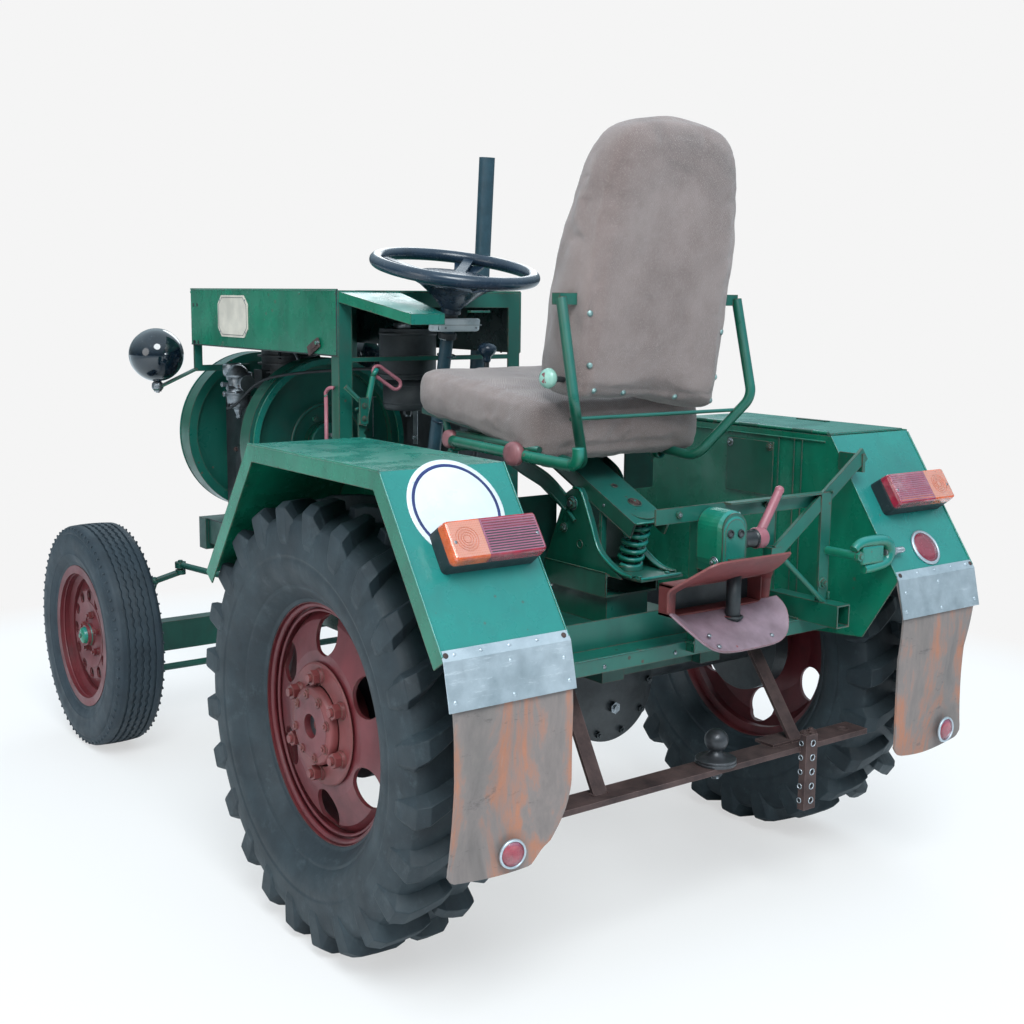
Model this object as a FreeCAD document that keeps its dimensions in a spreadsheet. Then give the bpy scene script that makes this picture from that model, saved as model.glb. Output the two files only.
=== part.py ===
"""Homemade tractor as a parametric document: every length is in millimetres.

Axes: +X to the tractor's left, +Y to its back, +Z up. The pieces are drawn about the foot of
the rear axle, and node() then moves each one back by AxleSetback, so that the part's origin
lies on the ground under the middle of the machine.
"""

import FreeCAD, Part

import math
import os

import Sketcher

SIZES = {
    # Whole machine
    "AxleSetback": 633,
    "Wheelbase": 1520,
    "RearTrackHalf": 615,
    "FrontTrackHalf": 577,
    "PinClearance": 0.3,
    "MovingGap": 6,
    # Rear tyre and rim
    "RearTyreRadius": 465,
    "RearTyreWidth": 205,
    "RearRimRadius": 277,
    "RearRimWidth": 90,
    "RearSeatRadius": 254,
    "RearWellRadius": 236,
    "RearWindowPitch": 184,
    "RearWindowRadius": 42,
    "LugHeight": 34,
    "LugSweep": 62,
    "LugTaper": 9,
    # Front tyre and rim
    "FrontTyreRadius": 328,
    "FrontTyreWidth": 151,
    "FrontRimRadius": 209,
    "FrontRimWidth": 122,
    "FrontSeatRadius": 190,
    "FrontWellRadius": 174,
    "FrontWindowPitch": 118,
    "FrontWindowRadius": 17,
    "RimSheet": 5,
    "DiscSheet": 8,
    # Rear axle
    "AxleTubeRadius": 45,
    "StubRadius": 25,
    "DrumRadius": 125,
    "DrumWidth": 45,
    "DifferentialRadius": 130,
    "PropTubeRadius": 45,
    # Front axle
    "BeamWidth": 50,
    "BeamDepth": 90,
    "BeamBottom": 250,
    "KingpinHalf": 525,
    "KingpinRadius": 12,
    "BossRadius": 27,
    "BossDepth": 68,
    "LugThickness": 15,
    "FrontStubRadius": 17,
    "TrackArm": 110,
    "DragLinkFront": 524,
    "TrackRodRadius": 10,
    # Frame
    "RailInner": 110,
    "RailWidth": 60,
    "RailBottom": 540,
    "RailDepth": 80,
    "FrontOverhang": 180,
    "FrameBack": 300,
    "FrontMemberHalf": 180,
    "FrontMemberDepth": 100,
    "CrossWidth": 50,
    "DeckSheet": 6,
    # Engine
    "CrankAxis": 897,
    "CrankRadius": 25,
    "FlywheelRadius": 251,
    "FlywheelWidth": 60,
    "FlywheelRimDepth": 28,
    "FlywheelWeb": 16,
    "FlywheelHub": 62,
    "FlywheelLead": 107,
    "FlywheelSpread": 422,
    "BlockHalf": 130,
    "BlockTop": 1010,
    "CylinderRadius": 80,
    "CylinderTop": 1165,
    "PortHeight": 1075,
    "PortHalf": 28,
    "PortReach": 22,
    "InletLength": 66,
    "InletRadius": 16,
    "FinReach": 12,
    "FinPitch": 24,
    "FinSheet": 5,
    # Battery box
    "BatteryInner": 264,
    "BatteryWidth": 166,
    "BatteryFront": 1300,
    "BatteryLength": 440,
    "BatteryBottom": 700,
    "BatteryHeight": 320,
    "BatteryLidMargin": 4,
    "BatteryLidHeight": 22,
    "BatteryArmWidth": 36,
    # Gearbox
    "GearboxHalf": 104,
    "GearboxBottom": 400,
    "GearboxTop": 600,
    "GearboxFront": 1140,
    "GearboxBack": 480,
    # Hood
    "HoodHalf": 282,
    "HoodSetback": 34,
    "HoodBack": 600,
    "HoodBottom": 1179,
    "HoodTop": 1342,
    "HoodSheet": 3,
    "TankRadius": 75,
    "TankHeight": 131,
    "TankDrop": 66,
    "TankGap": 21,
    "TankX": 15,
    "AngleSide": 38,
    "AngleSheet": 4,
    "FrameBar": 8,
    "FrontBarDrop": 79,
    "ShelfBack": 392,
    "ShelfDrop": 51,
    "ShelfLip": 26,
    "ShelfInner": 102,
    "ColumnNotch": 56,
    "ShelfHalfBack": 200,
    # Steering
    "ColumnRadius": 17,
    "ColumnTilt": 11.5,
    "SteeringWheelHeight": 1400,
    "SteeringWheelSetback": 500,
    "SteeringWheelRadius": 200,
    "SteeringRingRadius": 16,
    "SwitchDrop": 142,
    "HubHeight": 66,
    "HubDrop": 84,
    "HubRadiusLow": 24,
    "HubRadiusHigh": 96,
    "PitmanAxis": 672,
    "PitmanSetback": 690,
    "PitmanLength": 122,
    "PitmanX": 258,
    "PitmanThickness": 10,
    "SteeringBoxBack": 70,
    "SteeringBoxFront": 50,
    "SteeringBoxHeight": 104,
    "FootboardBack": 250,
    "PitmanShaftRadius": 15,
    "PitmanShaftStart": 120,
    "GearLeverX": 75,
    "GearLeverAhead": 90,
    "TurretHeight": 60,
    "LeverLean": 70,
    "GearKnobHeight": 1195,
    "HandLeverX": 245,
    "HandLeverAhead": 530,
    "HandLeverHeight": 1105,
    # Seat
    "CushionHalf": 235,
    "CushionLength": 480,
    "CushionHeight": 90,
    "CushionFront": 325,
    "CushionRise": 88,
    "CushionCorner": 42,
    "SeatTilt": 6,
    "BackrestHalfBottom": 198,
    "BackrestHalfTop": 150,
    "BackrestHeight": 560,
    "BackrestThickBottom": 135,
    "BackrestThickTop": 85,
    "BackrestBack": 242,
    "BackrestRise": 48,
    "BackrestLean": 8.6,
    "SeatTubeRadius": 11,
    "ArmFront": -90,
    "ArmRise": 126,
    "ArmFootX": 160,
    "ArmSpread": 52,
    "ArmStrapRise": 220,
    "SwingArmHalf": 50,
    "SwingArmDepth": 36,
    "SwingArmLength": 330,
    "SwingArmTilt": 24.6,
    "SwingArmSheet": 4,
    "SwingArmBack": 256,
    "SpringLength": 114,
    "SpringRadius": 28,
    "TrayHalf": 75,
    "PedestalHeight": 64,
    "TrayDepth": 54,
    "TrayFront": -20,
    "TrayBack": 194,
    "BasePlateBack": 290,
    # Fenders
    "FenderReach": 115,
    "FenderWidth": 272,
    "FenderTop": 1026,
    "FenderFlatFront": 180,
    "FenderFlatBack": 342,
    "FenderBackReach": 548,
    "FenderBackBottom": 727,
    "FenderFrontReach": 400,
    "FenderFrontBottom": 721,
    "FenderSheet": 3,
    "FenderLip": 35,
    "SkirtBottom": 571,
    "BoxFloor": 950,
    "LidMargin": 14,
    "LidSheet": 4,
    # Mudflaps
    "FlapBottom": 325,
    "FlapSheet": 5,
    "FlapNarrow": 74,
    "FlapInset": 20,
    "FlapPlateHeight": 84,
    "FlapPlateLean": 19,
    "FlapPlateHem": 20,
    "FlapPlateSheet": 2,
    # Tail lamps
    "LampCentre": 574,
    "LampCentreRight": 612,
    "LampWidth": 200,
    "LampHeight": 80,
    "LampDepth": 55,
    "LampDrop": 168,
    # Rear cross channel and tow bar
    "ChannelFront": 240,
    "ChannelBack": 400,
    "ChannelTop": 632,
    "ChannelLip": 32,
    "ChannelSheet": 4,
    "ChannelUprightInset": 60,
    "ChannelUprightHeight": 58,
    "TowBarLeft": 500,
    "TowBarRight": 485,
    "TowBarBack": 464,
    "TowBarWidth": 62,
    "TowBarThickness": 12,
    "TowBarTop": 367,
    "TowHoleInset": 47,
    "TowHoleRadius": 11,
    "StrutX": 275,
    "StrutWidth": 34,
    "StrutSheet": 8,
    "AngleX": 262,
    "AngleBack": 480,
    "AngleWide": 36,
    "AngleLow": 225,
    "AngleHigh": 395,
    "AngleHoles": 5,
    "AngleHoleRadius": 6,
    "BallX": 34,
    "BallRadius": 25,
    "BallHeight": 50,
    "BallFlangeRadius": 44,
    "BallFlangeDepth": 14,
    "BallShankRadius": 9,
    # Trailer coupling
    "CouplingHalf": 34,
    "CouplingFront": 428,
    "CouplingBack": 498,
    "CouplingBottom": 790,
    "CouplingTop": 910,
    "JawLeft": 137,
    "JawRight": 115,
    "JawLow": 708,
    "JawHigh": 772,
    "JawNeckBack": 470,
    "JawBack": 582,
    "JawFlareLeft": 190,
    "JawFlareRight": 160,
    "JawFlareLow": 648,
    "JawFlareHigh": 836,
    "JawEarBack": 512,
    "JawEarHigh": 777,
    "JawEarLow": 734,
    "JawLipLeft": 134,
    "JawLipRight": 73,
    "JawTongueLeft": 104,
    "JawTongueRight": 93,
    "JawTongueBack": 565,
    "JawSheet": 6,
    "CouplingPinRadius": 14,
    "CouplingShaftReach": 95,
    "CouplingShaftRise": 55,
    "CouplingPinPlay": 1,
    # Carrier
    "CarrierTubeWidth": 40,
    "CarrierTubeHeight": 50,
    "CarrierTubeX": 330,
    "CarrierTubeBack": 508,
    "CarrierHeight": 920,
    "CarrierTubeWall": 3,
    "CarrierAngle": 32,
    "BraceBack": 435,
    "BraceHigh": 995,
    "BraceLow": 805,
    "BraceFootX": 180,
    "ClampHeight": 792,
    "ClampReach": 94,
    # Exhaust and lamps
    "ExhaustRadius": 22,
    "ExhaustX": 312,
    "ExhaustTop": 1714,
    "ExhaustBack": 804,
    "ExhaustLean": 44,
    "ExhaustBend": 60,
    "HeadlampRadius": 79,
    "HeadlampX": 375,
    "HeadlampLead": 10,
    "HeadlampHeight": 1148,
}

doc = FreeCAD.newDocument("HomemadeTractor")
sheet = doc.addObject("Spreadsheet::Sheet", "Sizes")
for row, (alias, number) in enumerate(SIZES.items(), start=1):
    sheet.set("A%d" % row, alias)
    sheet.set("B%d" % row, str(number))
    sheet.setAlias("B%d" % row, alias)
doc.recompute()

NODES = []


class Size:
    """A length worked out from the sheet: its expression, and its value for hand-made shapes."""

    def __init__(self, text, value):
        self.text = text
        self.value = value

    def __add__(self, other):
        return Size("(%s + %s)" % (self.text, text(other)), self.value + value(other))

    def __radd__(self, other):
        return Size("(%s + %s)" % (text(other), self.text), value(other) + self.value)

    def __sub__(self, other):
        return Size("(%s - %s)" % (self.text, text(other)), self.value - value(other))

    def __rsub__(self, other):
        return Size("(%s - %s)" % (text(other), self.text), value(other) - self.value)

    def __mul__(self, other):
        return Size("(%s * %s)" % (self.text, text(other)), self.value * value(other))

    def __rmul__(self, other):
        return self.__mul__(other)

    def __truediv__(self, other):
        return Size("(%s / %s)" % (self.text, text(other)), self.value / value(other))

    def __neg__(self):
        return Size("(-%s)" % self.text, -self.value)


def text(size):
    """The expression of a Size, or of a plain number."""
    if isinstance(size, Size):
        return size.text
    return "(%r)" % float(size)


def value(size):
    """The number of a Size, or of a plain number."""
    if isinstance(size, Size):
        return size.value
    return float(size)


class Sheet:
    """Reads the spreadsheet: S.Wheelbase is the Size of the cell with that alias."""

    def __getattr__(self, alias):
        return Size("Sizes.%s" % alias, float(getattr(sheet, alias)))


S = Sheet()

FRAME_FRONT = S.Wheelbase + S.FrontOverhang
FRONT_FLYWHEEL = S.Wheelbase + S.FlywheelLead
REAR_FLYWHEEL = FRONT_FLYWHEEL - S.FlywheelSpread
ENGINE_MIDDLE = FRONT_FLYWHEEL - S.FlywheelSpread / 2
HOOD_FRONT = S.Wheelbase - S.HoodSetback
LAMP_BACK = S.Wheelbase + S.HeadlampLead
FENDER_OUTER = S.RearTrackHalf + S.FenderReach
FENDER_INNER = FENDER_OUTER - S.FenderWidth
RAIL_TOP = S.RailBottom + S.RailDepth
RAIL_OUTER = S.RailInner + S.RailWidth
TRAY_BOTTOM = RAIL_TOP + S.DeckSheet + S.PedestalHeight
TRAY_TOP = TRAY_BOTTOM + S.TrayDepth
SWING_ARM_END = TRAY_TOP + S.SpringLength
ARM_HEIGHT = SWING_ARM_END + S.ArmRise
CUSHION_BOTTOM = ARM_HEIGHT + S.CushionRise
BACKREST_BOTTOM = CUSHION_BOTTOM + S.BackrestRise
COUPLING_SHAFT = S.CouplingBottom + S.CouplingShaftRise
TOW_HOLE_BACK = S.TowBarBack - S.TowBarWidth / 2


def vec(point):
    """A FreeCAD vector from three sizes."""
    return FreeCAD.Vector(*[value(size) for size in point])


def bind(thing, name, size):
    """Ties one property of an object to the sheet."""
    thing.setExpression(name, text(size))


def put(thing, point):
    """Ties an object's place to the sheet."""
    for axis, size in zip("xyz", point):
        bind(thing, "Placement.Base." + axis, size)
    return thing


def turn(thing, axis, degrees):
    """Turns an object about an axis through its own base point."""
    thing.Placement = FreeCAD.Placement(thing.Placement.Base, FreeCAD.Rotation(axis, degrees))
    return thing


AXIS_X = FreeCAD.Vector(1, 0, 0)
AXIS_Y = FreeCAD.Vector(0, 1, 0)
AXIS_Z = FreeCAD.Vector(0, 0, 1)
AXIS_TURN = {"X": (AXIS_Y, 90), "Y": (AXIS_X, -90), "Z": (AXIS_Z, 0)}


def box(name, low, high):
    """A block from its low corner to its high corner."""
    block = doc.addObject("Part::Box", name)
    for side, start, end in zip(("Length", "Width", "Height"), low, high):
        bind(block, side, end - start)
    return put(block, low)


def cylinder(name, radius, start, length, axis):
    """A round bar along one axis from the point start."""
    bar = doc.addObject("Part::Cylinder", name)
    turn(bar, *AXIS_TURN[axis])
    bind(bar, "Radius", radius)
    bind(bar, "Height", length)
    return put(bar, start)



def sphere(name, radius, centre):
    """A ball about a centre."""
    ball = doc.addObject("Part::Sphere", name)
    bind(ball, "Radius", radius)
    return put(ball, centre)


def hand_made(name, shape):
    """A shape made with Part's own functions."""
    thing = doc.addObject("Part::Feature", name)
    thing.Shape = shape
    return thing


def bar_between(name, start, end, width, depth, across=AXIS_X):
    """A flat bar from start to end: width along the given direction, depth at right angles."""
    foot = vec(start)
    run = vec(end) - foot
    length = run.Length
    run.normalize()
    side = across - run * across.dot(run)
    side.normalize()
    face = run.cross(side)
    half_side = side * (value(width) / 2)
    half_face = face * (value(depth) / 2)
    corners = [foot + half_side + half_face, foot - half_side + half_face,
               foot - half_side - half_face, foot + half_side - half_face]
    section = Part.Face(Part.makePolygon(corners + corners[:1]))
    return hand_made(name, section.extrude(run * length))


def rod_between(name, start, end, radius):
    """A round bar from start to end."""
    foot = vec(start)
    run = vec(end) - foot
    return hand_made(name, Part.makeCylinder(value(radius), run.Length, foot, run))


def bent_tube(name, points, radius, bend):
    """A round tube along straight runs joined by tangent arcs of one bend radius."""
    corners = [vec(point) for point in points]
    edges = []
    start = corners[0]
    for before, corner, after in zip(corners, corners[1:], corners[2:]):
        run_in = (corner - before).normalize()
        run_out = (after - corner).normalize()
        half_turn = run_in.getAngle(run_out) / 2
        cut_back = value(bend) * math.tan(half_turn)
        first = corner - run_in * cut_back
        last = corner + run_out * cut_back
        inward = (run_out - run_in).normalize()
        centre = corner + inward * (value(bend) / math.cos(half_turn))
        middle = centre + (corner - centre).normalize() * value(bend)
        edges.append(Part.LineSegment(start, first).toShape())
        edges.append(Part.Arc(first, middle, last).toShape())
        start = last
    edges.append(Part.LineSegment(start, corners[-1]).toShape())
    path = Part.Wire(edges)
    section = Part.Wire(Part.makeCircle(value(radius), corners[0], corners[1] - corners[0]))
    return hand_made(name, path.makePipeShell([section], True, False))


def fuse(name, pieces):
    """Several overlapping shapes made into one."""
    whole = doc.addObject("Part::MultiFuse", name)
    whole.Shapes = pieces
    whole.Refine = True
    return whole


def cut(name, base, tools):
    """A shape with others taken out of it."""
    tool = tools[0]
    if len(tools) > 1:
        tool = fuse(name + "_tools", tools)
    whole = doc.addObject("Part::Cut", name)
    whole.Base = base
    whole.Tool = tool
    whole.Refine = True
    return whole


def common(name, pieces):
    """What several shapes share."""
    whole = doc.addObject("Part::MultiCommon", name)
    whole.Shapes = pieces
    return whole


def gather(name, pieces):
    """Like pieces that don't touch, kept as separate solids of one sub-part."""
    whole = doc.addObject("Part::Compound", name)
    whole.Links = pieces
    return whole


def node(label, thing):
    """Registers a finished sub-part and moves it from the rear axle's foot to the part's origin."""
    if thing.TypeId in ("Part::Box", "Part::Cylinder", "Part::Sphere"):
        thing = gather(label + "_whole", [thing])
    thing.Label = label
    if thing.TypeId == "Part::Feature":
        thing.Placement = FreeCAD.Placement(FreeCAD.Vector(0, S.AxleSetback.value, 0),
                                            FreeCAD.Rotation())
    else:
        bind(thing, "Placement.Base.y", S.AxleSetback)
    NODES.append((label, thing))
    return thing


def origin_plane(body, role):
    """One of a body's own origin planes or axes."""
    return [part for part in body.Origin.OriginFeatures if part.Role == role][0]


def outline(sketch, points):
    """Draws a closed outline of straight lines, every corner tied to the sheet."""
    corners = [FreeCAD.Vector(value(across), value(up), 0) for across, up in points]
    count = len(corners)
    lines = [Part.LineSegment(corners[index], corners[(index + 1) % count])
             for index in range(count)]
    first = sketch.addGeometry(lines, False)[0]
    for index in range(count):
        following = first + (index + 1) % count
        sketch.addConstraint(Sketcher.Constraint("Coincident", first + index, 2, following, 1))
    for index, (across, up) in enumerate(points):
        for kind, size in (("DistanceX", across), ("DistanceY", up)):
            number = sketch.addConstraint(
                Sketcher.Constraint(kind, -1, 1, first + index, 1, value(size)))
            sketch.setExpression("Constraints[%d]" % number, text(size))


def circle(sketch, across, up, radius):
    """Draws a circle tied to the sheet."""
    centre = FreeCAD.Vector(value(across), value(up), 0)
    number = sketch.addGeometry(Part.Circle(centre, AXIS_Z, value(radius)), False)
    ties = [("DistanceX", -1, 1, number, 3, value(across)),
            ("DistanceY", -1, 1, number, 3, value(up)),
            ("Radius", number, value(radius))]
    for tie, size in zip(ties, (across, up, radius)):
        index = sketch.addConstraint(Sketcher.Constraint(*tie))
        sketch.setExpression("Constraints[%d]" % index, text(size))



def sketch_on(body, name, role):
    """A sketch on one of a body's own origin planes."""
    sketch = body.newObject("Sketcher::SketchObject", name)
    sketch.AttachmentSupport = [(origin_plane(body, role), "")]
    sketch.MapMode = "FlatFace"
    return sketch


def padded_body(name, role, points, depth, middle=False, back=False):
    """A body whose outline on an origin plane is padded by depth."""
    body = doc.addObject("PartDesign::Body", name)
    sketch = sketch_on(body, name + "_outline", role)
    outline(sketch, points)
    pad = body.newObject("PartDesign::Pad", name + "_pad")
    pad.Profile = sketch
    pad.Midplane = middle
    pad.Reversed = back
    bind(pad, "Length", depth)
    body.Tip = pad
    return body


def revolved_body(name, role, points):
    """A body of revolution about the horizontal axis of its outline."""
    body = doc.addObject("PartDesign::Body", name)
    add_revolution(body, name, role, points)
    return body


def add_revolution(body, name, role, points):
    """Adds a revolved outline to a body."""
    sketch = sketch_on(body, name + "_profile", role)
    outline(sketch, points)
    revolution = body.newObject("PartDesign::Revolution", name + "_turned")
    revolution.Profile = sketch
    revolution.ReferenceAxis = (sketch, ["H_Axis"])
    revolution.Angle = 360
    body.Tip = revolution
    return revolution


def add_windows(body, name, pitch, radius, count):
    """Cuts a ring of round windows through a wheel's disc, all round its X axis."""
    sketch = sketch_on(body, name + "_window", "YZ_Plane")
    circle(sketch, 0, pitch, radius)
    pocket = body.newObject("PartDesign::Pocket", name + "_pocket")
    pocket.Profile = sketch
    pocket.Type = "ThroughAll"
    pocket.Midplane = True
    ring = body.newObject("PartDesign::PolarPattern", name + "_ring")
    ring.Originals = [pocket]
    ring.Axis = (origin_plane(body, "X_Axis"), [""])
    ring.Angle = 360
    ring.Occurrences = count
    body.Tip = ring


# ---------------------------------------------------------------------------------- wheels

SIDES = (("left", 1), ("right", -1))
LUG_COUNT = 24
ROAD_TYRE_SIDES = 36


def stand_wheel(body, label, side, centre):
    """Puts a wheel, drawn about its own middle with its face to +X, on its side of the tractor."""
    if side < 0:
        turn(body, AXIS_Z, 180)
    body.Label = label
    put(body, (centre[0], centre[1] + S.AxleSetback, centre[2]))
    NODES.append((label, body))


def wheel_corner(across, radius, angle):
    """A corner of a faceted wheel, at an angle round its X axis."""
    return FreeCAD.Vector(across, radius * math.cos(angle), radius * math.sin(angle))


def facet(*corners):
    """A flat face with the given corners."""
    return Part.Face(Part.makePolygon(list(corners) + [corners[0]]))


def two_facets(first, second, third, fourth):
    """Two triangles that span four corners that may not lie in one plane."""
    return [facet(first, second, third), facet(first, third, fourth)]


def faceted_solid(faces):
    """Sews flat faces into one solid."""
    skin = Part.makeCompound(faces)
    skin.sewShape()
    solid = Part.Solid(skin.Shells[0])
    if solid.Volume < 0:
        solid.reverse()
    return solid


def road_tyre(label, side, centre):
    """A front tyre: a faceted ring with beads inside the rim's flanges and bulging walls."""
    radius = value(S.FrontTyreRadius)
    width = value(S.FrontTyreWidth)
    rim = value(S.FrontRimRadius)
    bead = value(S.FrontRimWidth) / 2 - value(S.RimSheet)
    wall = radius - rim
    step = 2 * math.pi / ROAD_TYRE_SIDES
    seat = value(S.FrontSeatRadius) / math.cos(step / 2)
    half = [(bead, seat), (bead, rim + 2), (width * 0.46, rim + wall * 0.22),
            (width / 2, rim + wall * 0.5), (width * 0.47, rim + wall * 0.84), (width * 0.38, radius)]
    rows = half + [(-across, up) for across, up in reversed(half)]
    faces = []
    for number in range(ROAD_TYRE_SIDES):
        start, end = step * number, step * (number + 1)
        for (across, up), (next_across, next_up) in zip(rows, rows[1:] + rows[:1]):
            faces.append(facet(wheel_corner(across, up, start), wheel_corner(across, up, end),
                               wheel_corner(next_across, next_up, end),
                               wheel_corner(next_across, next_up, start)))
    stand_wheel(hand_made(label, faceted_solid(faces)), label, side, centre)


def lug_faces(hand, low_rows, high_rows, start, end, taper, sweep):
    """One lug: its top, two flanks and inner end, from the tyre's wall to near its middle."""
    faces = []
    low = [[wheel_corner(hand * across, up, angle + sweep * across) for angle in (start, end)]
           for across, up in low_rows]
    high = [[wheel_corner(hand * across, up, angle + sweep * across)
             for angle in (start + taper, end - taper)] for across, up in high_rows]
    high[0] = low[0]
    for outer, inner in zip(high, high[1:]):
        faces += two_facets(outer[0], outer[1], inner[1], inner[0])
    for edge in (0, 1):
        faces.append(facet(low[0][edge], low[1][edge], high[1][edge]))
        for row in (1, 2):
            faces += two_facets(low[row][edge], low[row + 1][edge], high[row + 1][edge],
                                high[row][edge])
    faces.append(facet(low[3][0], low[3][1], high[3][1], high[3][0]))
    return faces


def drive_tyre(label, side, centre):
    """A rear tyre: a faceted carcass with two staggered rows of lugs swept back to its walls."""
    radius = value(S.RearTyreRadius)
    width = value(S.RearTyreWidth)
    rim = value(S.RearRimRadius)
    bead = value(S.RearRimWidth) / 2 - value(S.RimSheet)
    wall = radius - rim
    foot = (width * 0.495, rim + wall * 0.64)
    crown = radius - value(S.LugHeight)
    step = math.pi / LUG_COUNT
    seat = value(S.RearSeatRadius) / math.cos(step / 2)
    walls = [(bead, seat), (bead, rim + 2), (width * 0.42, rim + wall * 0.2),
             (width / 2, rim + wall * 0.44), foot]
    low = [foot, (width * 0.43, crown - wall * 0.04), (width * 0.25, crown), (width * 0.03, crown)]
    high = [foot, (width / 2, radius - wall * 0.08), (width * 0.25, radius - wall * 0.005),
            (width * 0.03, radius)]
    taper = value(S.LugTaper) / radius
    sweep = -side * value(S.LugSweep) / radius / foot[0]
    lean = sweep * foot[0]
    faces = []
    for number in range(2 * LUG_COUNT):
        start = step * number - taper - sweep * high[3][0]
        end = start + step
        corners = [[wheel_corner(hand * bead, walls[0][1], angle + lean) for angle in (start, end)]
                   for hand in (1, -1)]
        faces.append(facet(corners[0][0], corners[0][1], corners[1][1], corners[1][0]))
        middle = [[wheel_corner(hand * low[3][0], crown, angle + sweep * low[3][0])
                   for angle in (start, end)] for hand in (1, -1)]
        faces.append(facet(middle[0][0], middle[0][1], middle[1][1], middle[1][0]))
        for hand in (1, -1):
            for (across, up), (next_across, next_up) in zip(walls, walls[1:]):
                faces.append(facet(wheel_corner(hand * across, up, start + lean),
                                   wheel_corner(hand * across, up, end + lean),
                                   wheel_corner(hand * next_across, next_up, end + lean),
                                   wheel_corner(hand * next_across, next_up, start + lean)))
            if (number % 2 == 0) == (hand > 0):
                faces += lug_faces(hand, low, high, start, end, taper, sweep)
                continue
            rows = [[wheel_corner(hand * across, up, angle + sweep * across)
                     for angle in (start, end)] for across, up in low]
            for outer, inner in zip(rows, rows[1:]):
                faces += two_facets(outer[0], outer[1], inner[1], inner[0])
    stand_wheel(hand_made(label, faceted_solid(faces)), label, side, centre)


def rim_profile(radius, width, seat, well):
    """The rim's barrel: a pressed sheet with a flange at each side and a well in the middle."""
    sheet_wall = S.RimSheet
    half = width / 2
    outer = [(half, radius), (half - sheet_wall, radius), (half - sheet_wall, seat),
             (width * 0.22, seat), (width * 0.16, well)]
    outer_line = outer + [(-across, up) for across, up in reversed(outer)]
    inner = [(-half, seat - sheet_wall), (-width * 0.22 - sheet_wall, seat - sheet_wall),
             (-width * 0.16 - sheet_wall, well - sheet_wall)]
    inner_line = inner + [(-across, up) for across, up in reversed(inner)]
    return outer_line + inner_line


def rear_rims():
    """Rear rims: barrel, dished disc with windows, and a hub with a flanged cap."""
    bore = S.StubRadius + S.PinClearance
    well = S.RearWellRadius
    for name, side in SIDES:
        label = "rear_rim_" + name
        body = revolved_body(label, "XY_Plane",
                             rim_profile(S.RearRimRadius, S.RearRimWidth, S.RearSeatRadius, well))
        disc = [(-4, well - 1), (-4 + S.DiscSheet, well - 1), (20 + S.DiscSheet, 212),
                (34 + S.DiscSheet, 150), (34 + S.DiscSheet, 72), (74, 66), (74, 0 + bore),
                (-20, bore), (-20, 80), (34, 84), (34, 148), (20, 208)]
        add_revolution(body, label + "_disc", "XY_Plane", disc)
        add_windows(body, label, S.RearWindowPitch, S.RearWindowRadius, 6)
        stand_wheel(body, label, side, (side * S.RearTrackHalf, 0, S.RearTyreRadius))


def front_rims():
    """Front rims: barrel, disc with a ring of small holes, and a hub."""
    bore = S.FrontStubRadius + S.PinClearance
    well = S.FrontWellRadius
    for name, side in SIDES:
        label = "front_rim_" + name
        body = revolved_body(label, "XY_Plane",
                             rim_profile(S.FrontRimRadius, S.FrontRimWidth, S.FrontSeatRadius, well))
        disc = [(4, well - 1), (4 + S.DiscSheet, well - 1), (12 + S.DiscSheet, 152),
                (24 + S.DiscSheet, 130), (24 + S.DiscSheet, 100), (12 + S.DiscSheet, 62),
                (30, 34), (48, 30), (48, bore), (-8, bore), (-8, 44), (12, 60), (24, 98), (24, 128),
                (12, 150)]
        add_revolution(body, label + "_disc", "XY_Plane", disc)
        add_windows(body, label, S.FrontWindowPitch, S.FrontWindowRadius, 12)
        stand_wheel(body, label, side, (side * S.FrontTrackHalf, -S.Wheelbase, S.FrontTyreRadius))


def tyres():
    """The four tyres."""
    for name, side in SIDES:
        drive_tyre("rear_tyre_" + name, side, (side * S.RearTrackHalf, 0, S.RearTyreRadius))
        road_tyre("front_tyre_" + name, side,
                  (side * S.FrontTrackHalf, -S.Wheelbase, S.FrontTyreRadius))


# -------------------------------------------------------------------------- chassis and axles

def frame_rails():
    """Two box rails joined by a front member, cross members and a deck plate under the seat."""
    pieces = []
    for name, side in SIDES:
        low = S.RailInner if side > 0 else -RAIL_OUTER
        pieces.append(box("rail_" + name, (low, -FRAME_FRONT, S.RailBottom),
                          (low + S.RailWidth, S.FrameBack, RAIL_TOP)))
    pieces.append(box("front_member",
                      (-S.FrontMemberHalf, -FRAME_FRONT, RAIL_TOP - S.FrontMemberDepth),
                      (S.FrontMemberHalf, -FRAME_FRONT + S.CrossWidth, RAIL_TOP)))
    behind_gearbox = -S.GearboxBack + 2 * S.CrossWidth
    for number, back in enumerate((-S.Wheelbase, behind_gearbox, S.FrameBack - S.CrossWidth)):
        pieces.append(box("cross_%d" % number, (-RAIL_OUTER, back - S.CrossWidth / 2, S.RailBottom),
                          (RAIL_OUTER, back + S.CrossWidth / 2, RAIL_TOP)))
    pieces.append(box("deck", (-RAIL_OUTER, S.TrayFront - S.CrossWidth, RAIL_TOP),
                      (RAIL_OUTER, S.ChannelFront, RAIL_TOP + S.DeckSheet)))
    node("frame_rails", fuse("frame_rails_whole", pieces))


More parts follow.
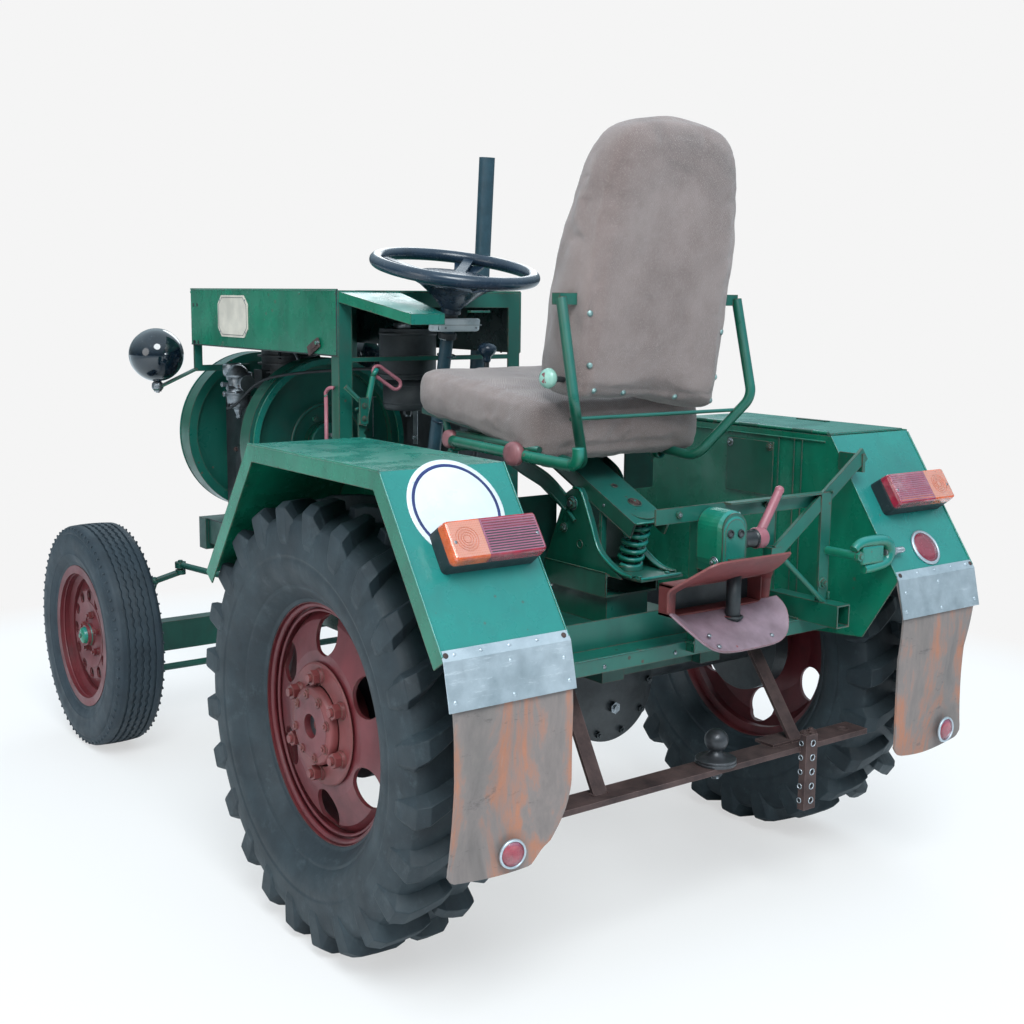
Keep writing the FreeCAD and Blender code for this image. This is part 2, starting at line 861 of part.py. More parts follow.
def rear_axle():
    """The live axle: tube, brake drums, bulging differential, propeller shaft tube and saddles."""
    height = S.RearTyreRadius
    bulge = S.DifferentialRadius
    drum_face = S.RearTrackHalf - 20 - S.MovingGap
    saddle = 40
    reach = S.RailInner - S.MovingGap
    banjo = revolved_body("differential", "XY_Plane", [
        (-reach, 0), (-reach, bulge * 0.45), (-reach * 0.75, bulge * 0.8), (-reach * 0.35, bulge),
        (reach * 0.35, bulge), (reach * 0.75, bulge * 0.8), (reach, bulge * 0.45), (reach, 0)])
    pieces = [cylinder("axle_tube", S.AxleTubeRadius, (-drum_face, 0, height), 2 * drum_face, "X"),
              cylinder("stubs", S.StubRadius, (-S.RearTrackHalf - 60, 0, height),
                       2 * S.RearTrackHalf + 120, "X"),
              put(banjo, (0, 0, height)),
              cylinder("prop_tube", S.PropTubeRadius, (0, -S.GearboxBack, height),
                       S.GearboxBack, "Y")]
    for name, side in SIDES:
        start = drum_face - S.DrumWidth if side > 0 else -drum_face
        pieces.append(cylinder("drum_" + name, S.DrumRadius, (start, 0, height), S.DrumWidth, "X"))
        low = S.RailInner if side > 0 else -RAIL_OUTER
        pieces.append(box("saddle_" + name, (low, -saddle, height),
                          (low + S.RailWidth, saddle, S.RailBottom)))
    node("rear_axle", fuse("rear_axle_whole", pieces))


def front_axle_beam():
    """The front axle: a box beam with a kingpin boss at each end and a bolster up to the rails."""
    middle = S.BeamBottom + S.BeamDepth / 2
    shoulder = S.KingpinHalf - S.BossRadius - 2 * S.MovingGap
    pieces = [box("beam", (-shoulder, -S.Wheelbase - S.BeamWidth / 2, S.BeamBottom),
                  (shoulder, -S.Wheelbase + S.BeamWidth / 2, S.BeamBottom + S.BeamDepth)),
              box("bolster", (-S.RailInner + 20, -S.Wheelbase - 40, S.BeamBottom + S.BeamDepth),
                  (S.RailInner - 20, -S.Wheelbase + 40, S.RailBottom)),
              box("beam_neck", (-S.KingpinHalf, -S.Wheelbase - 18, middle - S.BossDepth / 2),
                  (S.KingpinHalf, -S.Wheelbase + 18, middle + S.BossDepth / 2)),
              box("bolster_head", (-RAIL_OUTER, -S.Wheelbase - 40, S.RailBottom - 10),
                  (RAIL_OUTER, -S.Wheelbase + 40, S.RailBottom))]
    bores = []
    for name, side in SIDES:
        foot = (side * S.KingpinHalf, -S.Wheelbase, middle - S.BossDepth / 2)
        pieces.append(cylinder("boss_" + name, S.BossRadius, foot, S.BossDepth, "Z"))
        bores.append(cylinder("kingpin_bore_" + name, S.KingpinRadius + S.PinClearance, foot,
                              S.BossDepth, "Z"))
    node("front_axle_beam", cut("front_axle_beam_whole", fuse("beam_solid", pieces), bores))


def knuckle_pieces(name, side):
    """A steering knuckle: kingpin, two lugs, a web, the stub axle and the arm for the track rod."""
    middle = S.BeamBottom + S.BeamDepth / 2
    lug_low = middle - S.BossDepth / 2 - S.MovingGap - S.LugThickness
    lug_high = middle + S.BossDepth / 2 + S.MovingGap
    web_gap = S.BossRadius + 5
    centre = side * S.KingpinHalf
    web_in = centre + side * web_gap
    web_out = centre + side * (web_gap + 12)
    low_x, high_x = (web_in, web_out) if side > 0 else (web_out, web_in)
    lug_x = (centre, high_x) if side > 0 else (low_x, centre)
    top = lug_high + S.LugThickness
    pieces = [box("web_" + name, (low_x, -S.Wheelbase - 26, lug_low), (high_x, -S.Wheelbase + 26, top)),
              cylinder("kingpin_" + name, S.KingpinRadius, (centre, -S.Wheelbase, lug_low),
                       top - lug_low, "Z")]
    for number, foot in enumerate((lug_low, lug_high)):
        pieces.append(box("lug_%s_%d" % (name, number), (lug_x[0], -S.Wheelbase - 24, foot),
                          (lug_x[1], -S.Wheelbase + 24, foot + S.LugThickness)))
        pieces.append(cylinder("lug_eye_%s_%d" % (name, number), 24,
                               (centre, -S.Wheelbase, foot), S.LugThickness, "Z"))
    stub_end = S.FrontTrackHalf + 42
    stub_start = web_out if side > 0 else -stub_end
    pieces.append(cylinder("stub_" + name, S.FrontStubRadius,
                           (stub_start, -S.Wheelbase, S.FrontTyreRadius),
                           stub_end - S.KingpinHalf - web_gap - 12, "X"))
    arm_end = -S.Wheelbase + S.TrackArm
    pieces.append(box("track_arm_" + name, (centre - 11, -S.Wheelbase, lug_low),
                      (centre + 11, arm_end, lug_low + S.LugThickness)))
    pieces.append(cylinder("track_eye_" + name, 14, (centre, arm_end, lug_low),
                           S.LugThickness, "Z"))
    pieces.append(cylinder("track_pin_" + name, 8, (centre, arm_end, lug_low - 28), 28, "Z"))
    return pieces


def knuckles():
    """Both knuckles; the left one also has the raised arm that the drag link pushes."""
    left = knuckle_pieces("left", 1)
    knee = (S.KingpinHalf - 62, -S.Wheelbase + 45, 366)
    rise = (S.KingpinHalf - 80, -S.Wheelbase + 95, 486)
    ball = (DRAG_BALL[0], DRAG_BALL[1], DRAG_BALL[2] - 12)
    left.append(bar_between("drag_arm_foot", (S.KingpinHalf, -S.Wheelbase, 354), knee, 26, 12, AXIS_Y))
    left.append(bar_between("drag_arm_rise", knee, rise, 22, 12, AXIS_Y))
    left.append(bar_between("drag_arm_end", rise, ball, 22, 12, AXIS_Y))
    left.append(sphere("drag_arm_knee", 13, knee))
    left.append(sphere("drag_arm_bend", 13, rise))
    left.append(cylinder("drag_arm_eye", 15, (DRAG_BALL[0], DRAG_BALL[1], DRAG_BALL[2] - 19),
                         14, "Z"))
    left.append(cylinder("drag_arm_pin", 7, (DRAG_BALL[0], DRAG_BALL[1], DRAG_BALL[2] - 19),
                         42, "Z"))
    node("knuckle_left", fuse("knuckle_left_whole", left))
    node("knuckle_right", fuse("knuckle_right_whole", knuckle_pieces("right", -1)))


def track_rod():
    """The rod that joins the two knuckles, with an eye at each end."""
    middle = S.BeamBottom + S.BeamDepth / 2
    lug_low = middle - S.BossDepth / 2 - S.MovingGap - S.LugThickness
    arm_end = -S.Wheelbase + S.TrackArm
    height = lug_low - 16
    pieces = [cylinder("track_bar", S.TrackRodRadius, (-S.KingpinHalf, arm_end, height),
                       2 * S.KingpinHalf, "X")]
    bores = []
    for name, side in SIDES:
        foot = (side * S.KingpinHalf, arm_end, height - 11)
        pieces.append(cylinder("rod_eye_" + name, 15, foot, 22, "Z"))
        bores.append(cylinder("rod_bore_" + name, 8 + S.PinClearance, foot, 22, "Z"))
    node("track_rod", cut("track_rod_whole", fuse("track_rod_solid", pieces), bores))


DRAG_BALL = (S.KingpinHalf - 150, -S.Wheelbase + 125, S.DragLinkFront)


def drag_link():
    """The rod from the steering arm back to the pitman arm."""
    back = (S.PitmanX + 44, -S.PitmanSetback, S.PitmanAxis - S.PitmanLength)
    front = (DRAG_BALL[0], DRAG_BALL[1], DRAG_BALL[2] + 9)
    solid = fuse("drag_link_solid", [
        rod_between("drag_rod", front, back, 9),
        cylinder("drag_eye", 16, DRAG_BALL, 18, "Z"),
        sphere("drag_end", 13, back)])
    bore = cylinder("drag_bore", 7 + S.PinClearance, (DRAG_BALL[0], DRAG_BALL[1], DRAG_BALL[2] - 4),
                    30, "Z")
    node("drag_link", cut("drag_link_whole", solid, [bore]))


def pitman_arm():
    """The drop arm on the steering box's cross shaft, with the pin for the drag link."""
    foot = S.PitmanAxis - S.PitmanLength
    face = S.PitmanX + S.PitmanThickness
    node("pitman_arm", fuse("pitman_arm_whole", [
        box("pitman_bar", (S.PitmanX, -S.PitmanSetback - 12, foot),
            (face, -S.PitmanSetback + 12, S.PitmanAxis)),
        cylinder("pitman_head", 24, (S.PitmanX, -S.PitmanSetback, S.PitmanAxis),
                 S.PitmanThickness, "X"),
        cylinder("pitman_foot", 15, (S.PitmanX, -S.PitmanSetback, foot), S.PitmanThickness, "X"),
        cylinder("pitman_shaft", S.PitmanShaftRadius,
                 (S.PitmanShaftStart, -S.PitmanSetback, S.PitmanAxis),
                 S.PitmanX - S.PitmanShaftStart, "X"),
        cylinder("pitman_pin", 7, (face, -S.PitmanSetback, foot), 16, "X")]))


# ------------------------------------------------------------------------ engine and gearbox

def flywheels():
    """Both open flywheels on the crankshaft, which lies along the tractor."""
    half = S.FlywheelWidth / 2
    rim_in = S.FlywheelRadius - S.FlywheelRimDepth
    web = S.FlywheelWeb / 2
    body = doc.addObject("PartDesign::Body", "flywheels")
    front_end = -FRONT_FLYWHEEL - 45
    back_end = -REAR_FLYWHEEL + 60
    add_revolution(body, "crankshaft", "YZ_Plane",
                   [(front_end, 0), (front_end, S.CrankRadius), (back_end, S.CrankRadius),
                    (back_end, 0)])
    for name, place in (("front", -FRONT_FLYWHEEL), ("rear", -REAR_FLYWHEEL)):
        add_revolution(body, "flywheel_" + name, "YZ_Plane",
                       [(place - half, S.FlywheelRadius), (place + half, S.FlywheelRadius),
                        (place + half, rim_in), (place + web, rim_in),
                        (place + web, S.FlywheelHub), (place + half, S.FlywheelHub),
                        (place + half, S.CrankRadius - 5), (place - half, S.CrankRadius - 5),
                        (place - half, S.FlywheelHub), (place - web, S.FlywheelHub),
                        (place - web, rim_in), (place - half, rim_in)])
    body.Label = "flywheels"
    put(body, (0, S.AxleSetback, S.CrankAxis))
    NODES.append(("flywheels", body))


def engine():
    """The engine: one plain block with the crankshaft's bore, and the cylinder above it."""
    gap = S.FlywheelWidth / 2 + S.MovingGap + 4
    front = -FRONT_FLYWHEEL + gap
    back = -REAR_FLYWHEEL - gap
    block = box("crankcase", (-S.BlockHalf, front, RAIL_TOP), (S.BlockHalf, back, S.BlockTop))
    bore = cylinder("crank_bore", S.CrankRadius + S.PinClearance, (0, front - 10, S.CrankAxis),
                    back - front + 20, "Y")
    node("engine_block", cut("engine_block_whole", block, [bore]))
    radius = S.CylinderRadius
    port = S.PortHalf
    pieces = [cylinder("barrel", radius, (0, -ENGINE_MIDDLE, S.BlockTop),
                       S.CylinderTop - S.BlockTop, "Z"),
              box("head", (-radius + 20, -ENGINE_MIDDLE - radius + 20, S.CylinderTop - S.PortHalf),
                  (radius - 20, -ENGINE_MIDDLE + radius - 20, S.CylinderTop + S.PortHalf)),
              box("ports", (-radius - S.PortReach, -ENGINE_MIDDLE - port, S.PortHeight - port),
                  (radius + S.PortReach, -ENGINE_MIDDLE + port, S.PortHeight + port))]
    fin_side = radius + S.FinReach
    for number in range(6):
        low = S.BlockTop + S.FinPitch * (number + 0.5)
        fin = cylinder("fin_%d" % number, fin_side, (0, -ENGINE_MIDDLE, low), S.FinSheet, "Z")
        pieces.append(fin)
    node("engine_cylinder", fuse("engine_cylinder_whole", pieces))


def carburettor():
    """The carburettor on the engine's left side, on its inlet pipe."""
    face = S.CylinderRadius + S.PortReach
    middle = face + S.InletLength
    node("carburettor", fuse("carburettor_whole", [
        cylinder("inlet", S.InletRadius, (face, -ENGINE_MIDDLE, S.PortHeight), S.InletLength, "X"),
        cylinder("mixing_body", 26, (middle, -ENGINE_MIDDLE, S.PortHeight - 50), 90, "Z"),
        cylinder("float_bowl", 34, (middle, -ENGINE_MIDDLE, S.PortHeight - 95), 50, "Z")]))


def battery_box():
    """The battery box beside the engine on the right, on two arms from the frame rail."""
    inner = -S.BatteryInner
    outer = inner - S.BatteryWidth
    front = -S.BatteryFront
    back = front + S.BatteryLength
    base = S.BatteryBottom
    top = base + S.BatteryHeight
    margin = S.BatteryLidMargin
    pieces = [box("battery_case", (outer, front, base), (inner, back, top)),
              box("battery_lid", (outer - margin, front - margin, top - S.BatteryLidHeight),
                  (inner + margin, back + margin, top + margin))]
    middle = (front + back) / 2
    for name, start in (("front", middle - S.BatteryArmWidth / 2), ("back", back - S.BatteryArmWidth)):
        end = start + S.BatteryArmWidth
        pieces.append(box("battery_arm_" + name, (outer, start, RAIL_TOP - S.BatteryArmWidth),
                          (-RAIL_OUTER, end, RAIL_TOP - S.BatteryArmWidth + S.AngleSheet)))
        pieces.append(box("battery_post_" + name, (inner - S.BatteryArmWidth, start,
                                                   RAIL_TOP - S.BatteryArmWidth),
                          (inner - S.BatteryArmWidth + S.AngleSheet, end, base)))
    node("battery_box", fuse("battery_box_whole", pieces))


def gearbox():
    """The gearbox: a plain block between the rails, carried by the rear cross member."""
    node("gearbox", box("gearbox_block", (-S.GearboxHalf, -S.GearboxFront, S.GearboxBottom),
                        (S.GearboxHalf, -S.GearboxBack, S.GearboxTop)))


def fuel_tank():
    """The upright tank under the hood's back edge, on a bracket from the hood's frame."""
    back = -S.HoodBack - S.AngleSheet
    centre = back - S.TankGap - S.TankRadius
    base = S.HoodBottom - S.TankDrop
    node("fuel_tank", fuse("fuel_tank_whole", [
        cylinder("tank", S.TankRadius, (S.TankX, centre, base), S.TankHeight, "Z"),
        box("tank_bracket", (S.TankX - 15, centre, S.HoodBottom - 14),
            (S.TankX + 15, back, S.HoodBottom - 2))]))


def exhaust_pipe():
    """The exhaust: out of the cylinder, back beside the hood, then up."""
    face = -S.CylinderRadius - S.PortReach
    height = S.PortHeight
    lean = S.ExhaustLean
    node("exhaust_pipe", bent_tube("exhaust_tube", [
        (face, -ENGINE_MIDDLE, height), (-S.ExhaustX, -ENGINE_MIDDLE, height),
        (-S.ExhaustX, -S.ExhaustBack - lean, height), (-S.ExhaustX, -S.ExhaustBack, S.ExhaustTop)],
        S.ExhaustRadius, S.ExhaustBend))


# -------------------------------------------------------------------------------- bodywork

def hood():
    """The hood: a folded sheet with two sides and a top, and a front panel between them."""
    inner = S.HoodHalf - S.HoodSheet
    under = S.HoodTop - S.HoodSheet
    length = HOOD_FRONT - S.HoodBack
    body = padded_body("hood_fold", "XZ_Plane", [
        (-S.HoodHalf, S.HoodBottom), (-S.HoodHalf, S.HoodTop), (S.HoodHalf, S.HoodTop),
        (S.HoodHalf, S.HoodBottom), (inner, S.HoodBottom), (inner, under), (-inner, under),
        (-inner, S.HoodBottom)], length)
    put(body, (0, -S.HoodBack, 0))
    front = box("hood_front", (-S.HoodHalf, -HOOD_FRONT, S.HoodBottom),
                (S.HoodHalf, -HOOD_FRONT + S.HoodSheet, S.HoodTop))
    node("hood", fuse("hood_whole", [body, front]))


def hood_frame():
    """The angle-iron frame that carries the hood, with the headlamp arms at its front."""
    inner = S.HoodHalf - S.HoodSheet
    under = S.HoodTop - S.HoodSheet
    back = -S.HoodBack
    front = -HOOD_FRONT + S.HoodSheet
    bar = S.FrameBar
    bar_low = S.HoodBottom - S.FrontBarDrop
    bar_high = bar_low + 18
    pieces = []
    for name, side in SIDES:
        for part, low_x, high_x, low_y, high_y in (
                ("face", inner - S.AngleSide, inner, back - S.AngleSheet, back),
                ("flank", inner - S.AngleSheet, inner, back - S.AngleSide, back)):
            start, end = (low_x, high_x) if side > 0 else (-high_x, -low_x)
            pieces.append(box("post_%s_%s" % (part, name), (start, low_y, RAIL_TOP + S.AngleSheet),
                              (end, high_y, under)))
        start, end = (inner - 25, inner) if side > 0 else (-inner, -inner + 25)
        pieces.append(box("front_post_" + name, (start, front, bar_low), (end, front + bar, under)))
        stay = S.CylinderRadius + 20 if side > 0 else -S.CylinderRadius - 45
        pieces.append(box("stay_" + name, (stay, front, S.BlockTop), (stay + 25, front + bar, bar_high)))
        start, end = (stay, inner) if side > 0 else (-inner, stay + 25)
        pieces.append(box("front_bar_" + name, (start, front, bar_low), (end, front + bar, bar_high)))
        seat_top = S.HeadlampHeight - S.HeadlampRadius - 7
        lamp = (side * S.HeadlampX, -LAMP_BACK, seat_top - 12)
        root = (side * (inner - bar), front + 6, bar_low + 8)
        pieces.append(bar_between("lamp_arm_" + name, root, lamp, 22, 6, AXIS_Y))
        pieces.append(cylinder("lamp_seat_" + name, 14, (lamp[0], lamp[1], seat_top - 18), 18, "Z"))
    pieces.append(box("top_bar", (-inner, back - S.AngleSheet, under - S.AngleSide),
                      (inner, back, under)))
    pieces.append(box("low_bar", (-inner, back - S.AngleSheet, S.HoodBottom - 14),
                      (inner, back, S.HoodBottom - 2)))
    node("hood_frame", fuse("hood_frame_whole", pieces))


def dash_shelf():
    """The sloping shelf behind the hood on the left, with a lip folded down round it."""
    front = -S.HoodBack
    back = -S.ShelfBack
    wide = S.HoodHalf - S.HoodSheet
    high = S.HoodTop - S.HoodSheet
    low = high - S.ShelfDrop
    inner = S.ShelfInner
    top = [(inner, front, high), (wide, front, high), (S.ShelfHalfBack, back, low),
           (inner, back, low)]
    corners = [vec(point) for point in top]
    plate = Part.Face(Part.makePolygon(corners + corners[:1]))
    sheet_down = FreeCAD.Vector(0, 0, -value(S.HoodSheet))
    pieces = [hand_made("shelf_plate", plate.extrude(sheet_down))]
    for number, (start, end) in enumerate(((1, 2), (2, 3))):
        first = corners[start]
        last = corners[end]
        drop = FreeCAD.Vector(0, 0, -value(S.ShelfLip))
        inward = (last - first).cross(AXIS_Z).normalize() * -value(S.HoodSheet)
        edge = Part.Face(Part.makePolygon([first, last, last + drop, first + drop, first]))
        pieces.append(hand_made("shelf_lip_%d" % number, edge.extrude(inward)))
    past_hood = box("shelf_past_hood", (0, front - S.ShelfLip, low - 2 * S.ShelfLip),
                    (2 * wide, front, high + S.ShelfLip))
    notch = cylinder("column_notch", S.ColumnNotch, (0, value(-S.SteeringWheelSetback) - 22,
                                                     low - S.ShelfLip), 4 * S.ShelfLip, "Z")
    node("dash_shelf", cut("dash_shelf_whole", fuse("dash_shelf_solid", pieces),
                           [past_hood, notch]))


def headlamps():
    """Two round headlamps with flat lenses at the front, on stems."""
    lamps = []
    for name, side in SIDES:
        centre = (side * S.HeadlampX, -LAMP_BACK, S.HeadlampHeight)
        bowl = sphere("bowl_" + name, S.HeadlampRadius, centre)
        front = box("lamp_cut_" + name, (centre[0] - 100, centre[1] - 120, centre[2] - 100),
                    (centre[0] + 100, centre[1] - 45, centre[2] + 100))
        stem = cylinder("stem_" + name, 9, (centre[0], centre[1], centre[2] - S.HeadlampRadius - 7),
                        20, "Z")
        lamps.append(cut("headlamp_" + name, fuse("lamp_solid_" + name, [bowl, stem]), [front]))
    node("headlamps", gather("headlamps_both", lamps))


FENDER_PROFILE = (
    (-S.FenderFrontReach, S.FenderFrontBottom),
    (-S.FenderFlatFront, S.FenderTop),
    (S.FenderFlatBack, S.FenderTop),
    (S.FenderBackReach, S.FenderBackBottom),
)


def offset_profile(points, distance):
    """The same open line of points moved inward, below it, by one distance."""
    flat = [FreeCAD.Vector(value(across), value(up), 0) for across, up in points]
    normals = []
    for first, last in zip(flat, flat[1:]):
        run = (last - first).normalize()
        normals.append(FreeCAD.Vector(run.y, -run.x, 0))
    moved = [flat[0] + normals[0] * distance]
    for corner, before, after in zip(flat[1:-1], normals, normals[1:]):
        half = (before + after).normalize()
        moved.append(corner + half * (distance / half.dot(before)))
    moved.append(flat[-1] + normals[-1] * distance)
    return moved


def folded_sheet(name, profile, depth, side, inner, outer):
    """A folded sheet across the tractor: depth deep below its profile, from inner to outer."""
    start = min(side * value(inner), side * value(outer))
    width = abs(value(outer) - value(inner))
    outer_line = [FreeCAD.Vector(value(across), value(up), 0) for across, up in profile]
    line = outer_line + list(reversed(offset_profile(profile, value(depth))))
    corners = [FreeCAD.Vector(start, point.x, point.y) for point in line]
    face = Part.Face(Part.makePolygon(corners + corners[:1]))
    return hand_made(name, face.extrude(FreeCAD.Vector(width, 0, 0)))


def skirt(name, side):
    """The fender's upright inner sheet, beside the driver."""
    inset = S.FenderSheet.value
    line = [FreeCAD.Vector(0, value(across), value(up)) for across, up in FENDER_PROFILE]
    low = [(FENDER_PROFILE[3][0] - 90, S.SkirtBottom + 12), (S.FenderBackReach - 223, S.SkirtBottom),
           (-S.FenderFrontReach, S.SkirtBottom)]
    line += [FreeCAD.Vector(0, value(across), value(up)) for across, up in low]
    start = FENDER_INNER.value if side > 0 else -FENDER_INNER.value - inset
    corners = [point + FreeCAD.Vector(start, 0, 0) for point in line]
    face = Part.Face(Part.makePolygon(corners + corners[:1]))
    return hand_made(name, face.extrude(FreeCAD.Vector(inset, 0, 0)))


def fender(name, side):
    """One fender: the folded top, an outer lip and the inner skirt."""
    fold = folded_sheet("fold_" + name, FENDER_PROFILE, S.FenderSheet, side, FENDER_INNER,
                        FENDER_OUTER)
    lip = folded_sheet("lip_" + name, FENDER_PROFILE, S.FenderLip, side,
                       FENDER_OUTER - S.FenderSheet, FENDER_OUTER)
    return [fold, lip, skirt("skirt_" + name, side)]


def lid_corners():
    """Low and high corners, in plan, of the opening in the right fender's top."""
    low = (-FENDER_OUTER + S.LidMargin, -S.FenderFlatFront + S.LidMargin)
    high = (-FENDER_INNER - S.LidMargin, S.FenderFlatBack - S.LidMargin)
    return low, high


def fenders():
    """Both fenders; the right one holds a box under a lid in its top."""
    node("fender_left", fuse("fender_left_whole", fender("left", 1)))
    low, high = lid_corners()
    floor = box("box_floor", (-FENDER_OUTER, -S.FenderFlatFront - 40, S.BoxFloor),
                (-FENDER_INNER, S.FenderFlatBack + 40, S.BoxFloor + S.FenderSheet))
    pieces = fender("right", -1) + [floor]
    for number, place in enumerate((-S.FenderFlatFront, S.FenderFlatBack - S.FenderSheet)):
        pieces.append(box("box_end_%d" % number, (-FENDER_OUTER, place, S.BoxFloor),
                          (-FENDER_INNER, place + S.FenderSheet, S.FenderTop)))
    pieces.append(box("box_side", (-FENDER_OUTER, -S.FenderFlatFront, S.BoxFloor),
                      (-FENDER_OUTER + S.FenderSheet, S.FenderFlatBack, S.FenderTop)))
    opening = box("lid_opening", (low[0], low[1], S.FenderTop - S.FenderSheet - 1),
                  (high[0], high[1], S.FenderTop + 1))
    node("fender_right", cut("fender_right_whole", fuse("fender_right_solid", pieces), [opening]))


def box_lid():
    """The lid on the right fender, on a hinge rod along its inner edge."""
    low, high = lid_corners()
    overlap = 6
    top = S.FenderTop + 1
    node("box_lid", fuse("box_lid_whole", [
        box("lid_plate", (low[0] - overlap, low[1] - overlap, top),
            (high[0] + overlap, high[1] + overlap, top + S.LidSheet)),
        cylinder("lid_hinge", 4, (high[0] + overlap, low[1], top + 4), high[1] - low[1], "Y")]))


FENDER_SLOPE = math.degrees(math.atan2(value(S.FenderTop - S.FenderBackBottom),
                                       value(S.FenderBackReach - S.FenderFlatBack)))


def tail_lamps():
    """Two tail lamps, square on the fenders' sloping backs."""
    lamps = []
    slope = math.radians(FENDER_SLOPE)
    down = FreeCAD.Vector(0, math.cos(slope), -math.sin(slope))
    out = FreeCAD.Vector(0, math.sin(slope), math.cos(slope))
    corner = FreeCAD.Vector(0, S.FenderFlatBack.value, S.FenderTop.value)
    middle = corner + down * S.LampDrop.value + out * (S.LampDepth.value / 2)
    for name, place in (("left", S.LampCentre), ("right", -S.LampCentreRight)):
        centre = middle + FreeCAD.Vector(value(place), 0, 0)
        half = FreeCAD.Vector(S.LampWidth.value / 2, 0, 0)
        lamps.append(bar_between("tail_lamp_" + name, centre - half, centre + half,
                                 S.LampDepth, S.LampHeight, out))
    node("tail_lamps", gather("tail_lamps_both", lamps))


def flaps():
    """Rubber mudflaps hung below the fenders, and the folded sheet plates that clamp them."""
    plates = []
    sheets = []
    slope = math.radians(FENDER_SLOPE)
    sheet_wall = S.FlapPlateSheet
    hem_across = S.FlapPlateHem * math.cos(slope)
    hem_up = S.FlapPlateHem * math.sin(slope)
    lift_across = sheet_wall * math.sin(slope)
    lift_up = sheet_wall * math.cos(slope)
    fold = (S.FenderBackReach + lift_across, S.FenderBackBottom + lift_up)
    hem = (fold[0] - hem_across, fold[1] + hem_up)
    foot = (fold[0] + S.FlapPlateLean, fold[1] - S.FlapPlateHeight)
    behind = sheet_wall + 0.5
    rubber = [(fold[0] - behind, fold[1] - S.FlapSheet - 1), (foot[0] - behind, foot[1]),
              (foot[0] - behind - S.FlapPlateLean / 2, S.FlapBottom)]
    for name, side in SIDES:
        plates.append(folded_sheet("flap_plate_" + name, (hem, fold, foot), sheet_wall, side,
                                   FENDER_INNER, FENDER_OUTER))
        drape = folded_sheet("flap_drape_" + name, rubber, S.FlapSheet, side, FENDER_INNER,
                             FENDER_OUTER)
        narrow = S.FlapNarrow if side > 0 else 0
        shape = padded_body("flap_shape_" + name, "XZ_Plane", [
            (side * (FENDER_OUTER - S.FlapInset), fold[1]), (side * FENDER_INNER, fold[1]),
            (side * FENDER_INNER, foot[1]), (side * (FENDER_INNER + narrow), S.FlapBottom),
            (side * (FENDER_OUTER - S.FlapInset / 2), S.FlapBottom),
            (side * (FENDER_OUTER - S.FlapInset), foot[1])], 4 * S.FenderBackReach, middle=True)
        sheets.append(common("mudflap_" + name, [drape, shape]))
    node("flap_plates", gather("flap_plates_both", plates))
    node("mudflaps", gather("mudflaps_both", sheets))


def footboards():
    """Plates for the driver's feet, from the rails out to the fenders' skirts."""
    boards = []
    front = -S.PitmanSetback + S.SteeringBoxBack + S.MovingGap
    for name, side in SIDES:
        low, high = (S.RailInner, FENDER_INNER) if side > 0 else (-FENDER_INNER, -S.RailInner)
        boards.append(box("footboard_" + name, (low, front, RAIL_TOP),
                          (high, -S.FootboardBack, RAIL_TOP + S.AngleSheet)))
    node("footboards", gather("footboards_both", boards))


# ------------------------------------------------------------------------ steering and levers

def column_point(height):
    """The point of the steering column's axis at one height."""
    lean = math.tan(math.radians(S.ColumnTilt.value))
    back = -S.SteeringWheelSetback.value - (S.SteeringWheelHeight.value - height) * lean
    return FreeCAD.Vector(0, back, height)


def steering_column():
    """The steering column on its box, with the switch housing under the wheel."""
    foot = column_point(RAIL_TOP.value + S.SteeringBoxHeight.value - 10)
    head = column_point(S.SteeringWheelHeight.value - S.HubDrop.value - 8)
    switch = column_point(S.SteeringWheelHeight.value - S.SwitchDrop.value)
    shaft = S.PitmanShaftRadius
    solid = fuse("steering_column_solid", [
        hand_made("column_tube", Part.makeCylinder(S.ColumnRadius.value, (head - foot).Length, foot,
                                                   head - foot)),
        box("steering_box", (-50, -S.PitmanSetback - S.SteeringBoxFront, RAIL_TOP),
            (RAIL_OUTER, -S.PitmanSetback + S.SteeringBoxBack, RAIL_TOP + S.SteeringBoxHeight)),
        box("switch_housing", (-45, switch.y - 22, switch.z - 12), (45, switch.y + 22, switch.z + 12))])
    bore = cylinder("pitman_bore", shaft + S.PinClearance,
                    (S.PitmanShaftStart - 5, -S.PitmanSetback, S.PitmanAxis), 60, "X")
    node("steering_column", cut("steering_column_whole", solid, [bore]))


def steering_wheel():
    """The steering wheel: ring, four spokes and a deep conical hub on the column."""
    centre = column_point(S.SteeringWheelHeight.value)
    axis = (centre - column_point(0)).normalize()
    ring = Part.makeTorus(S.SteeringWheelRadius.value, S.SteeringRingRadius.value, centre, axis)
    hub = Part.makeCone(S.HubRadiusLow.value, S.HubRadiusHigh.value, S.HubHeight.value,
                        centre - axis * S.HubDrop.value, axis)
    pieces = [hand_made("wheel_ring", ring), hand_made("wheel_hub", hub)]
    across = AXIS_X.cross(axis).cross(axis).normalize()
    for quarter in range(4):
        out = FreeCAD.Rotation(axis, 45 + 90 * quarter).multVec(across)
        start = centre - axis * 30 + out * 30
        end = centre + out * (S.SteeringWheelRadius.value - 2)
        pieces.append(bar_between("spoke_%d" % quarter, start, end, 26, 8, out.cross(axis)))
    node("steering_wheel", fuse("steering_wheel_whole", pieces))


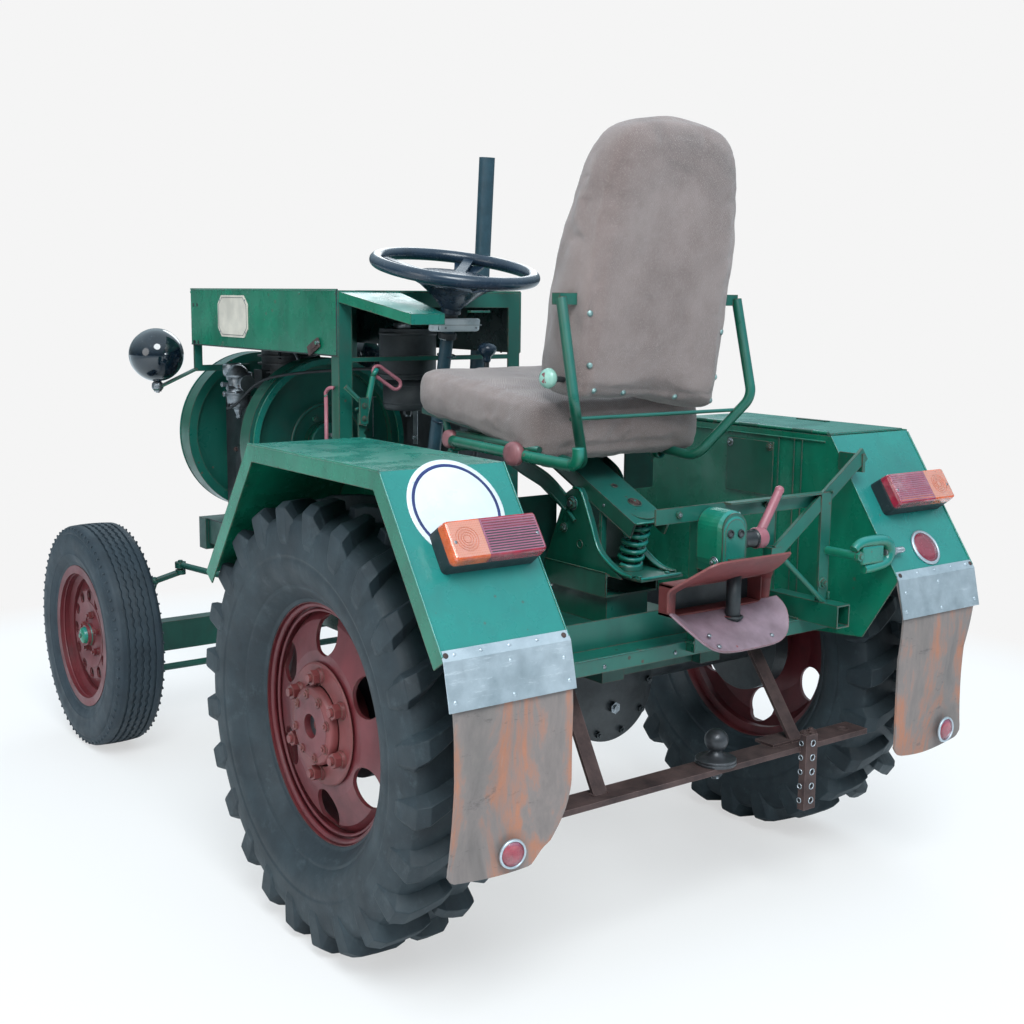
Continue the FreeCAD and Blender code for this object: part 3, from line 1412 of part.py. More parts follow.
def hand_levers():
    """The gear lever with its knob, and the toothed hand lever with a ring on top."""
    gear_x = -S.GearLeverX
    gear_y = -S.GearboxBack - S.GearLeverAhead
    turret = S.GearboxTop + S.TurretHeight
    gear_top = (gear_x, gear_y + S.LeverLean, S.GearKnobHeight)
    gear = fuse("gear_lever", [
        cylinder("gear_turret", 26, (gear_x, gear_y, S.GearboxTop), S.TurretHeight, "Z"),
        rod_between("gear_rod", (gear_x, gear_y, turret - 20), gear_top, 7),
        sphere("gear_knob", 19, gear_top)])
    board = RAIL_TOP + S.AngleSheet
    hand_y = -S.HandLeverAhead
    tip = S.HandLeverHeight
    hand_top = (S.HandLeverX - 13, hand_y + 40, tip)
    ring_centre = (S.HandLeverX - 13, hand_y + 48, tip + 23)
    hand = fuse("hand_lever", [
        box("hand_quadrant", (S.HandLeverX - 8, hand_y - 45, board),
            (S.HandLeverX + 8, hand_y + 45, board + 24)),
        rod_between("hand_rod", (S.HandLeverX, hand_y, board + 10), hand_top, 6),
        hand_made("hand_ring", Part.makeTorus(21, 4, vec(ring_centre), AXIS_X))])
    node("hand_levers", gather("hand_levers_both", [gear, hand]))


# ------------------------------------------------------------------------------------- seat

def seat():
    """The seat: cushion, pan, backrest and the tube arms that carry the backrest."""
    tilt = -S.SeatTilt.value
    half = S.CushionHalf
    back = S.CushionLength
    corner = S.CushionCorner
    top = S.CushionHeight
    plan = padded_body("cushion_plan", "XY_Plane", [
        (-half + corner, 0), (half - corner, 0), (half - corner * 0.25, corner * 0.3),
        (half, corner), (half, back - corner), (half - corner, back), (-half + corner, back),
        (-half, back - corner), (-half, corner), (-half + corner * 0.25, corner * 0.3)],
        3 * top, middle=True)
    side = padded_body("cushion_side", "YZ_Plane", [
        (0, top * 0.2), (0, top * 0.72), (top * 0.32, top), (back - top * 0.2, top),
        (back, top * 0.8), (back, -top * 0.1), (back - top * 0.3, -top * 0.16),
        (back * 0.72, 0), (top * 0.2, 0)], 3 * half, middle=True)
    cushion = doc.addObject("Part::MultiCommon", "seat_cushion_whole")
    cushion.Shapes = [plan, side]
    turn(cushion, AXIS_X, tilt)
    cushion.Label = "seat_cushion"
    put(cushion, (0, -S.CushionFront + S.AxleSetback, CUSHION_BOTTOM))
    NODES.append(("seat_cushion", cushion))
    pan_top = CUSHION_BOTTOM - 0.5
    pan = box("pan_block", (-S.CushionHalf + 20, -S.CushionFront + 4, pan_top - 14),
              (S.CushionHalf - 20, S.CushionLength * 0.7 - S.CushionFront, pan_top))
    turn(pan, AXIS_X, tilt)
    node("seat_pan", pan)


def backrest():
    """The backrest: tapering slab with round upper corners, leaning back."""
    half_low = S.BackrestHalfBottom
    half_high = S.BackrestHalfTop
    height = S.BackrestHeight
    front = padded_body("backrest_face", "XZ_Plane", [
        (-half_low, 0), (-half_low - 6, height * 0.4), (-half_high - 12, height * 0.82),
        (-half_high * 0.62, height), (half_high * 0.62, height), (half_high + 12, height * 0.82),
        (half_low + 6, height * 0.4), (half_low, 0)], 2 * S.BackrestThickBottom, middle=True)
    side = padded_body("backrest_side", "YZ_Plane", [
        (-S.BackrestThickBottom, 0), (-S.BackrestThickBottom, height * 0.35),
        (-S.BackrestThickTop, height), (0, height), (0, 0)], 3 * half_low, middle=True)
    slab = doc.addObject("Part::MultiCommon", "seat_backrest_whole")
    slab.Shapes = [front, side]
    turn(slab, AXIS_X, -S.BackrestLean.value)
    slab.Label = "seat_backrest"
    put(slab, (0, S.BackrestBack + S.AxleSetback, BACKREST_BOTTOM))
    NODES.append(("seat_backrest", slab))


def seat_arms():
    """Bent tubes from the pan's underside up to the backrest's sides, and a thin cross rod."""
    pieces = []
    front = S.ArmFront
    low = ARM_HEIGHT
    strap_top = BACKREST_BOTTOM + S.ArmStrapRise
    for name, side in SIDES:
        foot_x = side * S.ArmFootX
        wide_x = side * (S.BackrestHalfBottom + S.ArmSpread)
        pieces.append(bent_tube("arm_" + name, [
            (foot_x, front, low + 28), (foot_x, S.BackrestBack - 27, low),
            (wide_x, S.BackrestBack + 50, low + 136),
            (side * (S.BackrestHalfBottom + 48), S.BackrestBack - 2, strap_top - 10)],
            S.SeatTubeRadius, 45))
        inside = side * (S.BackrestHalfBottom + 7)
        low_x, high_x = (inside, wide_x) if side > 0 else (wide_x, inside)
        pieces.append(box("arm_strap_" + name, (low_x, S.BackrestBack - 27, strap_top - 24),
                          (high_x, S.BackrestBack - 2, strap_top)))
    rod_half = S.BackrestHalfBottom + 42
    rod_back = S.BackrestBack + 26
    pieces.append(rod_between("cross_rod", (-rod_half, rod_back, low + 106),
                              (rod_half, rod_back, low + 106), 4))
    pieces.append(box("arm_bridge", (-S.ArmFootX, front, low + 16), (S.ArmFootX, front + 30, low + 46)))
    node("seat_arms", fuse("seat_arms_whole", pieces))


def seat_suspension():
    """The seat's swing arm, spring and base."""
    half = S.SwingArmHalf
    wall = S.SwingArmSheet
    arm = padded_body("seat_swing_arm", "XZ_Plane", [
        (-half, -S.SwingArmDepth), (-half, 0), (half, 0), (half, -S.SwingArmDepth),
        (half - wall, -S.SwingArmDepth), (half - wall, -wall), (-half + wall, -wall),
        (-half + wall, -S.SwingArmDepth)], S.SwingArmLength)
    turn(arm, AXIS_X, -S.SwingArmTilt.value)
    arm.Label = "seat_swing_arm"
    put(arm, (0, S.SwingArmBack + S.AxleSetback, SWING_ARM_END))
    NODES.append(("seat_swing_arm", arm))
    spring_y = S.TrayBack - 12
    seat_high = 14
    node("seat_spring", fuse("seat_spring_whole", [
        cylinder("spring_foot", S.SpringRadius + 3, (0, spring_y, TRAY_TOP), seat_high, "Z"),
        rod_between("spring_coils", (0, spring_y + 3, TRAY_TOP + seat_high - 2),
                    (0, spring_y + 38, SWING_ARM_END + 8), S.SpringRadius)]))
    pieces = [box("tray_floor", (-S.TrayHalf, S.TrayFront, TRAY_BOTTOM),
                  (S.TrayHalf, S.TrayBack, TRAY_BOTTOM + wall)),
              box("base_plate", (-S.TrayHalf + 15, 60, TRAY_TOP - 5),
                  (S.TrayHalf - 15, S.BasePlateBack, TRAY_TOP)),
              box("pedestal", (-S.TrayHalf + 15, S.TrayFront + 10, RAIL_TOP + S.DeckSheet),
                  (S.TrayHalf - 15, S.TrayBack - 14, TRAY_BOTTOM))]
    plate_foot = TRAY_TOP.value - 8
    arm_end = SWING_ARM_END.value
    for name, side in SIDES:
        low, high = (S.TrayHalf - wall, S.TrayHalf) if side > 0 else (-S.TrayHalf, -S.TrayHalf + wall)
        pieces.append(box("tray_side_" + name, (low, S.TrayFront, TRAY_BOTTOM),
                          (high, S.TrayBack, TRAY_TOP)))
        plate = [(-33, plate_foot), (40, arm_end + 42), (60, arm_end + 54), (84, arm_end + 54),
                 (100, arm_end + 32), (150, TRAY_TOP.value + 46), (232, plate_foot)]
        corners = [FreeCAD.Vector(side * 60, back, up) for back, up in plate]
        face = Part.Face(Part.makePolygon(corners + corners[:1]))
        pieces.append(hand_made("bracket_" + name, face.extrude(FreeCAD.Vector(side * 5, 0, 0))))
        foot_in = side * (S.TrayHalf - 17)
        foot_out = side * (S.TrayHalf - 3)
        low, high = (foot_in, foot_out) if side > 0 else (foot_out, foot_in)
        pieces.append(box("bracket_foot_" + name, (low, S.TrayFront, TRAY_TOP - 8),
                          (high, S.TrayBack, TRAY_TOP - 4)))
    node("seat_base", fuse("seat_base_whole", pieces))


# --------------------------------------------------------------------------- towing equipment

def rear_cross_channel():
    """The folded plate across the back, between the fenders' skirts, with a lip folded down."""
    top = S.ChannelTop
    reach = FENDER_INNER
    wall = S.ChannelSheet
    upright = S.ChannelBack - S.ChannelUprightInset
    node("rear_cross_channel", fuse("rear_cross_channel_whole", [
        box("channel_shelf", (-reach, S.ChannelFront, top - wall), (reach, S.ChannelBack, top)),
        box("channel_lip", (-reach, S.ChannelBack - wall, top - S.ChannelLip),
            (reach, S.ChannelBack, top)),
        box("channel_upright", (-S.TrayHalf + 15, upright, top),
            (reach, upright + wall, top + S.ChannelUprightHeight))]))


def tow_bar():
    """The tow bar on its two struts, with the drilled upright angle and a small plate."""
    front = S.TowBarBack - S.TowBarWidth
    bottom = S.TowBarTop - S.TowBarThickness
    wall = S.AngleSheet
    plate_left = -S.AngleX + S.TowBarWidth - 6
    pieces = [box("bar", (-S.TowBarRight, front, bottom), (S.TowBarLeft, S.TowBarBack, S.TowBarTop)),
              box("bar_plate", (plate_left - 90, front - 20, S.TowBarTop),
                  (plate_left, front + 34, S.TowBarTop + 6)),
              box("angle_back", (-S.AngleX - S.AngleWide, S.AngleBack - wall, S.AngleLow),
                  (-S.AngleX, S.AngleBack, S.AngleHigh)),
              box("angle_side", (-S.AngleX - wall, S.TowBarBack - 2, S.AngleLow),
                  (-S.AngleX, S.AngleBack, S.AngleHigh))]
    shelf_under = S.ChannelTop - S.ChannelSheet
    strut_half = S.StrutWidth / 2
    strut_top = S.ChannelFront + strut_half
    for name, side in SIDES:
        head = side * (S.StrutX - S.StrutSheet)
        foot = side * (S.StrutX + S.StrutSheet)
        pieces.append(bar_between("strut_" + name, (head, strut_top, shelf_under - 7),
                                  (foot, TOW_HOLE_BACK, S.TowBarTop - 4), S.StrutWidth, S.StrutSheet,
                                  AXIS_X))
        pieces.append(box("strut_foot_" + name, (head - strut_half, S.ChannelFront, shelf_under - 12),
                          (head + strut_half, S.ChannelFront + S.StrutWidth, shelf_under)))
    reach = S.TowBarThickness + 10
    holes = [cylinder("bar_hole", S.TowHoleRadius, (-S.TowBarRight + S.TowHoleInset, TOW_HOLE_BACK,
                                                    bottom - 5), reach, "Z"),
             cylinder("ball_hole", S.BallShankRadius, (-S.BallX, TOW_HOLE_BACK, bottom - 5),
                      reach, "Z")]
    for number in range(int(S.AngleHoles.value)):
        height = S.AngleLow + 20 + number * (S.AngleHigh - S.AngleLow - 40) / (S.AngleHoles - 1)
        holes.append(cylinder("angle_hole_%d" % number, S.AngleHoleRadius,
                              (-S.AngleX - S.AngleWide * 0.6, S.AngleBack - wall - 2, height), 8, "Y"))
    node("tow_bar", cut("tow_bar_whole", fuse("tow_bar_solid", pieces), holes))


def tow_ball():
    """The tow ball on its flange, bolted through the bar."""
    top = S.TowBarTop
    place = (-S.BallX, TOW_HOLE_BACK)
    shank = S.TowBarThickness + 18
    node("tow_ball", fuse("tow_ball_whole", [
        sphere("ball", S.BallRadius, place + (top + S.BallHeight,)),
        cylinder("ball_neck", S.BallRadius / 2, place + (top,), S.BallHeight, "Z"),
        cylinder("ball_flange", S.BallFlangeRadius, place + (top,), S.BallFlangeDepth, "Z"),
        cylinder("ball_shank", S.BallShankRadius, place + (top - shank,), shank, "Z")]))


def trailer_coupling():
    """The automatic trailer coupling: post, housing, side shaft with its lever, and the pin."""
    half = S.CouplingHalf
    front = S.CouplingFront
    angle_front = front - S.AngleSheet
    post_top = S.CarrierHeight - S.CarrierAngle
    shaft_back = (S.CouplingFront + S.CouplingBack) / 2
    lever_foot = (-S.CouplingShaftReach - 5, shaft_back, COUPLING_SHAFT - 7)
    lever_tip = (-S.CouplingShaftReach - 73, shaft_back - 5, COUPLING_SHAFT + 93)
    pin_back = S.CouplingBack + 2
    node("trailer_coupling", fuse("trailer_coupling_whole", [
        box("coupling_post", (-30, S.ChannelBack, S.ChannelTop - 20), (30, angle_front, post_top)),
        box("coupling_root", (-30, angle_front, S.JawHigh + 4), (30, front, post_top)),
        box("coupling_housing", (-half, front, S.CouplingBottom),
            (half, S.CouplingBack, S.CouplingTop - half)),
        cylinder("coupling_cap", half, (0, front, S.CouplingTop - half), S.CouplingBack - front, "Y"),
        cylinder("coupling_shaft", 16, (-S.CouplingShaftReach, shaft_back, COUPLING_SHAFT),
                 S.CouplingShaftReach - half + 4, "X"),
        cylinder("coupling_pin", S.CouplingPinRadius, (0, pin_back, S.JawLow - 8),
                 S.CouplingBottom - S.JawLow + 8, "Z"),
        box("pin_guide", (-20, pin_back - 20, S.CouplingBottom), (20, pin_back + 10, S.CouplingBottom + 30)),
        rod_between("coupling_lever", lever_foot, lever_tip, 9),
        cylinder("coupling_lever_foot", 15, (-S.CouplingShaftReach - 12, shaft_back,
                                             COUPLING_SHAFT), 24, "X")]))


def jaw_ring(share, inset):
    """Eight corners of the jaw's cross section, from its neck at 0 to its lips and ears at 1."""
    chamfer = 10
    left, right = S.JawLeft, -S.JawRight
    low, high = S.JawLow, S.JawHigh
    neck = ((left - chamfer, high), (left, high - chamfer), (left, low + chamfer),
            (left - chamfer, low), (right + chamfer, low), (right, low + chamfer),
            (right, high - chamfer), (right + chamfer, high))
    rim = ((S.JawLipLeft, S.JawBack, S.JawFlareHigh), (S.JawFlareLeft, S.JawEarBack, S.JawEarHigh),
           (S.JawFlareLeft, S.JawEarBack, S.JawEarLow),
           (S.JawTongueLeft, S.JawTongueBack, S.JawFlareLow),
           (-S.JawTongueRight, S.JawTongueBack, S.JawFlareLow),
           (-S.JawFlareRight, S.JawEarBack, S.JawEarLow),
           (-S.JawFlareRight, S.JawEarBack, S.JawEarHigh),
           (-S.JawLipRight, S.JawBack, S.JawFlareHigh))
    start = value(S.JawNeckBack)
    spread = share ** 1.5
    corners = []
    for (neck_x, neck_z), (rim_x, rim_y, rim_z) in zip(neck, rim):
        across = value(neck_x) * (1 - spread) + value(rim_x) * spread
        up = value(neck_z) * (1 - spread) + value(rim_z) * spread
        back = start + (value(rim_y) - start) * share
        inward_x = -inset if across > 0 else inset
        inward_z = -inset if up > value((low + high) / 2) else inset
        corners.append(vec((across + inward_x, back, up + inward_z)))
    return corners


def coupling_jaw():
    """The flared mouth that guides a drawbar's eye: upper lip, lower tongue and two side ears."""
    wall = value(S.JawSheet)
    rings = [jaw_ring(share, inset) for inset, shares in
             ((0, (0, 0.35, 0.68, 1)), (wall, (1, 0.68, 0.35, 0))) for share in shares]
    faces = []
    for first, second in zip(rings, rings[1:] + rings[:1]):
        for number in range(len(first)):
            after = (number + 1) % len(first)
            faces += two_facets(first[number], first[after], second[after], second[number])
    flare = hand_made("jaw_flare", faceted_solid(faces))
    outside = box("jaw_neck_outside", (-S.JawRight, S.CouplingFront, S.JawLow),
                  (S.JawLeft, S.JawNeckBack, S.JawHigh))
    inside = box("jaw_neck_inside",
                 (-S.JawRight + wall, S.CouplingFront + wall, S.JawLow + wall),
                 (S.JawLeft - wall, S.JawNeckBack + wall, S.JawHigh - wall))
    pin = cylinder("jaw_pin_hole", S.CouplingPinRadius + S.CouplingPinPlay,
                   (0, S.CouplingBack + 2, S.JawLow - 30), S.JawHigh - S.JawLow + 60, "Z")
    neck = cut("jaw_neck", outside, [inside])
    node("coupling_jaw", cut("coupling_jaw_whole", fuse("coupling_jaw_solid", [neck, flare]),
                             [pin]))


def carrier_frame():
    """The implement carrier on the right: box tube, upright, cross angle and a brace."""
    half = S.CarrierTubeWidth / 2
    low = S.ChannelTop
    high = low + S.CarrierTubeHeight
    wall = S.CarrierTubeWall
    centre = -S.CarrierTubeX
    front = S.ChannelBack - 90
    tube = box("carrier_tube", (centre - half, front, low), (centre + half, S.CarrierTubeBack, high))
    hollow = box("carrier_hollow", (centre - half + wall, front - 5, low + wall),
                 (centre + half - wall, S.CarrierTubeBack + 5, high - wall))
    angle_front = S.CouplingFront - S.AngleSheet
    upright = S.CouplingFront + 12
    cross = centre - half + 2
    brace_head = (-FENDER_INNER - S.AngleSheet, S.BraceBack, S.BraceHigh)
    brace_foot = (-S.BraceFootX, S.BraceBack + 10, S.BraceLow)
    pieces = [cut("carrier_tube_shell", tube, [hollow]),
              box("upright", (cross, upright, high), (centre + 14, upright + 6, S.CarrierHeight)),
              box("cross_angle", (cross, angle_front, S.CarrierHeight - S.CarrierAngle),
                  (150, S.CouplingFront, S.CarrierHeight)),
              box("cross_angle_top", (cross, angle_front, S.CarrierHeight - S.AngleSheet),
                  (-40, upright + 6, S.CarrierHeight)),
              bar_between("brace", brace_head, brace_foot, 30, 8, AXIS_X),
              box("brace_ear", (-FENDER_INNER, S.BraceBack - 60, S.BraceHigh - 40),
                  (-FENDER_INNER + 8, S.BraceBack + 8, S.BraceHigh)),
              box("brace_foot", (-S.BraceFootX - 12, angle_front, S.BraceLow - 12),
                  (-S.BraceFootX + 18, S.BraceBack + 14, S.BraceLow + 10)),
              box("brace_hanger", (-S.BraceFootX - 12, angle_front, S.BraceLow - 12),
                  (-S.BraceFootX + 18, S.CouplingFront, S.CarrierHeight)),
              rod_between("brace_rod", (-S.BraceFootX - 5, S.BraceBack + 5, S.BraceLow),
                          (centre + 8, S.BraceBack + 25, high - 2), 6)]
    node("carrier_frame", fuse("carrier_frame_whole", pieces))


def screw_clamp():
    """The screw clamp on the carrier's upright."""
    arm_front = S.CouplingFront + 18
    arm_back = arm_front + S.ClampReach
    centre = -S.CarrierTubeX
    height = S.ClampHeight
    node("screw_clamp", fuse("screw_clamp_whole", [
        box("clamp_arm", (centre - 18, arm_front, height - 10), (centre + 2, arm_back, height + 4)),
        box("clamp_body", (centre - 110, arm_back - 26, height - 16), (centre + 2, arm_back, height + 16)),
        cylinder("clamp_screw", 7, (centre - 170, arm_back - 13, height), 70, "X")]))


rear_rims()
front_rims()
tyres()
frame_rails()
rear_axle()
front_axle_beam()
knuckles()
track_rod()
drag_link()
pitman_arm()
flywheels()
engine()
carburettor()
battery_box()
gearbox()
fuel_tank()
exhaust_pipe()
hood()
hood_frame()
dash_shelf()
headlamps()
fenders()
box_lid()
tail_lamps()
flaps()
footboards()
steering_column()
steering_wheel()
hand_levers()
seat()
backrest()
seat_arms()
seat_suspension()
rear_cross_channel()
tow_bar()
tow_ball()
trailer_coupling()
coupling_jaw()
carrier_frame()
screw_clamp()

doc.recompute()

for thing in doc.Objects:
    if "Invalid" in thing.State or "Error" in thing.State:
        raise RuntimeError("%s did not build: %s" % (thing.Label, thing.getStatusString()))
for label, thing in NODES:
    if thing.Shape.isNull() or not thing.Shape.isValid():
        raise RuntimeError("%s has no valid shape" % label)

os.makedirs("parts", exist_ok=True)
for label, thing in NODES:
    thing.Shape.exportStep(os.path.join("parts", label + ".step"))
    print(label, len(thing.Shape.Solids), round(thing.Shape.Volume / 1000.0))
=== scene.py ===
from math import copysign, cos, exp, pi, radians, sin

import bmesh
import bpy
from mathutils import Matrix, Vector, noise
from mathutils.kdtree import KDTree


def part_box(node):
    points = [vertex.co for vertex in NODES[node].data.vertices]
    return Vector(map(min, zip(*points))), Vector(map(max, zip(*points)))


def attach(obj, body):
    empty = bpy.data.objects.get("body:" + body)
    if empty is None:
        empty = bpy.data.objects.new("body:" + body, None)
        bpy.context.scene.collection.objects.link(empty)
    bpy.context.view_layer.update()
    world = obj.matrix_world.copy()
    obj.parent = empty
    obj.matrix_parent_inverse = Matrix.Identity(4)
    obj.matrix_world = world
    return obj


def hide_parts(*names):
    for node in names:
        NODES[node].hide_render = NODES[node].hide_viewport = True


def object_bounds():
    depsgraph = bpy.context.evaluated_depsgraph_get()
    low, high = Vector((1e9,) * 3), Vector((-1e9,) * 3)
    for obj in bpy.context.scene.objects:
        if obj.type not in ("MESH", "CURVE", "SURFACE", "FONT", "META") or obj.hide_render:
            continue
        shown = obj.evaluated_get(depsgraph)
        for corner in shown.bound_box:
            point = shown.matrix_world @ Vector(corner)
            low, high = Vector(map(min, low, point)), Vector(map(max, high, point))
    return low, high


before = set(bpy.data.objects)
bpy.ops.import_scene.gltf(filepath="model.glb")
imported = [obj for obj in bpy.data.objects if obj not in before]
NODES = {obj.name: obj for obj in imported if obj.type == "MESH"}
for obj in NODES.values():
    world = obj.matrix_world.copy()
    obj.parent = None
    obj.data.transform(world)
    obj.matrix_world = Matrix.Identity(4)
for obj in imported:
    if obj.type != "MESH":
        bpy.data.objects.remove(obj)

CAD_BOX = [list(corner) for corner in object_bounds()]
CHASSIS = "chassis"
TAU = 2 * pi
SIDES = (("left", 1), ("right", -1))
LEFT, REAR, UP = Vector((1, 0, 0)), Vector((0, 1, 0)), Vector((0, 0, 1))

# The photo's tractor is described in millimetres about the foot of the rear axle.
AXLE_Y = (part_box("rear_rim_left")[0][1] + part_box("rear_rim_left")[1][1]) / 2


def P(x, y, z):
    """A point in millimetres about the rear axle's foot, as metres in the row's frame."""
    return Vector((x / 1000, y / 1000 + AXLE_Y, z / 1000))


def middle(node):
    """The middle of a CAD node's box."""
    low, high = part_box(node)
    return Vector([(a + b) / 2 for a, b in zip(low, high)])


# ------------------------------------------------------------------------------ materials

class Nodes:
    """A node tree under construction."""

    def __init__(self, owner):
        owner.use_nodes = True
        self.tree = owner.node_tree
        self.tree.nodes.clear()

    def add(self, kind, **inputs):
        """Adds a node and sets or links its inputs."""
        node = self.tree.nodes.new(kind)
        for name, value in inputs.items():
            self.feed(node.inputs[name.replace("_", " ")], value)
        return node

    def join(self, output, socket):
        self.tree.links.new(output, socket)

    def feed(self, socket, value):
        if isinstance(value, bpy.types.NodeSocket):
            self.join(value, socket)
        elif isinstance(value, (tuple, list)) and len(value) == 3 and socket.type == "RGBA":
            socket.default_value = (*value, 1)
        else:
            socket.default_value = value

    def ramp(self, factor, *stops):
        """A colour ramp whose stops are each a place and a colour or a grey."""
        node = self.add("ShaderNodeValToRGB")
        elements = node.color_ramp.elements
        while len(elements) < len(stops):
            elements.new(0.5)
        for element, (position, colour) in zip(elements, stops):
            element.position = position
            grey = (colour,) * 3 if isinstance(colour, (int, float)) else colour
            element.color = (*grey, 1)
        self.join(factor, node.inputs[0])
        return node.outputs[0]

    def mask(self, factor, low, high):
        """0 where factor is low and 1 where it is high."""
        return self.add("ShaderNodeMapRange", From_Min=low, From_Max=high, Value=factor).outputs[0]

    def mix(self, factor, first, second):
        node = self.add("ShaderNodeMix")
        node.data_type = "RGBA"
        for index, value in ((0, factor), (6, first), (7, second)):
            self.feed(node.inputs[index], value)
        return node.outputs[2]

    def math(self, kind, first, second=0.0, third=0.0):
        node = self.add("ShaderNodeMath")
        node.operation = kind
        for socket, value in zip(node.inputs, (first, second, third)):
            self.feed(socket, value)
        return node.outputs[0]

    def blend(self, factor, first, second):
        """One shader over another."""
        node = self.add("ShaderNodeMixShader")
        for socket, value in zip(node.inputs, (factor, first, second)):
            self.join(value, socket)
        return node.outputs[0]


class Paint(Nodes):
    """A material, with the object's own coordinates."""

    def __init__(self, name):
        self.material = bpy.data.materials.new(name)
        super().__init__(self.material)
        self.output = self.add("ShaderNodeOutputMaterial")
        self.shader = self.add("ShaderNodeBsdfPrincipled")
        self.join(self.shader.outputs[0], self.output.inputs[0])
        self.place = self.add("ShaderNodeTexCoord").outputs["Object"]

    def noise(self, scale, detail=4, rough=0.55, stretch=None, distort=0.0):
        place = self.place
        if stretch:
            place = self.add("ShaderNodeMapping", Scale=stretch, Vector=place).outputs[0]
        return self.add("ShaderNodeTexNoise", Scale=scale, Detail=detail, Roughness=rough,
                        Distortion=distort, Vector=place).outputs[0]

    def cells(self, scale):
        return self.add("ShaderNodeTexVoronoi", Scale=scale, Vector=self.place).outputs["Distance"]

    def wave(self, scale, direction, distort=0.0, detail=2, place=None):
        node = self.add("ShaderNodeTexWave", Scale=scale, Distortion=distort, Detail=detail,
                        Vector=place or self.place)
        node.bands_direction = direction
        return node.outputs["Fac"]

    def veil(self, tone, mask, share, over):
        """Lays a share of another tone over the first, where mask says."""
        return self.mix(self.math("MULTIPLY", mask, share), tone, over)

    def edges(self, radius=0.004):
        """1 at sharp edges and 0 on flat faces, from the bevel shader's rounded normal."""
        bevel = self.add("ShaderNodeBevel", Radius=radius)
        bevel.samples = 4
        geometry = self.add("ShaderNodeNewGeometry")
        dot = self.add("ShaderNodeVectorMath")
        dot.operation = "DOT_PRODUCT"
        self.join(bevel.outputs[0], dot.inputs[0])
        self.join(geometry.outputs["Normal"], dot.inputs[1])
        return self.math("SUBTRACT", 1.0, dot.outputs["Value"])

    def split(self, axis):
        """One coordinate of the object's own space."""
        return self.add("ShaderNodeSeparateXYZ", Vector=self.place).outputs[axis]

    def facing(self, axis):
        """One component of the surface's normal in the object's own space."""
        normal = self.add("ShaderNodeTexCoord").outputs["Normal"]
        return self.add("ShaderNodeSeparateXYZ", Vector=normal).outputs[axis]

    def bump(self, height, strength=0.3, distance=0.001, under=None):
        node = self.add("ShaderNodeBump", Strength=strength, Distance=distance, Height=height)
        if under is not None:
            self.join(under, node.inputs["Normal"])
        return node.outputs[0]

    def finish(self, colour, rough, normal=None, **constants):
        """Feeds the shader and gives back the finished material."""
        if normal is not None:
            constants["Normal"] = normal
        for name, value in (("Base Color", colour), ("Roughness", rough), *constants.items()):
            self.feed(self.shader.inputs[name.replace("_", " ")], value)
        return self.material


def sheet_paint(name, dark, light, chip=(0.05, 0.022, 0.018), wear=0.5, dirt=0.25, gloss=0.3,
                wobble=0.5, dust=(0.05, 0.055, 0.05), faded=None, painted_inner_shade=False):
    """Brushed-on gloss paint on sheet steel: patches, worn edges, chips, grime and wavy sheet."""
    paint = Paint(name)
    patches = paint.noise(3.2, 5, 0.6, distort=0.4)
    streaks = paint.noise(26, 3, 0.6, stretch=(1, 1, 0.35))
    colour = paint.ramp(paint.mix(0.35, patches, streaks), (0.3, dark), (0.62, light))
    if faded:
        # Painted reflection: faces turned up and back take a pale cyan tint that stands in for the
        # sky's reflection on the gloss paint.
        lean = paint.math("ADD", paint.math("MULTIPLY", paint.facing("Y"), 0.6),
                          paint.math("MULTIPLY", paint.facing("Z"), 0.55))
        colour = paint.veil(colour, paint.mask(lean, 0.3, 0.85), 0.55, faded)
    if painted_inner_shade:
        # Painted shade: the inner faces of the hood's walls and faces turned down go near-black,
        # for the shade inside and under the hood.
        turned_in = paint.math("MULTIPLY", paint.facing("X"), paint.split("X"))
        within = paint.mask(turned_in, -0.02, -0.12)
        below = paint.mask(paint.facing("Z"), -0.3, -0.6)
        colour = paint.mix(paint.math("MAXIMUM", within, below), colour, (0.002, 0.012, 0.01))
    grime = paint.mask(paint.noise(7, 6, 0.7), 0.52, 0.78)
    colour = paint.veil(colour, grime, dirt, dust)
    flakes = paint.noise(60, 5, 0.65)
    worn = paint.mask(paint.math("ADD", paint.math("MULTIPLY", paint.edges(), 2.4), flakes),
                      1.05 - 0.35 * wear, 1.12 - 0.35 * wear)
    spots = paint.mask(paint.math("ADD", paint.noise(9, 2), paint.cells(38)), 0.52, 0.46)
    spots = paint.math("MULTIPLY", spots, wear)
    bare = paint.math("MAXIMUM", worn, spots)
    colour = paint.mix(bare, colour, paint.ramp(flakes, (0.4, chip), (0.62, (0.13, 0.06, 0.045))))
    rough = paint.ramp(paint.noise(14, 4), (0.3, gloss), (0.7, gloss + 0.2))
    rough = paint.mix(bare, rough, (0.8, 0.8, 0.8))
    waves = paint.bump(paint.noise(4.5, 2, 0.4), wobble, 0.008)
    fine = paint.bump(paint.noise(180, 3, 0.6), 0.12, 0.0012, waves)
    return paint.finish(colour, rough, paint.bump(bare, 0.25, -0.0006, fine))


def iron(name, dark, light, rough=0.55, metal=0.0, oil=0.4):
    """Cast or rolled iron with grime, oil patches and a grainy skin."""
    paint = Paint(name)
    base = paint.ramp(paint.noise(16, 6, 0.7), (0.3, dark), (0.7, light))
    sheen = paint.mask(paint.noise(6, 3), 0.45, 0.65)
    roughness = paint.ramp(paint.math("MULTIPLY", sheen, oil), (0.0, rough), (1.0, 0.18))
    edge = paint.mask(paint.math("ADD", paint.math("MULTIPLY", paint.edges(0.003), 2),
                                 paint.noise(70, 4)), 0.8, 1.1)
    base = paint.mix(edge, base, tuple(min(1, 1.8 * c + 0.02) for c in light))
    skin = paint.bump(paint.noise(120, 5, 0.7), 0.4, 0.0012)
    return paint.finish(base, roughness, skin, Metallic=metal)


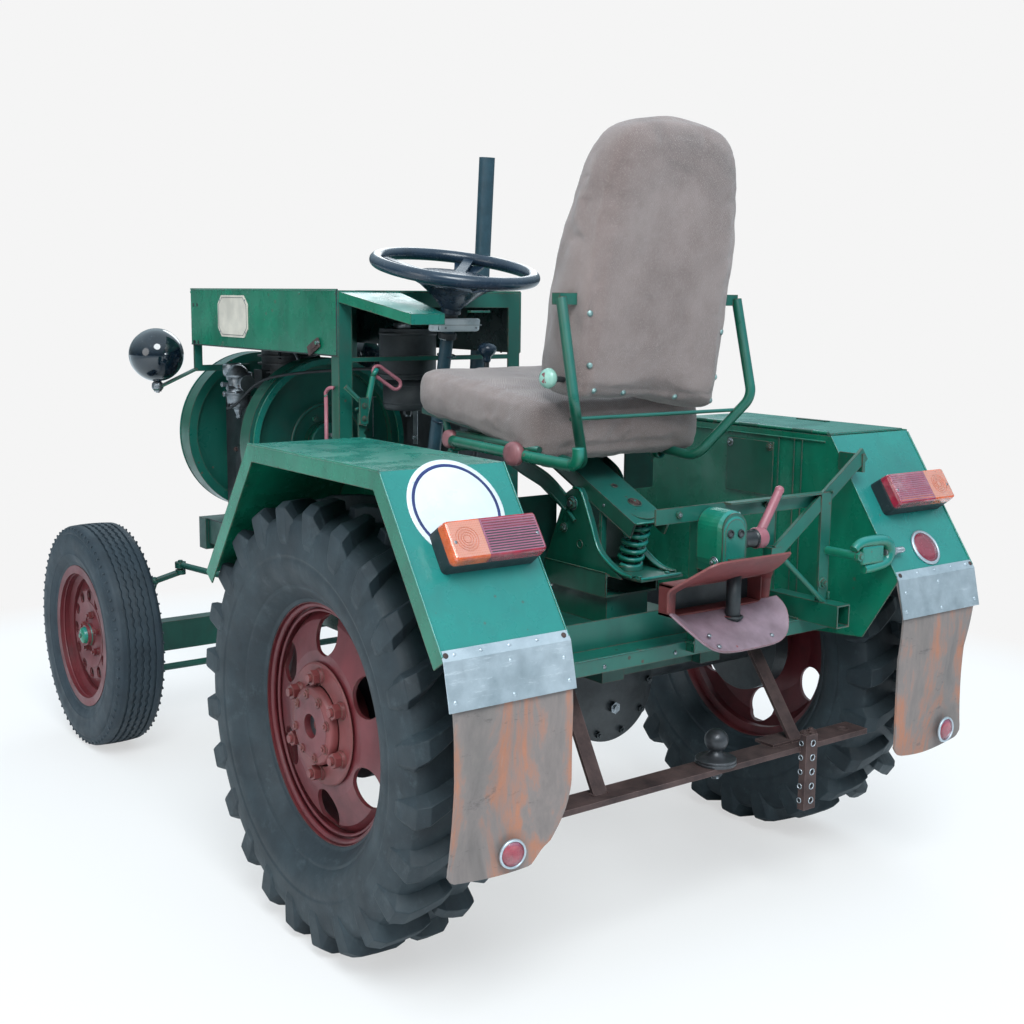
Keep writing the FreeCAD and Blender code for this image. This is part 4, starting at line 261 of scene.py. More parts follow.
def rubber(name, dark, light, dusty):
    """Tyre rubber: dark, scuffed, and dusty along its edges."""
    paint = Paint(name)
    base = paint.ramp(paint.noise(12, 5, 0.65), (0.32, dark), (0.7, light))
    scuff = paint.mask(paint.noise(42, 6, 0.75, stretch=(1, 0.5, 0.5)), 0.56, 0.72)
    base = paint.veil(base, scuff, 0.5, dusty)
    edge = paint.mask(paint.math("ADD", paint.math("MULTIPLY", paint.edges(0.006), 1.6),
                                 paint.noise(50, 4)), 0.75, 1.15)
    base = paint.veil(base, edge, 0.55, dusty)
    skin = paint.bump(paint.noise(240, 4, 0.7), 0.3, 0.0008)
    return paint.finish(base, paint.ramp(paint.noise(22, 3), (0.3, 0.72 - 0.16), (0.7, 0.72)),
                        paint.bump(paint.noise(28, 4, 0.6), 0.25, 0.003, skin))


# The pale cyan given to the three greens below is a painted sky reflection on their upward and
# rearward faces.
GREEN = sheet_paint("green_paint", (0.002, 0.082, 0.045), (0.005, 0.16, 0.092), gloss=0.17,
                    wear=0.55, dirt=0.2, faded=(0.02, 0.25, 0.26))
# The hood's paint darkens its inner and downward faces as painted shade.
HOOD_GREEN = sheet_paint("hood_paint", (0.002, 0.082, 0.045), (0.006, 0.17, 0.095), gloss=0.17,
                         wear=0.5, dirt=0.2, wobble=0.8, faded=(0.02, 0.25, 0.26), painted_inner_shade=True)
SHADE_GREEN = sheet_paint("shade_green_paint", (0.002, 0.045, 0.026), (0.004, 0.092, 0.055),
                          gloss=0.26, wear=0.75, dirt=0.45, faded=(0.02, 0.16, 0.15))
DARK_GREEN = sheet_paint("dark_green_paint", (0.002, 0.032, 0.026), (0.004, 0.07, 0.05), gloss=0.4,
                         wear=0.5, dirt=0.6, dust=(0.012, 0.014, 0.013))
RED = sheet_paint("wheel_red_paint", (0.07, 0.008, 0.011), (0.15, 0.022, 0.027), gloss=0.36,
                  wear=0.35, dirt=0.75, dust=(0.035, 0.016, 0.017), chip=(0.05, 0.02, 0.018))
BRIGHT_RED = sheet_paint("worn_red_paint", (0.085, 0.014, 0.014), (0.19, 0.04, 0.04), gloss=0.4,
                         wear=0.7, dirt=0.7, dust=(0.045, 0.02, 0.02))
TONGUE_PINK = sheet_paint("scoured_pink_paint", (0.09, 0.055, 0.065), (0.26, 0.18, 0.22), gloss=0.4,
                          wear=0.8, dirt=0.75, dust=(0.09, 0.075, 0.065), chip=(0.22, 0.035, 0.045))
IRON = iron("dark_iron", (0.006, 0.008, 0.01), (0.03, 0.036, 0.04), oil=0.7)
RUST = iron("rusty_steel", (0.03, 0.018, 0.018), (0.1, 0.06, 0.055), rough=0.75, metal=0.35,
            oil=0.2)
STEEL = iron("worn_steel", (0.12, 0.13, 0.14), (0.36, 0.39, 0.42), rough=0.4, metal=0.85, oil=0.3)
BALL_STEEL = iron("tow_ball_steel", (0.02, 0.02, 0.023), (0.075, 0.078, 0.085), rough=0.42,
                  metal=0.5)
PIPE = iron("pipe_paint", (0.008, 0.03, 0.045), (0.02, 0.06, 0.085), rough=0.5, oil=0.3)
REAR_RUBBER = rubber("tractor_tyre_rubber", (0.006, 0.012, 0.017), (0.017, 0.03, 0.038),
                     (0.055, 0.075, 0.085))
FRONT_RUBBER = rubber("front_tyre_rubber", (0.008, 0.016, 0.024), (0.018, 0.032, 0.044),
                      (0.05, 0.065, 0.075))


def fabric_material():
    """Coarse upholstery cloth: brown-beige twill with pale threads, stains and a worn sheen."""
    paint = Paint("seat_fabric")
    tone = paint.ramp(paint.noise(7, 5, 0.6), (0.32, (0.22, 0.155, 0.142)),
                      (0.68, (0.38, 0.29, 0.272)))
    stain = paint.mask(paint.noise(3.6, 4, 0.6, distort=0.6), 0.56, 0.74)
    tone = paint.veil(tone, stain, 0.7, (0.1, 0.078, 0.075))
    turned = paint.add("ShaderNodeMapping", Rotation=(0.5, 0.4, 0.7), Vector=paint.place).outputs[0]
    across = paint.wave(150, "X", 1.2, 1, turned)
    along = paint.wave(150, "Z", 1.2, 1, turned)
    weave = paint.math("MULTIPLY", across, along)
    speckle = paint.noise(420, 2, 0.5)
    threads = paint.mix(paint.mask(speckle, 0.5, 0.72), tone, (0.5, 0.42, 0.39))
    tone = paint.mix(paint.mask(weave, 0.15, 0.5), paint.mix(0.5, tone, (0.09, 0.065, 0.06)),
                     threads)
    height = paint.math("ADD", weave, paint.math("MULTIPLY", speckle, 0.7))
    soft = paint.bump(paint.noise(9, 3, 0.5), 0.35, 0.012)
    normal = paint.bump(height, 0.8, 0.0016, soft)
    return paint.finish(tone, 0.93, normal, Sheen_Weight=0.35, Sheen_Roughness=0.5)


FABRIC = fabric_material()


def aluminium_material():
    """Dull sheet aluminium with scratches and stains."""
    paint = Paint("sheet_aluminium")
    tone = paint.ramp(paint.noise(9, 6, 0.7), (0.3, (0.34, 0.4, 0.44)), (0.7, (0.55, 0.61, 0.66)))
    scratch = paint.mask(paint.noise(90, 6, 0.8, stretch=(0.15, 1, 1)), 0.58, 0.66)
    rough = paint.ramp(paint.noise(30, 4), (0.3, 0.36), (0.7, 0.55))
    normal = paint.bump(scratch, 0.2, 0.0006, paint.bump(paint.noise(14, 3), 0.3, 0.004))
    return paint.finish(paint.veil(tone, scratch, 0.5, (0.7, 0.74, 0.78)), rough, normal,
                        Metallic=0.75)


ALUMINIUM = aluminium_material()


def flap_material():
    """Conveyor-belt rubber, its skin washed out by weather and streaked grey, brown and orange."""
    paint = Paint("flap_rubber")
    streaks = paint.noise(11, 6, 0.68, stretch=(1, 1, 0.28), distort=0.5)
    tone = paint.ramp(streaks, (0.3, (0.12, 0.105, 0.1)), (0.5, (0.2, 0.165, 0.155)),
                      (0.62, (0.36, 0.15, 0.09)), (0.74, (0.25, 0.225, 0.22)))
    smudge = paint.mask(paint.noise(5, 5, 0.7), 0.5, 0.75)
    tone = paint.veil(tone, smudge, 0.6, (0.15, 0.135, 0.125))
    scar = paint.mask(paint.noise(34, 6, 0.8, stretch=(0.3, 1, 1)), 0.6, 0.68)
    tone = paint.veil(tone, scar, 0.6, (0.06, 0.055, 0.055))
    normal = paint.bump(scar, 0.3, -0.001, paint.bump(paint.noise(60, 5, 0.7), 0.4, 0.0015))
    return paint.finish(tone, 0.8, normal)


FLAP = flap_material()


def plastic(name, colour, rough=0.4, mottle=0.25, coat=0.0):
    """Moulded plastic or enamel with faint mottling and scuffs."""
    paint = Paint(name)
    shade = tuple(c * (1 - mottle) for c in colour)
    tone = paint.mix(paint.mask(paint.noise(18, 4), 0.35, 0.65), colour, shade)
    scuffs = paint.mask(paint.noise(110, 5, 0.75), 0.6, 0.7)
    tone = paint.veil(tone, scuffs, 0.15, (0.4, 0.42, 0.44))
    roughness = paint.ramp(paint.noise(25, 3), (0.3, max(rough - 0.1, 0.03)), (0.7, rough + 0.08))
    return paint.finish(tone, roughness, paint.bump(paint.noise(160, 3), 0.08, 0.0006),
                        Coat_Weight=coat)


def lens(name, colour, deep, sky_reflection_tone):
    """A ribbed lamp lens: coloured plastic, with a painted sky reflection on its skyward face."""
    paint = Paint(name)
    ribs = paint.math("MULTIPLY", paint.wave(90, "X"), paint.wave(90, "Z"))
    tone = paint.mix(paint.mask(paint.noise(30, 4), 0.35, 0.7), colour, deep)
    # Painted reflection: the face turned up and back takes a pale tone standing in for the sky's
    # reflection.
    lean = paint.math("ADD", paint.math("MULTIPLY", paint.facing("Y"), 0.82),
                      paint.math("MULTIPLY", paint.facing("Z"), 0.57))
    tone = paint.mix(paint.mask(lean, 0.9, 0.98), tone, sky_reflection_tone)
    tone = paint.veil(tone, ribs, 0.3, deep)
    dusty = paint.mask(paint.noise(16, 5, 0.7), 0.5, 0.8)
    tone = paint.veil(tone, dusty, 0.35, (0.6, 0.42, 0.42))
    return paint.finish(tone, 0.16, paint.bump(ribs, 0.35, 0.0012), Coat_Weight=0.7,
                        Transmission_Weight=0.1, Subsurface_Weight=0.1)


BLACK_PLASTIC = plastic("steering_wheel_plastic", (0.014, 0.03, 0.052), 0.26)
LAMP_BLACK = plastic("lamp_black_enamel", (0.004, 0.01, 0.018), 0.12, coat=0.6)
LAMP_HOUSING = plastic("lamp_housing_plastic", (0.012, 0.02, 0.025), 0.5)
# The third colour of each lens is its painted sky reflection.
RED_LENS = lens("red_lens", (0.38, 0.02, 0.05), (0.16, 0.005, 0.02), (0.3, 0.09, 0.15))
ORANGE_LENS = lens("orange_lens", (0.75, 0.13, 0.03), (0.4, 0.05, 0.01), (0.6, 0.24, 0.17))
KNOB_RED = plastic("faded_red_knob", (0.28, 0.11, 0.12), 0.45, 0.4)
KNOB_GREEN = plastic("pale_green_knob", (0.34, 0.6, 0.5), 0.3, 0.3)
WHITE_PAINT = plastic("white_disc_paint", (0.62, 0.67, 0.7), 0.35, 0.1)
RING_BLUE = plastic("blue_ring_paint", (0.016, 0.03, 0.14), 0.35, 0.3)
PLATE_CREAM = plastic("cream_plate_enamel", (0.62, 0.56, 0.48), 0.4, 0.25)
SWITCH_GREY = plastic("switch_housing_plastic", (0.5, 0.54, 0.56), 0.45, 0.3)
BLACK_RUBBER = plastic("black_rubber", (0.01, 0.013, 0.016), 0.7, 0.4)
SEAT_SNAP = iron("snap_metal", (0.12, 0.2, 0.2), (0.35, 0.5, 0.48), rough=0.4, metal=0.6)
PINK_PAINT = sheet_paint("pink_lever_paint", (0.2, 0.03, 0.045), (0.34, 0.13, 0.16), gloss=0.35,
                         wear=0.7, dirt=0.5, dust=(0.09, 0.06, 0.08))
GLASS = plastic("headlamp_glass", (0.5, 0.55, 0.58), 0.08, 0.1, coat=0.5)


# ------------------------------------------------------------------------------ mesh making

def facing(direction):
    """A rotation whose Z axis points along direction."""
    z = Vector(direction).normalized()
    x = UP.cross(z)
    if x.length < 1e-6:
        x = Vector((1, 0, 0))
    x.normalize()
    y = z.cross(x)
    return Matrix((x, y, z)).transposed().to_4x4()


def stitch(mesh, rows, closed=True, ends=False, flip=False):
    """Faces between rows of vertices, where a row of one is a pole, and over the end rows."""
    for first, second in zip(rows, rows[1:]):
        width = max(len(first), len(second))
        for k in range(width if closed else width - 1):
            corners = [first[k % len(first)], first[(k + 1) % len(first)],
                       second[(k + 1) % len(second)], second[k % len(second)]]
            unique = [v for i, v in enumerate(corners) if v not in corners[:i]]
            if len(unique) > 2:
                mesh.faces.new(unique[::-1] if flip else unique)
    if ends:
        mesh.faces.new(rows[0][::-1])
        mesh.faces.new(rows[-1])


def stand(mesh, name, materials=()):
    """Turns a bmesh into an object of the scene."""
    data = bpy.data.meshes.new(name)
    mesh.to_mesh(data)
    mesh.free()
    for material in materials:
        data.materials.append(material)
    piece = bpy.data.objects.new(name, data)
    bpy.context.collection.objects.link(piece)
    return piece


class Build:
    """Gathers solids into one mesh, in metres in the row's frame."""

    def __init__(self, name):
        self.name = name
        self.mesh = bmesh.new()
        self.materials = []

    def tag(self, before, material, smooth):
        """Gives the faces made since before their material and shading."""
        if material not in self.materials:
            self.materials.append(material)
        index = self.materials.index(material)
        self.mesh.faces.ensure_lookup_table()
        for face in self.mesh.faces[before:]:
            face.material_index = index
            face.smooth = smooth

    def box(self, corner, opposite, material, turn=None, bevel=0.0):
        """A box between two corners, turned about its middle."""
        before = len(self.mesh.faces)
        low, high = [Vector([pick(pair) for pair in zip(corner, opposite)]) for pick in (min, max)]
        size = high - low
        place = Matrix.Translation((low + high) / 2)
        if turn is not None:
            place = place @ turn
        single = bmesh.new()
        bmesh.ops.create_cube(single, size=1, matrix=place @ Matrix.Diagonal((*size, 1)))
        if bevel:
            bmesh.ops.bevel(single, geom=single.edges[:], offset=bevel, segments=2,
                            affect="EDGES", profile=0.5)
        data = bpy.data.meshes.new("box")
        single.to_mesh(data)
        single.free()
        self.mesh.from_mesh(data)
        bpy.data.meshes.remove(data)
        self.tag(before, material, False)

    def block(self, centre, size, material, turn=None, bevel=0.0):
        """A box of a size about its centre."""
        half = Vector(size) / 2
        self.box(Vector(centre) - half, Vector(centre) + half, material, turn, bevel)

    def rod(self, start, end, radius, material, radius_end=None, sides=24, smooth=True):
        """A round bar or a cone, or a prism with few sides."""
        before = len(self.mesh.faces)
        start, end = Vector(start), Vector(end)
        run = end - start
        place = Matrix.Translation((start + end) / 2) @ facing(run)
        bmesh.ops.create_cone(self.mesh, cap_ends=True, segments=sides, radius1=radius,
                              radius2=radius if radius_end is None else radius_end,
                              depth=run.length, matrix=place)
        self.tag(before, material, smooth and sides > 8)

    def ball(self, centre, radius, material, scale=(1, 1, 1), turn=None, rings=16):
        """A ball, or an ellipsoid by scale and turn."""
        before = len(self.mesh.faces)
        place = Matrix.Translation(Vector(centre)) @ (turn or Matrix())
        place = place @ Matrix.Diagonal((*scale, 1))
        bmesh.ops.create_uvsphere(self.mesh, u_segments=2 * rings, v_segments=rings, radius=radius,
                                  matrix=place)
        self.tag(before, material, True)

    def nut(self, centre, direction, radius, height, material, shank=0.5, washer=0.0):
        """A hexagonal nut with a round shank end standing out of it."""
        centre, out = Vector(centre), Vector(direction).normalized()
        if washer:
            self.rod(centre, centre + out * washer * 0.2, washer, material)
        self.rod(centre, centre + out * height, radius, material, sides=6, smooth=False)
        self.rod(centre + out * height * 0.9, centre + out * height * 1.45, radius * shank,
                 material, sides=12)

    def dome(self, centre, direction, radius, height, material):
        """A rivet or round-headed screw."""
        self.ball(centre, radius, material, scale=(1, 1, height / radius), turn=facing(direction),
                  rings=8)

    def lathe(self, profile, centre, axis, material, sides=64, closed=False):
        """Turns (radius, along) pairs round an axis through centre."""
        before = len(self.mesh.faces)
        place = Matrix.Translation(Vector(centre)) @ facing(axis)
        rows = []
        for radius, along in profile:
            if radius < 1e-7:
                rows.append([self.mesh.verts.new(place @ Vector((0, 0, along)))])
                continue
            rows.append([self.mesh.verts.new(place @ Vector((radius * cos(TAU * k / sides),
                                                             radius * sin(TAU * k / sides),
                                                             along))) for k in range(sides)])
        stitch(self.mesh, rows + rows[:1] if closed else rows)
        self.tag(before, material, True)

    def torus(self, centre, axis, radius, thick, material, sides=64, rings=16):
        """A round ring about axis."""
        profile = [(radius + thick * cos(TAU * k / rings),
                    thick * sin(TAU * k / rings)) for k in range(rings)]
        self.lathe(profile, centre, axis, material, sides, closed=True)

    def tube(self, points, radius, material, sides=16, closed=False):
        """A round tube along points, with parallel frames."""
        before = len(self.mesh.faces)
        points = [Vector(p) for p in points]
        count = len(points)
        rows = []
        normal = None
        for index, point in enumerate(points):
            if closed:
                along = points[(index + 1) % count] - points[index - 1]
            else:
                along = points[min(index + 1, count - 1)] - points[max(index - 1, 0)]
            along.normalize()
            if normal is None:
                normal = along.orthogonal().normalized()
            normal = (normal - along * normal.dot(along)).normalized()
            side = along.cross(normal)
            thick = radius[index] if isinstance(radius, (list, tuple)) else radius
            rows.append([self.mesh.verts.new(point + thick * (normal * cos(TAU * k / sides)
                                                              + side * sin(TAU * k / sides)))
                         for k in range(sides)])
        stitch(self.mesh, rows + rows[:1] if closed else rows, ends=not closed)
        self.tag(before, material, True)

    def plate(self, outline, thickness, place, material):
        """A flat sheet: an outline in X and Y, thick along Z, moved by place."""
        before = len(self.mesh.faces)
        low = [self.mesh.verts.new(place @ Vector((x, y, 0))) for x, y in outline]
        high = [self.mesh.verts.new(place @ Vector((x, y, thickness))) for x, y in outline]
        self.mesh.faces.new(low[::-1])
        self.mesh.faces.new(high)
        stitch(self.mesh, [low, high])
        self.tag(before, material, False)

    def grid(self, points, material, closed=False, smooth=True, flip=False):
        """A sheet of faces over rows of points."""
        before = len(self.mesh.faces)
        rows = [[self.mesh.verts.new(Vector(p)) for p in row] for row in points]
        stitch(self.mesh, rows, closed, flip=flip)
        self.tag(before, material, smooth)

    def done(self, body, replace=(), bevel=0.0, weld=False):
        """Hands the finished mesh over as a piece that rides body."""
        if weld:
            bmesh.ops.remove_doubles(self.mesh, verts=self.mesh.verts, dist=1e-6)
        bmesh.ops.recalc_face_normals(self.mesh, faces=self.mesh.faces)
        piece = stand(self.mesh, self.name, self.materials)
        if bevel:
            soften(piece, bevel)
        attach(piece, body)
        if replace:
            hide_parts(*replace)
        return piece


def soften(piece, width, angle=35):
    """Rounds a piece's sharp edges."""
    modifier = piece.modifiers.new("soft_edges", "BEVEL")
    modifier.width = width
    modifier.segments = 2
    modifier.limit_method = "ANGLE"
    modifier.angle_limit = radians(angle)
    modifier.harden_normals = True


def dress(node, material, bevel=0.0):
    """Gives a CAD node its real finish and rounds its edges."""
    piece = NODES[node]
    if not piece.material_slots:
        piece.data.materials.append(material)
    for slot in piece.material_slots:
        slot.material = material
    if bevel:
        soften(piece, bevel)


def smooth_curve(points, steps=8):
    """A Catmull-Rom line through points."""
    points = [Vector(p) for p in points]
    line = []
    for index in range(len(points) - 1):
        before = points[max(index - 1, 0)]
        first, second = points[index], points[index + 1]
        after = points[min(index + 2, len(points) - 1)]
        for step in range(steps):
            t = step / steps
            line.append(0.5 * ((2 * first) + (second - before) * t
                               + (2 * before - 5 * first + 4 * second - after) * t * t
                               + (3 * first - before - 3 * second + after) * t ** 3))
    line.append(points[-1])
    return line


# ------------------------------------------------------------------------------ studio

ROOM_TONE = (0.913, 0.913, 0.913, 1)


def light_the_studio():
    """A pale room, lit from above like an open sky."""
    world = bpy.data.worlds.new("room")
    bpy.context.scene.world = world
    nodes = Nodes(world)
    output = nodes.add("ShaderNodeOutputWorld")
    seen = nodes.add("ShaderNodeBackground", Color=ROOM_TONE)
    place = nodes.add("ShaderNodeTexCoord").outputs["Generated"]
    height = nodes.add("ShaderNodeSeparateXYZ", Vector=place).outputs["Z"]
    open_sky = nodes.ramp(nodes.math("MULTIPLY_ADD", height, 0.5, 0.5),
                          (0.0, (0.2, 0.215, 0.225)), (0.52, (0.1, 0.13, 0.14)),
                          (0.66, (0.42, 0.55, 0.62)), (0.85, (0.92, 1.12, 1.25)))
    sky = nodes.add("ShaderNodeBackground", Color=open_sky, Strength=1.0)
    in_view = nodes.add("ShaderNodeLightPath").outputs["Is Camera Ray"]
    nodes.join(nodes.blend(in_view, sky.outputs[0], seen.outputs[0]), output.inputs[0])

    for name, place, aim, size, watts, colour in (
            ("key", (2.2, 4.6, 5.6), (0, 0.6, 0.8), 3.4, 390, (0.93, 0.98, 1.0)),
            ("fill", (5.5, 1.0, 2.4), (0, 0.0, 0.7), 3.0, 62, (1.0, 0.98, 0.96)),
            ("front", (-3.5, -4.5, 3.6), (0, -0.4, 0.8), 3.0, 75, (0.95, 0.98, 1.0))):
        lamp = bpy.data.objects.new(name, bpy.data.lights.new(name, "AREA"))
        lamp.data.shape = "DISK"
        lamp.data.size = size
        lamp.data.energy = watts
        lamp.data.color = colour
        lamp.location = place
        lamp.rotation_euler = (Vector(place) - Vector(aim)).to_track_quat("Z", "Y").to_euler()
        bpy.context.collection.objects.link(lamp)


def lay_the_floor():
    """The floor keeps a soft shadow near the tractor and fades into the room's own tone."""
    paint = Paint("pale_floor")
    paint.finish((0.86, 0.86, 0.86), 0.9, Specular_IOR_Level=0.0)
    away = paint.add("ShaderNodeVectorMath")
    away.operation = "LENGTH"
    paint.join(paint.place, away.inputs[0])
    fade = paint.mask(away.outputs["Value"], 1.4, 2.8)
    glow = paint.add("ShaderNodeEmission", Color=ROOM_TONE)
    in_view = paint.add("ShaderNodeLightPath").outputs["Is Camera Ray"]
    share = paint.math("MULTIPLY", paint.math("MAXIMUM", fade, 0.62), in_view)
    paint.join(paint.blend(share, paint.shader.outputs[0], glow.outputs[0]), paint.output.inputs[0])
    mesh = bmesh.new()
    bmesh.ops.create_circle(mesh, cap_ends=True, segments=96, radius=30)
    floor = stand(mesh, "floor", [paint.material])
    floor.location = (0, 0, CAD_BOX[0][2] - 0.0005)


def stand_the_camera():
    """The photograph's own place: behind the left rear wheel, a little above the fender."""
    data = bpy.data.cameras.new("camera")
    camera = bpy.data.objects.new("camera", data)
    yaw, pitch, roll = radians(36.6), radians(8.7), radians(-0.6)
    ahead = Vector((-sin(yaw) * cos(pitch), -cos(yaw) * cos(pitch),
                    -sin(pitch)))
    right = ahead.cross(UP).normalized()
    down = -right.cross(ahead)
    across = cos(roll) * right + sin(roll) * down
    drop = -sin(roll) * right + cos(roll) * down
    camera.matrix_world = (Matrix.Translation(P(1950.3, 2383.4, 1332.1))
                           @ Matrix((across, -drop, -ahead)).transposed().to_4x4())
    data.lens = 47.9
    data.shift_x = -0.0016
    data.shift_y = -0.0072
    data.clip_start = 0.05
    bpy.context.collection.objects.link(camera)
    bpy.context.scene.camera = camera
    bpy.context.scene.view_settings.view_transform = "Standard"


light_the_studio()
lay_the_floor()
stand_the_camera()


# ------------------------------------------------------------------------------ CAD nodes

for NODE, FINISH, ROUNDING in (
        ("hood", HOOD_GREEN, 0.0015), ("hood_frame", SHADE_GREEN, 0.0012),
        ("dash_shelf", GREEN, 0.0012),
        ("fender_left", GREEN, 0.0012), ("fender_right", GREEN, 0.0012), ("box_lid", GREEN, 0.0015),
        ("footboards", SHADE_GREEN, 0.0012), ("rear_cross_channel", SHADE_GREEN, 0.002),
        ("seat_pan", DARK_GREEN, 0.003), ("seat_arms", SHADE_GREEN, 0.0),
        ("seat_base", SHADE_GREEN, 0.0015), ("seat_swing_arm", SHADE_GREEN, 0.003),
        ("carrier_frame", SHADE_GREEN, 0.0015), ("trailer_coupling", SHADE_GREEN, 0.002),
        ("frame_rails", DARK_GREEN, 0.002), ("front_axle_beam", DARK_GREEN, 0.003),
        ("knuckle_left", DARK_GREEN, 0.002), ("knuckle_right", DARK_GREEN, 0.002),
        ("track_rod", DARK_GREEN, 0.0), ("drag_link", DARK_GREEN, 0.0),
        ("pitman_arm", DARK_GREEN, 0.001), ("flywheels", SHADE_GREEN, 0.002),
        ("engine_block", IRON, 0.006), ("engine_cylinder", IRON, 0.0), ("gearbox", IRON, 0.008),
        ("rear_axle", IRON, 0.003), ("carburettor", IRON, 0.001), ("fuel_tank", IRON, 0.004),
        ("battery_box", IRON, 0.003),
        ("exhaust_pipe", PIPE, 0.0), ("steering_column", PIPE, 0.001),
        ("hand_levers", SHADE_GREEN, 0.0), ("steering_wheel", BLACK_PLASTIC, 0.0),
        ("headlamps", LAMP_BLACK, 0.0), ("seat_spring", SHADE_GREEN, 0.0),
        ("flap_plates", ALUMINIUM, 0.0006), ("mudflaps", FLAP, 0.001),
        ("rear_rim_left", RED, 0.0015), ("rear_rim_right", RED, 0.0015),
        ("front_rim_left", RED, 0.0015), ("front_rim_right", RED, 0.0015),
        ("rear_tyre_left", REAR_RUBBER, 0.0), ("rear_tyre_right", REAR_RUBBER, 0.0),
        ("front_tyre_left", FRONT_RUBBER, 0.0), ("front_tyre_right", FRONT_RUBBER, 0.0),
        ("coupling_jaw", BRIGHT_RED, 0.0), ("tow_bar", RUST, 0.0015), ("tow_ball", STEEL, 0.0),
        ("screw_clamp", SHADE_GREEN, 0.002), ("tail_lamps", LAMP_HOUSING, 0.003),
        ("seat_cushion", FABRIC, 0.0), ("seat_backrest", FABRIC, 0.0)):
    dress(NODE, FINISH, ROUNDING)


# ------------------------------------------------------------------------------ tyres

def around(centre, radius, count, start=0.0):
    """Points evenly round the X axis through centre; the first is a start of a step in."""
    for number in range(count):
        angle = TAU * (number + start) / count
        yield centre + Vector((0, cos(angle), sin(angle))) * radius


def rear_tyre(name, body, side):
    """A tractor drive tyre: a bulged carcass with two rows of angled, staggered lugs."""
    node = "rear_tyre_" + name
    centre = middle(node)
    low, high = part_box(node)
    reach = (high[2] - low[2]) / 2
    tread, lug_middle, count = 0.4325, 0.45, 24
    piece = Build("drive_tyre_" + name)
    half = [(0.435, 0.0), (0.4345, 0.05), (0.431, 0.074), (0.423, 0.088), (0.409, 0.0965),
            (0.392, 0.0995), (0.36, 0.1022), (0.352, 0.1022), (0.349, 0.1006), (0.344, 0.1004),
            (0.341, 0.1012), (0.325, 0.099), (0.306, 0.092), (0.292, 0.083), (0.289, 0.0795),
            (0.284, 0.0788), (0.281, 0.0768), (0.272, 0.068), (0.263, 0.057), (0.258, 0.05)]
    profile = [(radius, -along) for radius, along in reversed(half)] + half[1:]
    profile += [(0.25, 0.047), (0.25, -0.047)]
    piece.lathe(profile, centre, LEFT * side, REAR_RUBBER, sides=144, closed=True)
    #        across  radius  lean  height  half top  half foot  turn
    path = ((-0.006, 0.432, 0.0, 0.026, 0.011, 0.017, 0.000),
            (0.014, tread, 0.0, reach - tread, 0.013, 0.024, 0.022),
            (0.045, tread, 0.06, reach - 0.4330, 0.015, 0.030, 0.062),
            (0.072, 0.428, 0.22, 0.0355, 0.018, 0.036, 0.094),
            (0.0885, 0.419, 0.42, 0.031, 0.021, 0.0395, 0.112),
            (0.0962, 0.404, 1.30, 0.0068, 0.021, 0.038, 0.119),
            (0.0985, 0.385, 1.50, 0.0047, 0.0185, 0.030, 0.125),
            (0.0985, 0.368, 1.57, 0.0015, 0.015, 0.022, 0.131))
    before = len(piece.mesh.faces)
    for row, offset in ((1, 0), (-1, 0.5)):
        for number in range(count):
            start = TAU * (number + offset) / count
            wobble = 0.0012 * sin(number * 2.3 + row)
            rings = []
            for across, radius, lean, tall, half_top, half_foot, turned in path:
                ring = []
                for part, width in ((0, -half_foot), (1, -half_top), (1, half_top), (0, half_foot)):
                    rise = tall * part - 0.004 * (1 - part)
                    out = across + rise * sin(lean)
                    distance = radius + rise * cos(lean) + wobble * part * (lean < 0.3) - (
                        0.0015 if lean < 0.3 and part else 0)
                    angle = start - turned + width / lug_middle
                    ring.append(piece.mesh.verts.new(
                        centre + Vector((side * row * out, distance * cos(angle),
                                         distance * sin(angle)))))
                rings.append(ring)
            stitch(piece.mesh, rings, ends=True)
    piece.tag(before, REAR_RUBBER, False)
    tyre = piece.done(body, replace=(node,), bevel=0.0022)
    tyre.modifiers["soft_edges"].angle_limit = radians(28)
    tyre.modifiers["soft_edges"].segments = 1


